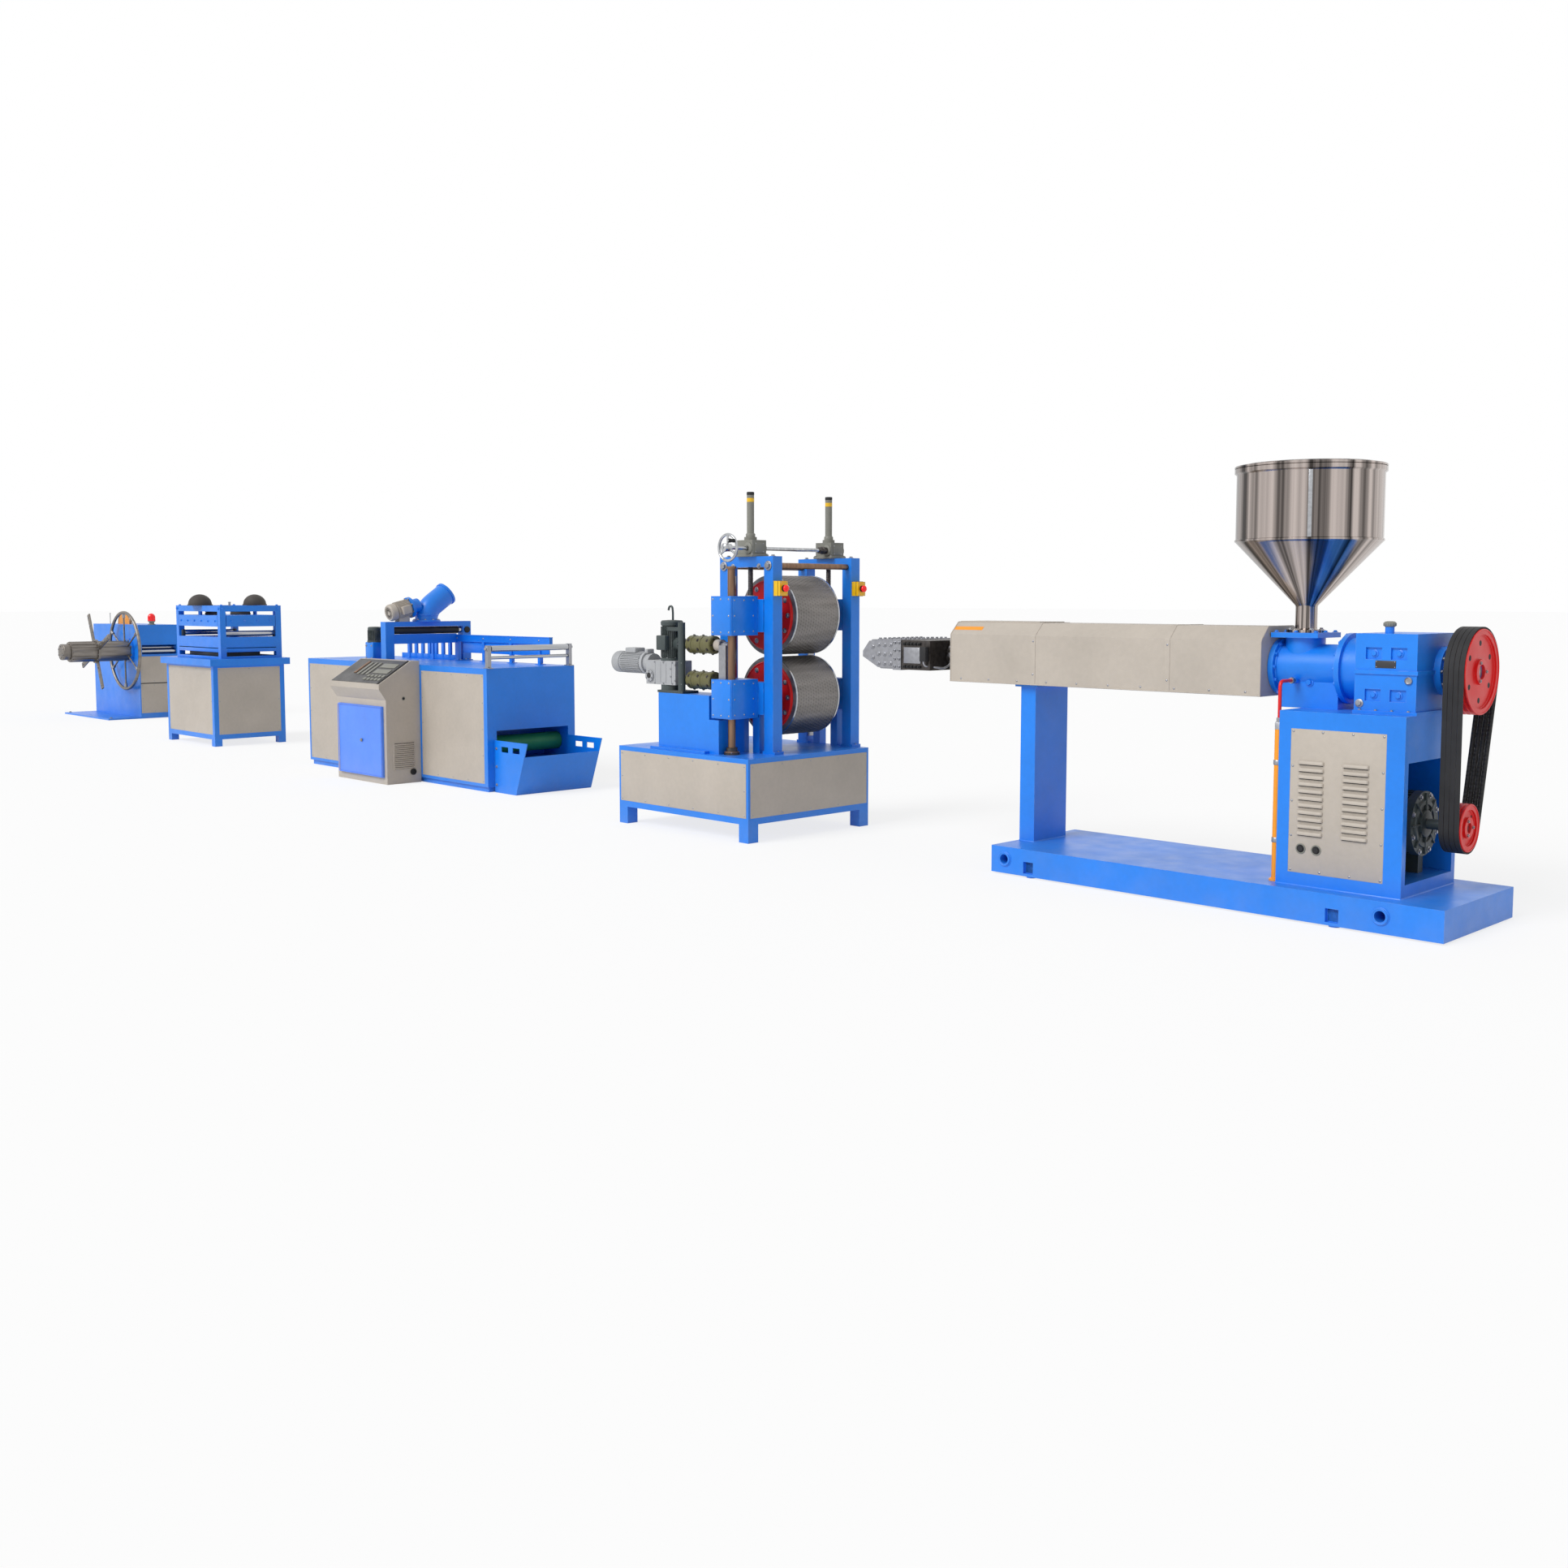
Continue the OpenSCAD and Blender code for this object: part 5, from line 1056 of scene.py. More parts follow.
class LINE_OT_pipes(bpy.types.Operator):
    """Cooling pipes: orange risers, thin red feeds with union nuts, and saddles on the cabinet"""

    bl_idname = "line.pipes"
    bl_label = "Cooling pipes"

    def execute(self, context):
        lo, hi = box("cooling_pipes")
        x, z0, z1, top = (lo[0] + hi[0]) / 2, lo[2], hi[2] - 0.202, hi[2] - 0.009
        r, throat = 0.019, middle("hopper")[1]
        risers, feeds, nuts = [], [], []
        nut = [(0.0155, 0), (0.0155, 0.02), (0.0125, 0.023)]
        clip = [(0.0205, -0.012), (0.022, -0.01), (0.022, 0.01), (0.0205, 0.012)]
        for y, side, face in ((lo[1] + r, -1, "y"), (hi[1] - r, 1, "-y")):
            port = throat + side * 0.128
            tube = [(r - 0.002, z0), (r, z0 + 0.002), (r, z1 - 0.006), (r - 0.0025, z1)]
            risers.append(lathe(tube, (x, y, 0), "z", 32))
            risers.append(lathe([(0.03, 0), (0.03, 0.008), (0.024, 0.012)], (x, y, z0), "z", 32))
            path = rounded_path([(x, y, z1 - 0.01), (x, y, top), (x, port, top)], 0.03, 8)
            feeds.append(swept(path, circle(0.0085, 14), (1, 0, 0)))
            nuts.append(lathe(nut, (x, y, z1 - 0.002), "z", 6))
            nuts.append(lathe([(0.022, 0), (0.022, 0.03), (0.019, 0.034)], (x, y, z1 - 0.034), "z", 6))
            nuts.append(lathe(nut, (x, port + side * 0.022, top), face, 6))
            for z in (z0 + 0.197, z0 + 0.567):
                nuts.append(lathe(clip, (x, y, z), "z", 32))
                nuts.append(slab((x + 0.012, y - 0.03, z - 0.01), (x + 0.0225, y + 0.03, z + 0.01), 0.002))
        piece("cooling_risers", "orange_paint", risers, replaces=("cooling_pipes",))
        piece("cooling_feeds", "red_paint", feeds)
        piece("cooling_nuts", "bare_steel", nuts)
        return {"FINISHED"}


class LINE_OT_drums(bpy.types.Operator):
    """Forming drums: turned skins with staggered studs, bright end bands, and bolts on the red discs"""

    bl_idname = "line.drums"
    bl_label = "Forming drums"

    def execute(self, context):
        fit = context.scene.line_fittings
        h, neck = fit.stud_height, 0.045
        for node, body in (("lower_drum", "lower_roll"), ("upper_drum", "upper_roll")):
            lo, hi = box(node)
            a, b = box(f"{node}_discs")
            axis = middle(node) * (1, 0, 1)
            r, y0, y1 = (hi[2] - lo[2]) / 2, a[1] + 0.012, b[1] - 0.012
            core = r - 0.003
            half = [(0.02, 0.004), (0.024, 0), (neck - 0.003, 0), (neck, 0.003)]
            face = [(neck, 0), (core - 0.003, 0), (core, 0.001), (core, 0.004)]
            skin = [(p, lo[1] + y) for p, y in half] + [(p, y0 + y) for p, y in face]
            skin += [(p, y1 - y) for p, y in face[::-1]] + [(p, hi[1] - y) for p, y in half[::-1]]
            stud = turned([(0.0066, -0.001), (0.0062, 0.55 * h), (0.0048, 0.9 * h), (0.0025, h)], 8) + (0, 0, core)
            n = int(TURN * r / fit.stud_pitch)
            ys = np.linspace(y0 + 0.03, y1 - 0.03, int((y1 - y0 - 0.06) / fit.stud_pitch) + 1)
            studs = [
                spin(put(stud, grid(0, ys[odd::2], 0)), "y", 0.0, around(n) + odd * math.pi / n) + axis
                for odd in (0, 1)
            ]
            shells = [lathe(skin, axis, "y", 160), *studs]
            piece(f"{node}_skin", "drum_metal", shells, body=body, replaces=(node,))
            band = [(r - 0.004, y0 + 0.002), (r, y0 + 0.003), (r, y0 + 0.015), (r - 0.004, y0 + 0.016)]
            other = [(p, y0 + y1 - y) for p, y in band]
            bands = [lathe(edge, axis, "y", 160) for edge in (band, other)]
            piece(f"{node}_bands", "bright_roller", [], bands, body=body)
            bolts, collars, bore = [], [], neck + 0.0005
            for y, face in ((a[1], "-y"), (b[1], "y")):
                at = axis + (0, y, 0)
                bolts += hex_bolts(rounds(at, face, 0.19, 12), face, 0.011)
                bolts += cap_screws(rounds(at, face, 0.088, 8), face)
                collar = [(bore, -0.001), (0.072, -0.001), (0.072, 0.012), (0.066, 0.018), (bore, 0.018)]
                collars += [lathe(collar, at, face, 64), hoop(0.218, 0.004, at, face, 96)]
            piece(f"{node}_disc_bolts", "bare_steel", bolts, body=body)
            piece(f"{node}_collars", "red_paint", [], collars, body=body)
        return {"FINISHED"}


class LINE_OT_bearing_boxes(bpy.types.Operator):
    """Lids, screws, end caps and grease nipples of the four bearing boxes"""

    bl_idname = "line.bearing_boxes"
    bl_label = "Bearing boxes"

    def execute(self, context):
        for level, body in (("lower", "root"), ("upper", "upper_carriage")):
            node = f"{level}_bearing_boxes"
            lo, hi = box(node)
            mid, _, z = middle(f"{level}_drum")
            x0, x1, z0, z1 = mid - 0.077, mid + 0.109, z - 0.1225, z + 0.1225
            lid = slab((x0 + 0.005, lo[1] - 0.004, z0 + 0.005), (x1 - 0.005, lo[1] + 0.001, z1 - 0.005), 0.002)
            side = slab((x1 - 0.001, lo[1] + 0.012, z0 + 0.012), (x1 + 0.003, lo[1] + 0.2, z1 - 0.012), 0.0015)
            cap = lathe([(0.07, -0.001), (0.07, 0.006), (0.06, 0.012), (0.02, 0.013)], (mid, hi[1], z), "y", 64)
            piece(f"{node}_lids", "blue_paint", [lid, side, cap], body=body)
            screws = sheet_screws("-y", lo[1] - 0.004, (x0, x1), (z0, z1), 3, 3, 0.0065, 0.02)
            screws += sheet_screws("x", x1 + 0.003, (lo[1], lo[1] + 0.212), (z0, z1), 3, 3, 0.0055, 0.026)
            screws += hex_bolts(rounds((mid, hi[1], z), "y", 0.083, 8, 0.5), "y")
            nipple = [(0.007, 0), (0.007, 0.006), (0.004, 0.007), (0.004, 0.013), (0.0055, 0.016), (0.003, 0.02)]
            screws.append(lathe(nipple, (x0 + 0.03, lo[1] + 0.16, z1), "z", 14))
            piece(f"{node}_screws", "bare_steel", screws, body=body)
        return {"FINISHED"}


class LINE_OT_side_frames(bpy.types.Operator):
    """Foot bolts, guide strips, tie bar sleeves with nuts, and the guide column's socket of the side frames"""

    bl_idname = "line.side_frames"
    bl_label = "Side frames"

    def execute(self, context):
        lo, hi = box("side_frames")
        mid, bolt = middle("lower_drum")[0], context.scene.line_fittings.frame_bolt
        posts, rows = (mid - 0.205, mid + 0.205), (lo[1] + 0.04, hi[1] - 0.04)
        foot, tie = lo[2] + 0.018, hi[2] - 0.058
        bolts = hex_bolts(grid((posts[0] - 0.047, posts[1] + 0.047), rows, foot), "z", 0.0045)
        strip = slab((0, -0.028, foot + 0.03), (0.0025, 0.028, hi[2] - 0.12), 0.001)
        piece("guide_strips", "bare_steel", [put(strip, grid((mid - 0.165, mid + 0.1625), rows, 0))])
        run = hi[1] - lo[1] - 0.162
        sleeve = [(0.0152, 0), (0.0185, 0.002), (0.0185, run - 0.002), (0.0152, run)]
        piece("tie_sleeves", "brown_steel", [lathe(sleeve, grid(posts, lo[1] + 0.081, tie), "y", 32)])
        bolts += both_faces(hex_bolts, posts, lo, hi, tie, 0.02)
        bolts += hex_bolts(grid(posts, rows, hi[2]), "z", bolt)
        bolts += hex_bolts(grid((mid - 0.12, mid + 0.12), lo[1], hi[2] - 0.06), "-y", bolt)
        piece("frame_bolts", "bare_steel", bolts)
        base = np.array([*middle("guide_column")[:2], box("guide_column")[0][2]])
        socket = [(0.0245, 0), (0.05, 0), (0.05, 0.012), (0.036, 0.02), (0.036, 0.045), (0.0245, 0.046)]
        piece("column_socket", "dark_steel", [], [lathe(socket, base, "z", 40)])
        spots = rounds(base + (0, 0, 0.012), "z", 0.042, 4, 0.5)
        piece("column_bolts", "bare_steel", cap_screws(spots, "z", 0.006))
        return {"FINISHED"}


class LINE_OT_jacks(bpy.types.Operator):
    """Lifting gear: threaded jack screws, jack flanges and plugs, marked screw tubes and the handwheel's hub"""

    bl_idname = "line.jacks"
    bl_label = "Lifting gear"

    def execute(self, context):
        lo, hi = box("jack_screws")
        deck, top = (corner[2] for corner in box("screw_jacks"))
        rows, mid = (lo[1] + 0.017, hi[1] - 0.017), (lo[0] + hi[0]) / 2
        at = grid(mid, rows, lo[2])
        screw = threaded(0.017, hi[2] - lo[2], context.scene.line_fittings.thread_pitch, 0.0026)
        piece("lifting_screws", "dark_steel", [put(screw, at)], body="upper_carriage", replaces=("jack_screws",))
        foot = lathe([(0.046, 0), (0.046, 0.006), (0.032, 0.01), (0.03, 0.024), (0.0175, 0.025)], at, "z", 40)
        spots = np.concatenate([rounds(p + (0, 0, 0.006), "z", 0.038, 4, 0.5) for p in at])
        piece("screw_feet", "bare_steel", [foot, *cap_screws(spots, "z", 0.005)], body="upper_carriage")
        seats = grid(mid, rows, deck)
        plates = put(slab((-0.072, -0.072, -0.001), (0.092, 0.072, 0.014)), seats)
        lids = put(slab((0.079, -0.04, 0.024), (0.084, 0.04, 0.088), 0.002), seats)
        tube = [(0.0232, 0.124), (0.03, 0.124), (0.03, 0.142), (0.026, 0.148), (0.0232, 0.148)]
        piece("jack_flanges", "grey_casting", [plates, lids], [lathe(tube, seats, "z", 40)])
        seal = [(0.0155, -0.001), (0.036, -0.001), (0.036, 0.006), (0.03, 0.011), (0.0155, 0.011)]
        piece("jack_bosses", "grey_casting", [], [
            lathe(seal, seats + (0.043, side, 0.052), face, 40) for side, face in ((-0.06, "-y"), (0.06, "y"))
        ])
        corners = grid((mid - 0.062, mid + 0.082), self.beside(rows, 0.064), deck + 0.014)
        bolts = hex_bolts(corners, "z", 0.0055)
        lid_screws = grid(mid + 0.084, self.beside(rows, 0.033), (deck + 0.03, deck + 0.082))
        bolts += button_screws(lid_screws, "x", 0.004)
        bolts += hex_bolts(grid(mid - 0.06, rows, deck + 0.07), "-x", 0.012)
        piece("jack_bolts", "bare_steel", bolts)
        ends = grid(mid, rows, top)
        band = [(0.0229, -0.055), (0.0238, -0.055), (0.0238, -0.031), (0.0229, -0.031)]
        piece("tube_bands", "yellow_plastic", [], [lathe(band, ends, "z", 40)])
        cap = [(0.0236, -0.012), (0.0242, 0.004), (0.021, 0.008), (0.006, 0.009)]
        piece("tube_caps", "black_rubber", [lathe(cap, ends, "z", 40)])
        self.wheel()
        return {"FINISHED"}

    def beside(self, rows, reach):
        """Places on both sides of each jack."""
        return [y + side * reach for y in rows for side in (-1, 1)]

    def wheel(self):
        """Hub cap, grip and the shaft's sleeve coupling, which turn with the handwheel."""
        x, _, z = middle("handwheel")
        far = box("handwheel")[0][1]
        hub = [(0.026, -0.002), (0.026, 0.018), (0.02, 0.023), (0.011, 0.024), (0.011, 0.03), (0.004, 0.031)]
        piece("wheel_hub", "chrome", [lathe(hub, (x, far + 0.046, z), "-y", 32)], body="lift_wheel")
        reach, turn = 0.081, math.pi / 6
        spot = (x + reach * math.cos(turn), far + 0.064, z + reach * math.sin(turn))
        grip = [(0.009, 0.008), (0.0125, 0.014), (0.0105, 0.03), (0.0135, 0.05), (0.011, 0.061), (0.004, 0.063)]
        piece("wheel_grip", "black_rubber", [lathe(grip, spot, "-y", 28)], body="lift_wheel")
        sleeve = [
            (0.0122, 0), (0.021, 0.001), (0.021, 0.027), (0.026, 0.029), (0.026, 0.039), (0.021, 0.041),
            (0.021, 0.067), (0.0122, 0.068),
        ]
        piece("shaft_sleeve", "dark_steel", [], [lathe(sleeve, (x, far + 0.87, z), "y", 32)], body="lift_wheel")


class LINE_OT_drum_drives(bpy.types.Operator):
    """Drum drives: finned motors, fan cowl, lifting hook, gear case bolts and coupling bands"""

    bl_idname = "line.drum_drives"
    bl_label = "Drum drives"

    def execute(self, context):
        fins = context.scene.line_fittings.motor_fins
        lo, hi = box("upright_motor")
        c, d = box("level_motor")
        y, low, high = middle("shaft_couplings")[1], lo[2] + 0.051, lo[2] + 0.207
        x, top = lo[0] + 0.074, hi[2]
        sleeve = finned(0.0735, 0.2, fins, 0.008, 0.055) + (x, y, high + 0.022)
        cowl = [(0.06, -0.03), (0.0725, -0.026), (0.074, -0.004), (0.066, 0.006), (0.03, 0.009), (0.01, 0.01)]
        bow = rounded_path([
            (x + 0.01, y, top), (x + 0.01, y, top + 0.06), (x + 0.004, y, top + 0.098), (x - 0.026, y, top + 0.098),
            (x - 0.034, y, top + 0.072),
        ], 0.014)
        terminals = slab((x - 0.045, y - 0.1, high + 0.07), (x + 0.045, y - 0.058, high + 0.165), 0.006)
        hook = swept(bow, circle(0.007, 12), (0, 1, 0))
        piece("upright_motor_dress", "dark_paint", [sleeve, lathe(cowl, (x, y, top), "z", 64), terminals, hook])
        axis = np.array([c[0], y, high - 0.022])
        dress = [aim(finned(0.0735, 0.2, fins, 0.009, 0.055), "x") + axis + (0.085, 0, 0)]
        bell = [
            (0.03, -0.005), (0.06, -0.004), (0.069, 0.002), (0.0725, 0.012), (0.0725, 0.068), (0.069, 0.074),
            (0.05, 0.075),
        ]
        dress.append(lathe(bell, axis - (0.002, 0, 0), "x", 64))
        dress.append(slab((0.115, -0.045, 0.062), (0.225, 0.045, 0.098), 0.008) + axis)
        dress.append(slab((0.31, -0.03, 0.06), (0.335, 0.03, 0.092), 0.006) + axis)
        rib = slab((-0.004, -0.073, low + 0.012), (0.004, 0.073, high - 0.012), 0.002)
        dress.append(put(rib, grid(np.linspace(c[0] + 0.46, d[0] - 0.12, 4), y, 0)))
        piece("level_motor_dress", "cast_aluminium", dress)
        # dark slots and disc: painted shade in the fan vents and the port hole
        slot = slab((-0.001, -0.002, 0.03), (0.0015, 0.002, 0.058), 0.0008)
        vents = spin(slot, "x", 0.0, around(20)) + axis - (0.0055, 0, 0)
        port = (c[0] + 0.412, c[1] - 0.0005, low + 0.056)
        hole = lathe([(0.019, -0.001), (0.019, 0.001), (0.012, 0.0014)], port, "-y", 28)
        piece("drive_openings", "black_rubber", [vents, hole])
        bolts = hex_bolts(rounds(port, "-y", 0.03, 6), "-y", 0.0045)
        bolts += hex_bolts(rounds(axis + (0.298, 0, 0), "-x", 0.069, 8, 0.5), "-x", 0.006)
        bolts += hex_bolts(rounds((x, y, high + 0.018), "z", 0.069, 8, 0.5), "z", 0.0045)
        seam = grid(np.linspace(c[0] + 0.46, d[0] - 0.02, 4), y - 0.07, (high - 0.01, low + 0.01))
        bolts += cap_screws(seam, "-y", 0.005)
        bolts += cap_screws(rounds((d[0] - 0.08, y - 0.07, low + 0.08), "-y", 0.05, 6), "-y", 0.006)
        upper = box("shaft_couplings")[1][2] - 0.054
        bolts += hex_bolts(rounds((lo[0] + 0.178, y, upper), "x", 0.037, 6), "x", 0.005)
        piece("drive_bolts", "bare_steel", bolts)
        self.couplings()
        return {"FINISHED"}

    def couplings(self):
        """Raised bands on both shaft couplings, their clamp screws, and the pale collar beside the upper one."""
        lo, hi = box("shaft_couplings")
        y, r = (lo[1] + hi[1]) / 2, 0.054
        bands, screws = [], []
        for z in (lo[2] + r, hi[2] - r):
            for x in (lo[0] + 0.004, lo[0] + 0.092, hi[0] - 0.052):
                ring = [(0.0535, 0), (0.0575, 0.002), (0.0575, 0.046), (0.0535, 0.048)]
                bands.append(lathe(ring, (x, y, z), "x", 64))
                clamp = hex_bolts((x + 0.024, y, z + 0.0573), "z", 0.007)
                screws += [spin(shell, "x", np.array([0, y, z]), around(6)) for shell in clamp]
            screws += cap_screws(rounds((hi[0], y, z), "x", 0.04, 6), "x", 0.006)
        piece("coupling_bands", "olive_paint", [], bands)
        piece("coupling_screws", "dark_steel", screws)
        collar = [(0.0315, 0.012), (0.036, 0.014), (0.036, 0.066), (0.0315, 0.068)]
        piece("shaft_collar", "cream_paint", [], [lathe(collar, (hi[0], y, hi[2] - r), "x")])


class LINE_OT_stops(bpy.types.Operator):
    """Emergency stops: mushroom heads turned on their stems, collars, lid screws and lid seams"""

    bl_idname = "line.stops"
    bl_label = "Stop stations"

    def execute(self, context):
        lo, hi = box("stop_stations")
        z, x = (lo[2] + hi[2]) / 2, hi[0]
        rows = (lo[1] + 0.034, hi[1] - 0.034)
        spots = grid(x, rows, z)
        head = [
            (0.013, 0.002), (0.013, 0.012), (0.018, 0.013), (0.0215, 0.016), (0.022, 0.022), (0.019, 0.028),
            (0.012, 0.0315), (0.004, 0.0325),
        ]
        piece("stop_heads", "red_lens", [lathe(head, spots, "x", 40)], replaces=("stop_knobs",))
        collar = [(0.0135, -0.001), (0.02, -0.001), (0.02, 0.005), (0.017, 0.007), (0.0135, 0.007)]
        piece("stop_collars", "black_rubber", [], [lathe(collar, spots, "x", 32)])
        corners = [grid(x, (y - 0.027, y + 0.027), (z - 0.039, z + 0.039)) for y in rows]
        piece("stop_screws", "bare_steel", button_screws(np.concatenate(corners), "x", 0.0035))
        high = (z - 0.047, z + 0.047)
        seams = [bead("x", x - 0.018, (y - 0.035, y + 0.035), high, 0.005, 0.0012, 6) for y in rows]
        piece("stop_seams", "black_rubber", [], seams)
        return {"FINISHED"}


class LINE_OT_panels(bpy.types.Operator):
    """Sheets of the roll stand and the winder, and screws round the sheets of all machines"""

    bl_idname = "line.panels"
    bl_label = "Sheet panels"

    def execute(self, context):
        r, skin = context.scene.line_fittings.panel_screw, 0.002
        lo, hi = box("stand_cabinet")
        s0, s1 = box("stand_panels")
        x, y, z = (lo[0] + 0.018, hi[0] - 0.018), (lo[1] + 0.018, hi[1] - 0.018), (s0[2] - 0.008, s1[2] + 0.018)
        sheets = [slab((x[0], e - skin, z[0]), (x[1], e + skin, z[1]), 0.0015) for e in (lo[1], hi[1])]
        sheets += [slab((e - skin, y[0], z[0]), (e + skin, y[1], z[1]), 0.0015) for e in (lo[0], hi[0])]
        piece("stand_sheets", "cream_paint", sheets, replaces=("stand_panels",))
        screws = self.four_sides(lo - skin, hi + skin, x, y, z, (6, 5), r)
        lo, hi = box("press_panels")
        x, y = (lo[0] + 0.047, hi[0] - 0.047), (lo[1] + 0.047, hi[1] - 0.047)
        screws += self.four_sides(lo, hi, x, y, (lo[2], hi[2]), (4, 3), r)
        lo, hi = box("haul_off_panels")
        a, b = box("console_body")
        for x in ((lo[0] + 0.024, a[0] - 0.024), (b[0] + 0.024, hi[0])):
            screws += sheet_screws("-y", lo[1], x, (lo[2], hi[2]), 5, 5, r)
        lo, hi = box("winder_panels")
        plane, y, seam = hi[0] + 0.0035, (lo[1] - 0.002, hi[1] - 0.01), (lo[2] + 0.36, lo[2] + 0.372)
        halves = ((lo[2] - 0.004, seam[0]), (seam[1], hi[2] + 0.004))
        sheets = [slab((plane - 0.005, y[0], z[0]), (plane, y[1], z[1]), 0.0015) for z in halves]
        piece("winder_sheets", "cream_paint", sheets)
        gap = slab((plane - 0.006, y[0], seam[0]), (plane - 0.002, y[1], seam[1]), 0.0008)
        piece("winder_seam", "black_rubber", [gap])
        for z in halves:
            screws += sheet_screws("x", plane, y, z, 4, 3, r, 0.02)
        piece("panel_screws", "bare_steel", screws)
        return {"FINISHED"}

    def four_sides(self, lo, hi, x, y, z, counts, r):
        """Screws round the sheets on the four upright sides of a box."""
        screws = []
        for axis, across, run, n in (("y", 1, x, counts[0]), ("x", 0, y, counts[1])):
            screws += sheet_screws(f"-{axis}", lo[across], run, z, n, 3, r)
            screws += sheet_screws(axis, hi[across], run, z, n, 3, r)
        return screws


class LINE_OT_console(bpy.types.Operator):
    """Console: bars, screens and keys on the sloped desk, door lock, grille, key hole and socket"""

    bl_idname = "line.console"
    bl_label = "Control console"

    def execute(self, context):
        lo, hi = box("console_desk")
        x0, wide = lo[0], hi[0] - lo[0]
        bar = slab((-0.017, -0.085, -0.002), (0.017, 0.085, 0.006), 0.002)
        screen = slab((-0.115, -0.028, -0.002), (0.115, 0.028, 0.005), 0.002)
        key = slab((-0.02, -0.014, -0.002), (0.02, 0.014, 0.006))
        hem = slab((-0.012, -0.165, -0.002), (0.012, 0.165, 0.004), 0.002)
        for name, slot, shell, xs, runs in (
            ("desk_bars", "grey_casting", bar, x0 + wide * np.array([0.36, 0.45, 0.54]), (0.2,)),
            ("desk_lamp_bar", "brown_steel", bar, [x0 + 0.27 * wide], (0.215,)),
            ("desk_screens", "grey_casting", screen, [x0 + 0.77 * wide], (0.17, 0.25)),
            ("desk_keys", "grey_casting", key, x0 + wide * np.linspace(0.62, 0.92, 5), (0.06, 0.105)),
            ("desk_hem", "black_rubber", hem, [hi[0] - 0.014], (0.17,)),
        ):
            piece(name, slot, [self.on_desk(shell, xs, runs)])
        self.side()
        self.door()
        return {"FINISHED"}

    def on_desk(self, shell, xs, runs):
        """Copies of a shell on the desk's slope, at places along X and up the slope."""
        lo, hi = box("console_body")
        rise, slope = 0.18, math.atan2(0.18, 0.29)
        run = np.array(runs)
        y = lo[1] + run * math.cos(slope) - 0.003 * math.sin(slope)
        z = hi[2] - rise + run * math.sin(slope) + 0.003 * math.cos(slope)
        spots = np.array([(x, *yz) for x in xs for yz in zip(y, z)])
        return put(tilted(shell, "x", slope), spots)

    def side(self):
        """Grille of bent slats in a frame over a dark sheet of painted shade, key hole and socket on the end face."""
        lo, hi = box("console_body")
        x, y0, y1, z0, z1 = hi[0], lo[1] + 0.123, lo[1] + 0.31, lo[2] + 0.115, lo[2] + 0.333
        blade = tilted(slab((-0.004, y0 + 0.004, -0.005), (0.008, y1 - 0.004, 0.005), 0.0015), "y", 0.7)
        blades = put(blade, grid(x, 0, np.linspace(z0 + 0.014, z1 - 0.014, 13)))
        piece("grille_blades", "cream_paint", [blades], [bead("x", x, (y0, y1), (z0, z1), 0.006, 0.005)])
        # dark sheet behind the slats: painted shade inside the grille
        back = slab((x - 0.0005, y0, z0), (x + 0.0012, y1, z1), 0.0005)
        key, plug = (x, lo[1] + 0.218, lo[2] + 0.688), (x, lo[1] + 0.294, lo[2] + 0.09)
        hole = lathe([(0.011, -0.001), (0.011, 0.0015), (0.004, 0.002)], key, "x", 24)
        socket = [(0.026, -0.001), (0.026, 0.01), (0.022, 0.013), (0.018, 0.013), (0.016, 0.005), (0.006, 0.004)]
        piece("console_openings", "black_rubber", [back, hole, lathe(socket, plug, "x", 32)])
        piece("key_ring", "grey_casting", [], [hoop(0.013, 0.003, key, "x", 28)])

    def door(self):
        """Lock and hem that swing with the door."""
        lo, hi = box("console_door")
        at = (hi[0] - 0.32, lo[1], (lo[2] + hi[2]) / 2)
        lock = lathe([(0.014, -0.001), (0.014, 0.005), (0.011, 0.008), (0.004, 0.0085)], at, "-y", 28)
        bar = slab((-0.0025, -0.0095, 0), (0.0025, -0.007, 0.009), 0.001) + at
        piece("door_lock", "grey_casting", [lock, bar], body="door")
        a, b = lo + 0.006, hi - 0.006
        hem = bead("y", lo[1], (a[0], b[0]), (a[2], b[2]), 0.008, 0.003, 6)
        piece("door_hem", "light_blue_paint", [], [hem], body="door")


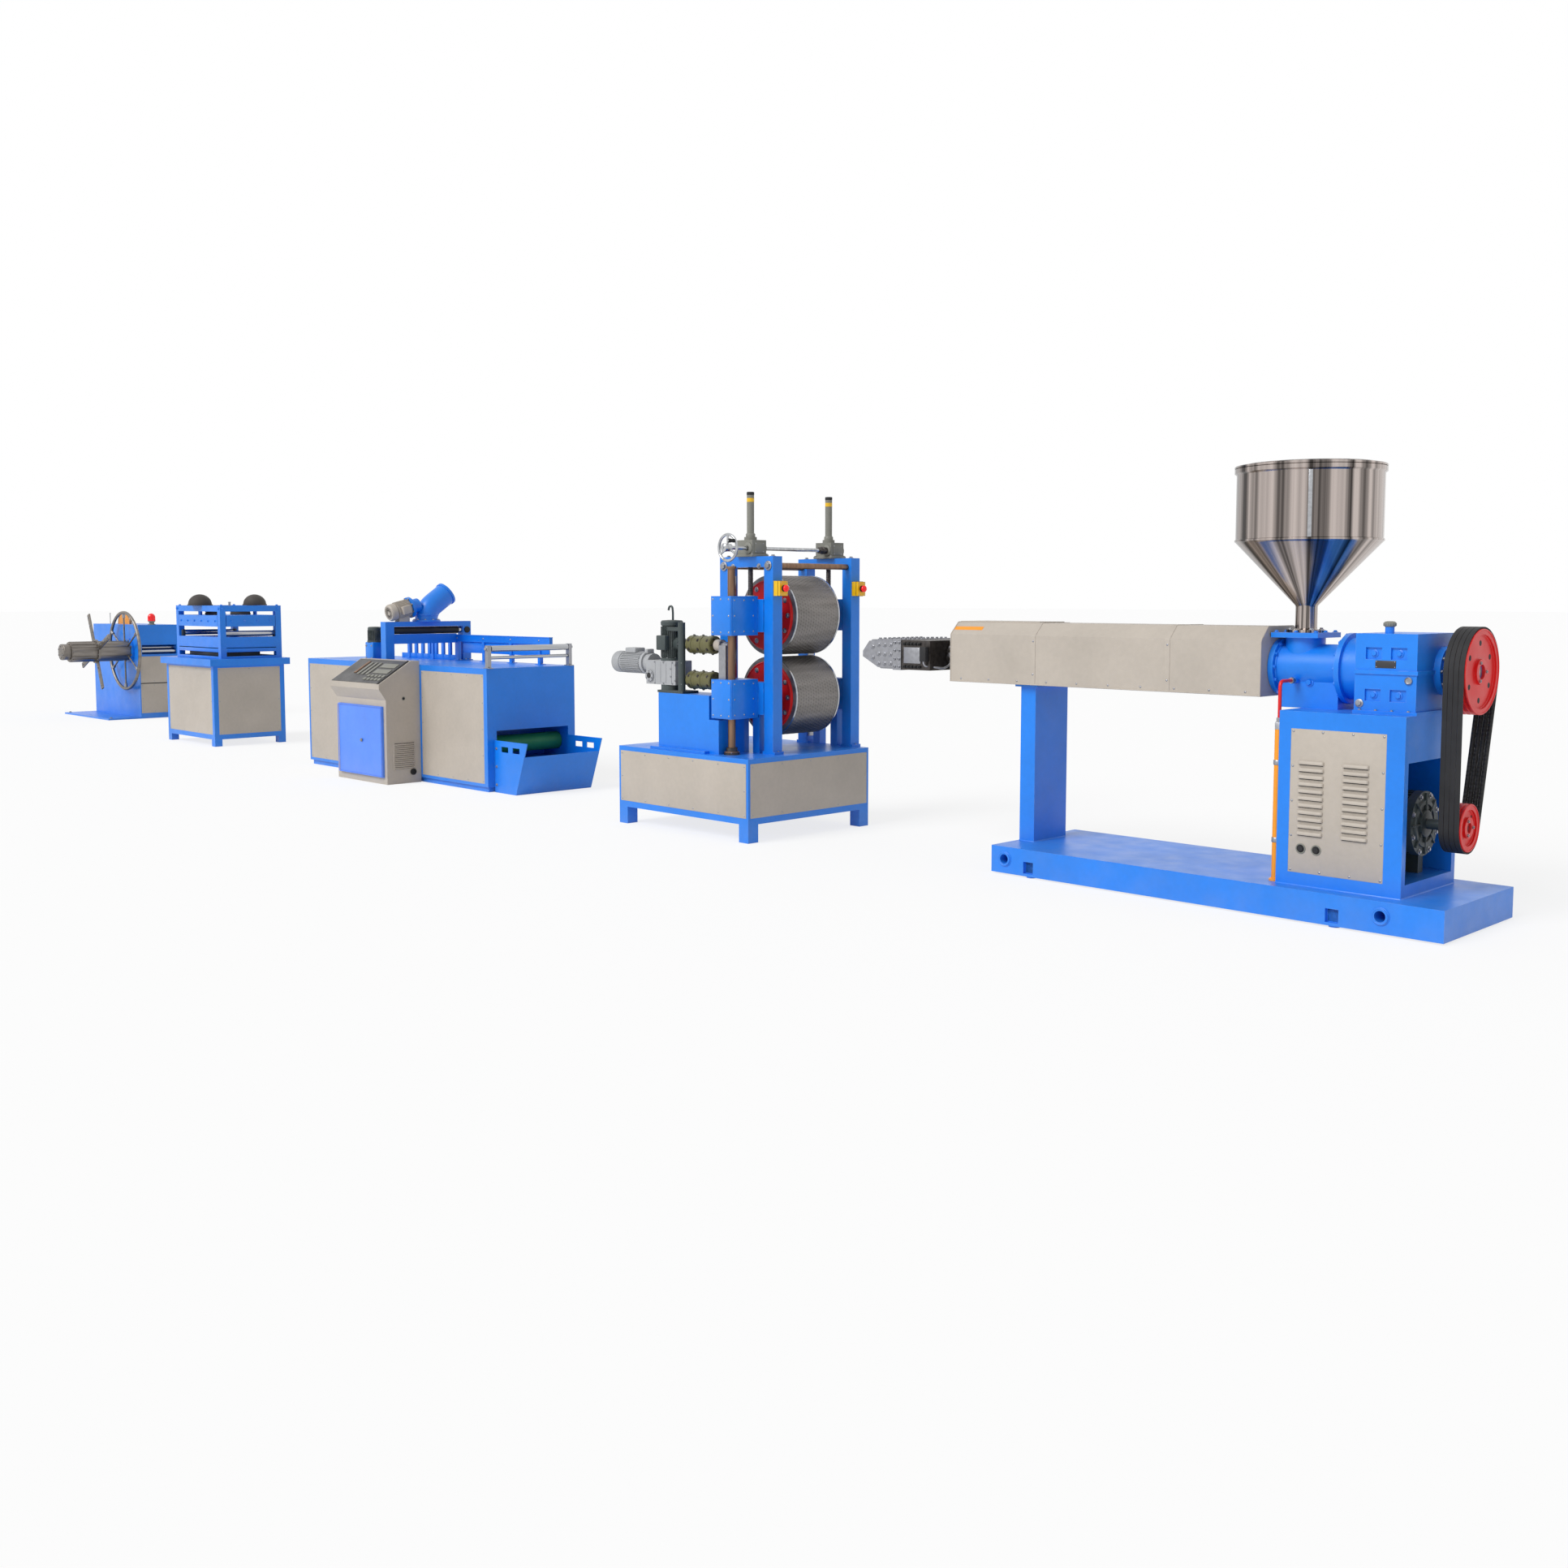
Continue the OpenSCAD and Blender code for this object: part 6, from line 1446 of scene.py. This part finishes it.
class LINE_OT_blower(bpy.types.Operator):
    """Blower on its portal: leaning duct, motor with fins and cowl, portal roller, shoes and lift drive"""

    bl_idname = "line.blower"
    bl_label = "Blower"

    def execute(self, context):
        fins = context.scene.line_fittings.motor_fins
        self.duct()
        self.motor(fins)
        self.portal()
        self.lift_drive(fins)
        return {"FINISHED"}

    def duct(self):
        """A circle carried up from the portal and round one bend, with a flange below, a lip at the mouth and a dark
        disc of painted shade inside it.
        """
        lo, hi = box("blower_duct")
        wide = (hi[0] - lo[0]) / 2
        r = wide - 0.022
        foot = lo + (wide, wide, 0)
        path = rounded_path(foot + [(0, 0, 0.001), (0, 0, 0.1), (0, 0.2, 0.24)], 0.085, 16)
        ahead = path[-1] - path[-2]
        ahead /= np.linalg.norm(ahead)
        tube = swept(path, circle(r, 72), (1, 0, 0))
        lip = swept([path[-1] - 0.018 * ahead, path[-1] + 0.002 * ahead], circle(r + 0.007, 72), (1, 0, 0))
        flange = lathe([(wide, 0), (wide, 0.012), (wide - 0.002, 0.014), (r, 0.014)], foot, "z", 72)
        band = lathe([(r, 0.05), (r + 0.006, 0.051), (r + 0.006, 0.063), (r, 0.064)], foot, "z", 72)
        piece("duct_tube", "blue_paint", [tube, lip, flange, band], replaces=("blower_duct",))
        # dark disc inside the mouth: painted shade in the duct
        mouth = swept([path[-1], path[-1] + 0.003 * ahead], circle(r - 0.012, 72), (1, 0, 0))
        piece("duct_mouth", "black_rubber", [mouth])
        spots = rounds(foot + (0, 0, 0.014), "z", wide - 0.011, 10)
        piece("duct_bolts", "bare_steel", hex_bolts(spots, "z", 0.0065))

    def motor(self, fins):
        """Turned and finned bodies along Y, all leaning by one angle about a level line across the portal."""
        lo, hi = box("blower_motor")
        x, end, top = (lo[0] + hi[0]) / 2, hi[1] - 0.004, lo[2]
        z, lean = top + 0.102, 0.24

        def leaning(shell):
            return tilted(shell, "x", lean, (x, end - 0.12, z))

        def along(shell, start):
            return leaning(aim(shell, "y") + (x, end + start, z))

        core = turned([(0.05, 0), (0.072, 0.002), (0.072, 0.128), (0.05, 0.13)], 48)
        cowl = [(0.045, 0.003), (0.06, -0.002), (0.068, 0.006), (0.071, 0.016), (0.071, 0.055), (0.06, 0.058)]
        terminals = slab((x + 0.05, end - 0.165, z - 0.035), (x + 0.1, end - 0.085, z + 0.035), 0.006)
        saddle = slab((x - 0.04, end - 0.17, top - 0.001), (x + 0.04, end - 0.07, z - 0.03), 0.004)
        piece("blower_motor_dress", "cream_paint", [
            along(core, -0.19), along(finned(0.0765, 0.118, fins, 0.008, 0.06), -0.184),
            along(turned(cowl, 64), -0.25), leaning(terminals), saddle,
        ], replaces=("blower_motor",))
        flange = turned([(0.06, 0), (0.0885, 0.001), (0.0885, 0.024), (0.06, 0.0255)], 64)
        neck = turned([(0.06, 0), (0.06, 0.075)], 48)
        piece("blower_flange", "blue_paint", [along(flange, -0.06), along(neck, -0.04)])
        # dark slots in the cowl: painted shade in the vents
        slot = slab((-0.0016, 0.02, -0.001), (0.0016, 0.048, 0.0012), 0.0006)
        piece("blower_vents", "black_rubber", [along(spin(slot, "z", 0.0, around(18)), -0.2525)])
        bolts = hex_bolts(rounds((0, 0, 0), "-z", 0.08, 8, 0.5), "-z", 0.0065)
        piece("blower_bolts", "bare_steel", [along(shell, -0.06) for shell in bolts])

    def portal(self):
        """A dark roller with a bright sleeve in the portal's slot, a bearing cap on the far post, and foot plates."""
        lo, hi = box("portal_frame")
        post, mid = hi[0] - lo[0], (lo[0] + hi[0]) / 2
        y0, y1, z, r, sleeve = lo[1] + post, hi[1] - post, hi[2] - 0.074, 0.0305, 0.03
        run = y1 - y0 - sleeve
        roller = [(0.012, 0), (r - 0.001, 0.001), (r, 0.002), (r, run - 0.001), (0.012, run)]
        piece("portal_roller", "black_rubber", [lathe(roller, (mid, y0, z), "y")])
        tube = [(r - 0.004, 0), (r - 0.004, sleeve)]
        piece("portal_sleeve", "bright_roller", [lathe(tube, (mid, y1 - sleeve, z), "y")])
        cap = [(0.027, -0.001), (0.027, 0.009), (0.02, 0.012)]
        piece("portal_cap", "black_rubber", [lathe(cap, (hi[0], hi[1] - post / 2, z), "x", 36)])
        shoe = slab((lo[0] - 0.03, 0, lo[2] - 0.001), (hi[0] + 0.03, post, lo[2] + 0.008), 0.002)
        piece("portal_shoes", "blue_paint", [put(shoe, grid(0, (lo[1], y1), 0))])
        rows = (lo[1] + 0.02, y0 - 0.02, y1 + 0.02, hi[1] - 0.02)
        spots = grid((lo[0] - 0.012, hi[0] + 0.012), rows, lo[2] + 0.008)
        piece("portal_bolts", "bare_steel", hex_bolts(spots, "z", 0.006))

    def lift_drive(self, fins):
        """A blue gear case on the deck behind the portal's front post, with an upright finned motor on it."""
        at = box("portal_frame")[0] + (-0.235, 0.078, 0)
        piece("lift_case", "blue_paint", [slab((-0.066, -0.06, -0.001), (0.066, 0.06, 0.165), 0.008) + at])
        body = finned(0.062, 0.09, fins, 0.006, 0.05) + at + (0, 0, 0.176)
        ends = lathe([(0.05, 0.1649), (0.066, 0.165), (0.066, 0.176), (0.055, 0.178)], at)
        cowl = lathe([(0.05, 0.264), (0.06, 0.266), (0.06, 0.286), (0.052, 0.294), (0.02, 0.296)], at)
        piece("lift_motor", "dark_paint", [body, ends, cowl])
        spots = grid((-0.045, 0.045), -0.06, (0.03, 0.135)) + at
        piece("lift_bolts", "bare_steel", hex_bolts(spots, "-y", 0.006))


class LINE_OT_deck(bpy.types.Operator):
    """Fittings on and round the haul-off: rail shoes and infill, inlet stand, tray rims and feed roller ends"""

    bl_idname = "line.deck"
    bl_label = "Haul-off deck"

    def execute(self, context):
        bolts = self.rail() + self.inlet() + self.tray()
        piece("deck_bolts", "bare_steel", bolts)
        lo, hi = box("feed_roller")
        x, _, z = middle("feed_roller")
        neck = 0.037
        cap = [(0.0205, -0.001), (0.062, -0.001), (0.062, 0.003), (0.05, 0.006), (0.0205, 0.006)]
        caps = [lathe(cap, (x, y, z), face, 64) for y, face in ((lo[1] + neck, "-y"), (hi[1] - neck, "y"))]
        piece("feed_roller_ends", "dark_steel", [], caps, body="haul_feed_roller")
        return {"FINISHED"}

    def rail(self):
        """Shoes, hems, infill sheet, kerb and pickets of the back rail. Returns its bolts."""
        lo, hi = box("back_rail")
        y, portal = (lo[1] + hi[1]) / 2, middle("portal_frame")[0]
        under = hi[2] - 0.056
        posts = np.linspace(lo[0] + 0.15, hi[0] - 0.15, 6)
        shoes = put(slab((-0.035, -0.03, -0.001), (0.035, 0.03, 0.006), 0.002), grid(posts, y, lo[2]))
        z = hi[2] - 0.003
        hems = [swept([(lo[0], e, z), (hi[0], e, z)], circle(0.0035, 8)) for e in (lo[1], hi[1])]
        piece("rail_shoes", "blue_paint", [shoes, *hems])
        infill = slab((portal + 0.1, y - 0.004, lo[2] + 0.07), (hi[0] - 0.02, y + 0.004, under), 0.002)
        kerb = slab((lo[0] + 0.02, y - 0.008, lo[2] - 0.001), (portal, y + 0.008, lo[2] + 0.045))
        picket = slab((-0.021, -0.01, lo[2]), (0.021, 0.01, under))
        pickets = put(picket, grid(np.linspace(posts[0], portal, 8), y, 0))
        piece("rail_infill", "blue_paint", [infill, kerb, pickets])
        spots = grid(np.concatenate([posts - 0.026, posts + 0.026]), y, lo[2] + 0.006)
        return hex_bolts(spots, "z", 0.0055) + button_screws(grid(posts, lo[1], hi[2] - 0.03), "-y", 0.008)

    def inlet(self):
        """Lower bar and foot plates of the inlet roller's stand. Returns its bolts."""
        lo, hi = box("inlet_stand")
        mid, axis, leg = (lo[0] + hi[0]) / 2, hi[2] - 0.026, 0.03
        run = hi[1] - lo[1] - 2 * leg
        bar = [(0.006, 0), (0.013, 0.001), (0.013, run - 0.001), (0.006, run)]
        piece("inlet_bar", "bright_roller", [lathe(bar, (mid, lo[1] + leg, hi[2] - 0.095), "y", 32)])
        plate = slab((lo[0] - 0.022, -0.004, lo[2] - 0.001), (hi[0] + 0.022, 0.034, lo[2] + 0.006), 0.002)
        piece("inlet_plates", "bare_steel", [put(plate, grid(0, (lo[1], hi[1] - leg), 0))])
        feet = grid((lo[0] - 0.012, hi[0] + 0.012), (lo[1] + leg / 2, hi[1] - leg / 2), lo[2] + 0.006)
        return both_faces(hex_bolts, mid, lo, hi, axis, 0.014) + hex_bolts(feet, "z", 0.0055)

    def tray(self):
        """Rims of the catch tray's sides and of the slots in them. Returns its bolts."""
        lo, hi = box("catch_tray")
        rims, slots, high = [], [], (hi[2] - 0.085, hi[2] - 0.035)
        for y in (lo[1] + 0.004, hi[1] - 0.004):
            rims.append(swept([(lo[0], y, hi[2]), (hi[0] - 0.002, y, hi[2])], circle(0.0055, 10)))
            slots += [bead("y", y, (x, x + 0.1), high, 0.006, 0.0048) for x in (lo[0] + 0.09, lo[0] + 0.24)]
        piece("tray_rims", "blue_paint", rims, slots)
        return hex_bolts(grid(lo[0] + 0.03, lo[1], lo[2] + np.array([0.06, 0.2, 0.34])), "-y", 0.008)


class LINE_OT_press(bpy.types.Operator):
    """Press puller: domes, bellows, platen skirts, a dark bed of painted shade under the frame, painted bolts, nip
    rollers and machine feet
    """

    bl_idname = "line.press"
    bl_label = "Press puller"

    def execute(self, context):
        lo, hi = box("press_frame")
        p0, p1 = box("upper_platen")
        bolt, post, platen, gap = context.scene.line_fittings.frame_bolt, 0.06, 0.115, 0.107
        mid, top = (lo[0] + hi[0]) / 2, hi[2]
        rows, posts = (lo[1] + post / 2, hi[1] - post / 2), (lo[0] + post / 2, hi[0] - post / 2)
        foot_r, dome_r, foot, rise, bore = 0.124, 0.116, 0.012, 0.104, 0.075
        arc = np.linspace(0, 0.97, 12) * math.pi / 2
        dome = [(0.004, bore), (0.03, bore), (0.03, 0), (foot_r, 0), (foot_r, foot)]
        dome += zip(dome_r * np.cos(arc), foot + rise * np.sin(arc))
        domes = lathe(dome, grid(mid, rows, top), "z", 96)
        piece("press_domes", "dark_rubber", [domes], replaces=("press_cylinders",))
        bellows = [
            (0.07, -0.001), (0.1, 0.001), (0.104, 0.014), (0.096, 0.026), (0.104, 0.04), (0.096, 0.054),
            (0.07, 0.056),
        ]
        inner = grid(mid, (lo[1] + post + 0.13, hi[1] - post - 0.13), p0[2] + platen)
        piece("press_bellows", "dark_rubber", [lathe(bellows, inner, "z", 64)], body="press_head")
        bolts = hex_bolts(grid(posts, rows, top), "z", bolt)
        bolts += hex_bolts(grid(posts, lo[1], top - 0.03), "-y", bolt)
        bolts += hex_bolts(grid(hi[0], rows, top - 0.03), "x", bolt)
        piece("press_bolts", "blue_paint", bolts)
        pin = [(0.011, -0.002), (0.011, 0.03), (0.015, 0.03), (0.015, 0.037), (0.006, 0.039)]
        piece("press_pin", "bare_steel", [lathe(pin, (mid + 0.309, rows[0] + 0.176, top), "z", 24)])
        z = p0[2] + 0.057
        fits = hex_bolts(grid(np.linspace(p0[0] + 0.12, p1[0] - 0.12, 6), p0[1], z), "-y")
        fits += hex_bolts(grid(p1[0], np.linspace(p0[1] + 0.12, p1[1] - 0.12, 4), z), "x")
        piece("platen_bolts", "blue_paint", fits, body="press_head")
        skirts, (x0, y0, z0), (x1, y1, _) = [], lo, hi
        a, thick = post - 0.002, 0.01
        for low, high in ((z0 - 0.001, z0 + 0.022), (z0 + 0.064, z0 + 0.112)):
            skirts += [slab((x0 + a, y, low), (x1 - a, y + thick, high), 0.002) for y in (y0, y1 - thick)]
            skirts += [slab((x, y0 + a, low), (x + thick, y1 - a, high), 0.002) for x in (x0, x1 - thick)]
        piece("press_skirts", "blue_paint", skirts)
        # dark block low inside the frame: painted shade under the press, seen between the skirts
        bed = slab((x0 + 0.1, y0 + 0.09, z0 - 0.001), (x1 - 0.16, y1 - 0.16, z0 + 0.07), 0.004)
        piece("press_bed", "dark_paint", [bed])
        t0, t1 = box("press_panels")
        spots = grid((t0[0] + 0.028, t1[0] - 0.028), (t0[1] + 0.028, t1[1] - 0.028), 0)
        disc = [(0.026, 0.0005), (0.028, 0.003), (0.028, 0.009), (0.024, 0.014), (0.012, 0.016)]
        piece("press_feet", "dark_steel", [lathe(disc, spots, "z", 32)])
        nip, ends, run = p0[2] - gap + 0.036, (p0[0] + 0.05, p1[0] - 0.05), p1[1] - p0[1] - 2 * post
        end = [(0.012, 0), (0.026, 0.001), (0.028, 0.004)]
        roller = end + [(r, run - y) for r, y in end[::-1]]
        piece("press_rollers", "bright_roller", [lathe(roller, grid(ends, p0[1] + post, nip), "y", 40)])
        seat = slab((-0.03, -0.018, -0.036), (0.03, 0.018, 0.03), 0.004)
        seats = grid(ends, (p0[1] + 0.044, p1[1] - 0.044), nip)
        piece("roller_blocks", "dark_paint", [put(seat, seats)])
        return {"FINISHED"}


class LINE_OT_winder(bpy.types.Operator):
    """Winder: beacon, orange half disc with its rim, rod, slot edge, and bolts of the flange and base plate"""

    bl_idname = "line.winder"
    bl_label = "Winder"

    def execute(self, context):
        lo, hi = box("winder_body")
        spot = middle("beacon")
        spot[2] = top = hi[2]
        arc = np.linspace(0, 0.97, 9) * math.pi / 2
        r, seat, shoulder, flutes = 0.045, 0.046, 0.092, 24
        lens = [(r - 0.003, seat), (r, seat + 0.003), *zip(r * np.cos(arc), shoulder + 0.05 * np.sin(arc))]
        lens = turned(lens, 4 * flutes)
        lens[:, :, :2] *= (1 - 0.02 * (np.arange(4 * flutes) % 4 < 2))[None, :, None]
        piece("beacon_lens", "red_lens", [lens + spot], replaces=("beacon",))
        base = [(0.046, 0.0), (0.046, 0.006), (0.03, 0.01), (0.03, 0.036), (0.043, 0.038)]
        base += [(0.043, seat + 0.001), (0.03, seat + 0.001)]
        piece("beacon_base", "grey_casting", [lathe(base, spot, "z", 64)])
        across, along, wide, tall, thick = spot[1] + 0.008, lo[0] + 0.5415, 0.19, 0.15, 0.024
        half = np.linspace(0, math.pi, 40)
        rim = np.stack([along + wide * np.cos(half), 0 * half + across, top + tall * np.sin(half)], -1)
        piece("top_guard", "orange_paint", [np.stack([rim - (0, thick / 2, 0), rim + (0, thick / 2, 0)])])
        piece("top_guard_rim", "brown_steel", [swept(rim, circle(0.015), (0, 1, 0))])
        rod = [(0.006, -0.002), (0.006, 0.13), (0.009, 0.13), (0.009, 0.137), (0.003, 0.138)]
        piece("top_rod", "chrome", [lathe(rod, (lo[0] + 0.054, across, top), "z", 16)])
        x, _, z = middle("reel")
        bolts = hex_bolts(rounds((x, box("reel")[1][1] - 0.028, z), "-y", 0.135, 8, 0.5), "-y")
        bolts += hex_bolts(grid((lo[0] + 0.05, hi[0] - 0.05), lo[1] + 0.05, lo[2] + 0.02), "z", 0.012)
        piece("winder_bolts", "bare_steel", bolts)
        a, b = box("winder_rollers")
        edge = bead("x", hi[0], (a[1], b[1]), (a[2] - 0.018, b[2] + 0.017), 0.006, 0.006)
        piece("slot_edge", "blue_paint", [], [edge])
        return {"FINISHED"}


class LINE_OT_reel(bpy.types.Operator):
    """Winding reel: ribs and leaves of the mandrel, spider blades, ring, spoke sockets and bolts"""

    bl_idname = "line.reel"
    bl_label = "Winding reel"

    def execute(self, context):
        lo, hi = box("reel")
        axis = middle("reel") * (1, 0, 1)
        tip, ring, spider = lo[1], hi[1] - 0.06, hi[1] - 0.413
        reach, first, half = (hi[2] - lo[2]) / 2, math.radians(67), 0.0095
        rib = slab((-0.009, tip + 0.094, 0.116), (0.009, ring - 0.02, 0.125))
        leaf = slab((-0.03, tip + 0.1, 0.118), (0.03, spider - 0.03, 0.1225), 0.0015)
        shells = [spin(rib, "y", 0.0, around(6)) + axis, spin(leaf, "y", 0.0, around(6) + TURN / 12) + axis]
        nose = [
            (0.03, -0.008), (0.06, -0.006), (0.086, 0.0), (0.098, 0.012), (0.098, 0.03), (0.0965, 0.034),
            (0.0965, 0.09), (0.08, 0.094),
        ]
        shells.append(lathe(nose, axis + (0, tip, 0), "y", 96))
        blade = slab((-0.033, spider - half, 0.13), (0.033, spider + half, reach - 0.001), 0.004)
        blades = spin(blade, "y", 0.0, first + around(4)) + axis
        hub = axis + (0, ring, 0)
        rim = fixed(torus(reach - 0.015, 0.019, 144, 16), hub, "y")
        clasp = turned([(0.0115, 0), (0.019, 0.002), (0.019, 0.05), (0.0115, 0.052)], 24) + (0, 0, 0.405)
        piece("mandrel_ribs", "reel_steel", shells, body="winding_reel")
        piece("spider_blades", "reel_steel", [blades], body="winding_reel")
        piece("ring_hoop", "reel_steel", [], [rim], body="winding_reel")
        piece("spoke_sockets", "bare_steel", [], [spin(clasp, "y", 0.0, around(6)) + hub], body="winding_reel")
        bolts = cap_screws(rounds(axis + (0, tip - 0.004, 0), "-y", 0.07, 6), "-y")
        bolts += hex_bolts(rounds(axis + (0, spider - 0.013, 0), "-y", 0.134, 12, 0.5), "-y", 0.006)
        for run in (0.22, 0.34, 0.45):
            bolts += hex_bolts(rounds(axis + (0, spider - half, 0), "-y", run, 4, -4 * first / TURN), "-y")
        piece("reel_bolts", "bare_steel", bolts, body="winding_reel")
        return {"FINISHED"}


class LINE_OT_stage(bpy.types.Operator):
    """Sets the floor, the lights, the white surround and the camera"""

    bl_idname = "line.stage"
    bl_label = "Stage"

    def execute(self, context):
        scene, stage = context.scene, context.scene.line_stage
        scene.view_settings.view_transform = "Standard"
        self.surround(scene, stage)
        self.floor(scene, stage)
        sun = bpy.data.lights.new("soft_front_light", "SUN")
        sun.energy, sun.angle = stage.key, stage.softness
        lamp = bpy.data.objects.new("soft_front_light", sun)
        lamp.rotation_euler = Vector(stage.light_way).to_track_quat("-Z", "Y").to_euler()
        scene.collection.objects.link(lamp)
        camera = bpy.data.cameras.new("line_camera")
        camera.lens, camera.sensor_width, camera.shift_y, camera.clip_end = stage.lens, 36.0, stage.shift, 300.0
        eye = bpy.data.objects.new("line_camera", camera)
        eye.location = stage.eye
        ahead = Vector((
            -math.cos(stage.yaw) * math.cos(stage.pitch),
            math.sin(stage.yaw) * math.cos(stage.pitch),
            -math.sin(stage.pitch),
        ))
        eye.rotation_euler = ahead.to_track_quat("-Z", "Y").to_euler()
        scene.collection.objects.link(eye)
        scene.camera = eye
        return {"FINISHED"}

    def surround(self, scene, stage):
        """White for what is seen, soft light for what is lit."""
        world = bpy.data.worlds.new("surround")
        scene.world = world
        world.use_nodes = True
        tree = world.node_tree
        back = tree.nodes["Background"]
        back.inputs["Color"].default_value = (1, 1, 1, 1)
        path = tree.nodes.new("ShaderNodeLightPath")
        seen = reckon(tree, "MAXIMUM", path.outputs["Is Camera Ray"], path.outputs["Is Glossy Ray"])
        seen = reckon(tree, "MAXIMUM", seen, path.outputs["Is Transmission Ray"])
        tree.links.new(spread(tree, seen, 0.0, 1.0, stage.ambient, 1.0), back.inputs["Strength"])

    def floor(self, scene, stage):
        """A wide pale floor that keeps the shadows and fades into the white surround."""
        far, drop = 160.0, -0.001
        mesh = bpy.data.meshes.new("floor")
        corners = [(-far, -far, drop), (far, -far, drop), (far, far, drop), (-far, far, drop)]
        mesh.from_pydata(corners, [], [(0, 1, 2, 3)])
        floor = bpy.data.objects.new("floor", mesh)
        scene.collection.objects.link(floor)
        material = bpy.data.materials.new("pale_floor")
        material.use_nodes = True
        tree = material.node_tree
        shader = tree.nodes["Principled BSDF"]
        shader.inputs["Base Color"].default_value = (0.95, 0.95, 0.95, 1)
        shader.inputs["Roughness"].default_value = 0.8
        shader.inputs["Specular IOR Level"].default_value = 0.1
        glow = tree.nodes.new("ShaderNodeEmission")
        mix = tree.nodes.new("ShaderNodeMixShader")
        path = tree.nodes.new("ShaderNodeLightPath")
        seen = reckon(tree, "MAXIMUM", path.outputs["Is Camera Ray"], path.outputs["Is Glossy Ray"])
        tree.links.new(reckon(tree, "MULTIPLY", seen, stage.floor_glow), mix.inputs[0])
        tree.links.new(shader.outputs[0], mix.inputs[1])
        tree.links.new(glow.outputs[0], mix.inputs[2])
        tree.links.new(mix.outputs[0], tree.nodes["Material Output"].inputs["Surface"])
        mesh.materials.append(material)


class LINE_PT_sidebar(bpy.types.Panel):
    """Lists the operators of the line"""

    bl_label = "Drainage board line"
    bl_space_type = "VIEW_3D"
    bl_region_type = "UI"
    bl_category = "Line"

    def draw(self, context):
        for operator in OPERATORS:
            self.layout.operator(operator.bl_idname)


GROUPS = {"line_finishes": LineFinishes, "line_fittings": LineFittings, "line_stage": LineStage}
OPERATORS = [
    LINE_OT_finishes, LINE_OT_base, LINE_OT_cover, LINE_OT_die, LINE_OT_hopper, LINE_OT_throat, LINE_OT_gearbox,
    LINE_OT_louvres, LINE_OT_drive, LINE_OT_belts, LINE_OT_pipes, LINE_OT_drums, LINE_OT_bearing_boxes,
    LINE_OT_side_frames, LINE_OT_jacks, LINE_OT_drum_drives, LINE_OT_stops, LINE_OT_panels, LINE_OT_console,
    LINE_OT_blower, LINE_OT_deck, LINE_OT_press, LINE_OT_winder, LINE_OT_reel, LINE_OT_stage,
]


def register():
    """Registers the classes and hangs the property groups on the scene."""
    for cls in [*GROUPS.values(), *OPERATORS, LINE_PT_sidebar]:
        bpy.utils.register_class(cls)
    for name, group in GROUPS.items():
        setattr(bpy.types.Scene, name, bpy.props.PointerProperty(type=group))


def unregister():
    """Takes the property groups and the classes away again."""
    for name in GROUPS:
        delattr(bpy.types.Scene, name)
    for cls in [LINE_PT_sidebar, *reversed(OPERATORS), *reversed(GROUPS.values())]:
        bpy.utils.unregister_class(cls)


def main():
    """Runs every operator in order."""
    register()
    for operator in OPERATORS:
        group, name = operator.bl_idname.split(".")
        getattr(getattr(bpy.ops, group), name)()


if __name__ == "__main__":
    main()
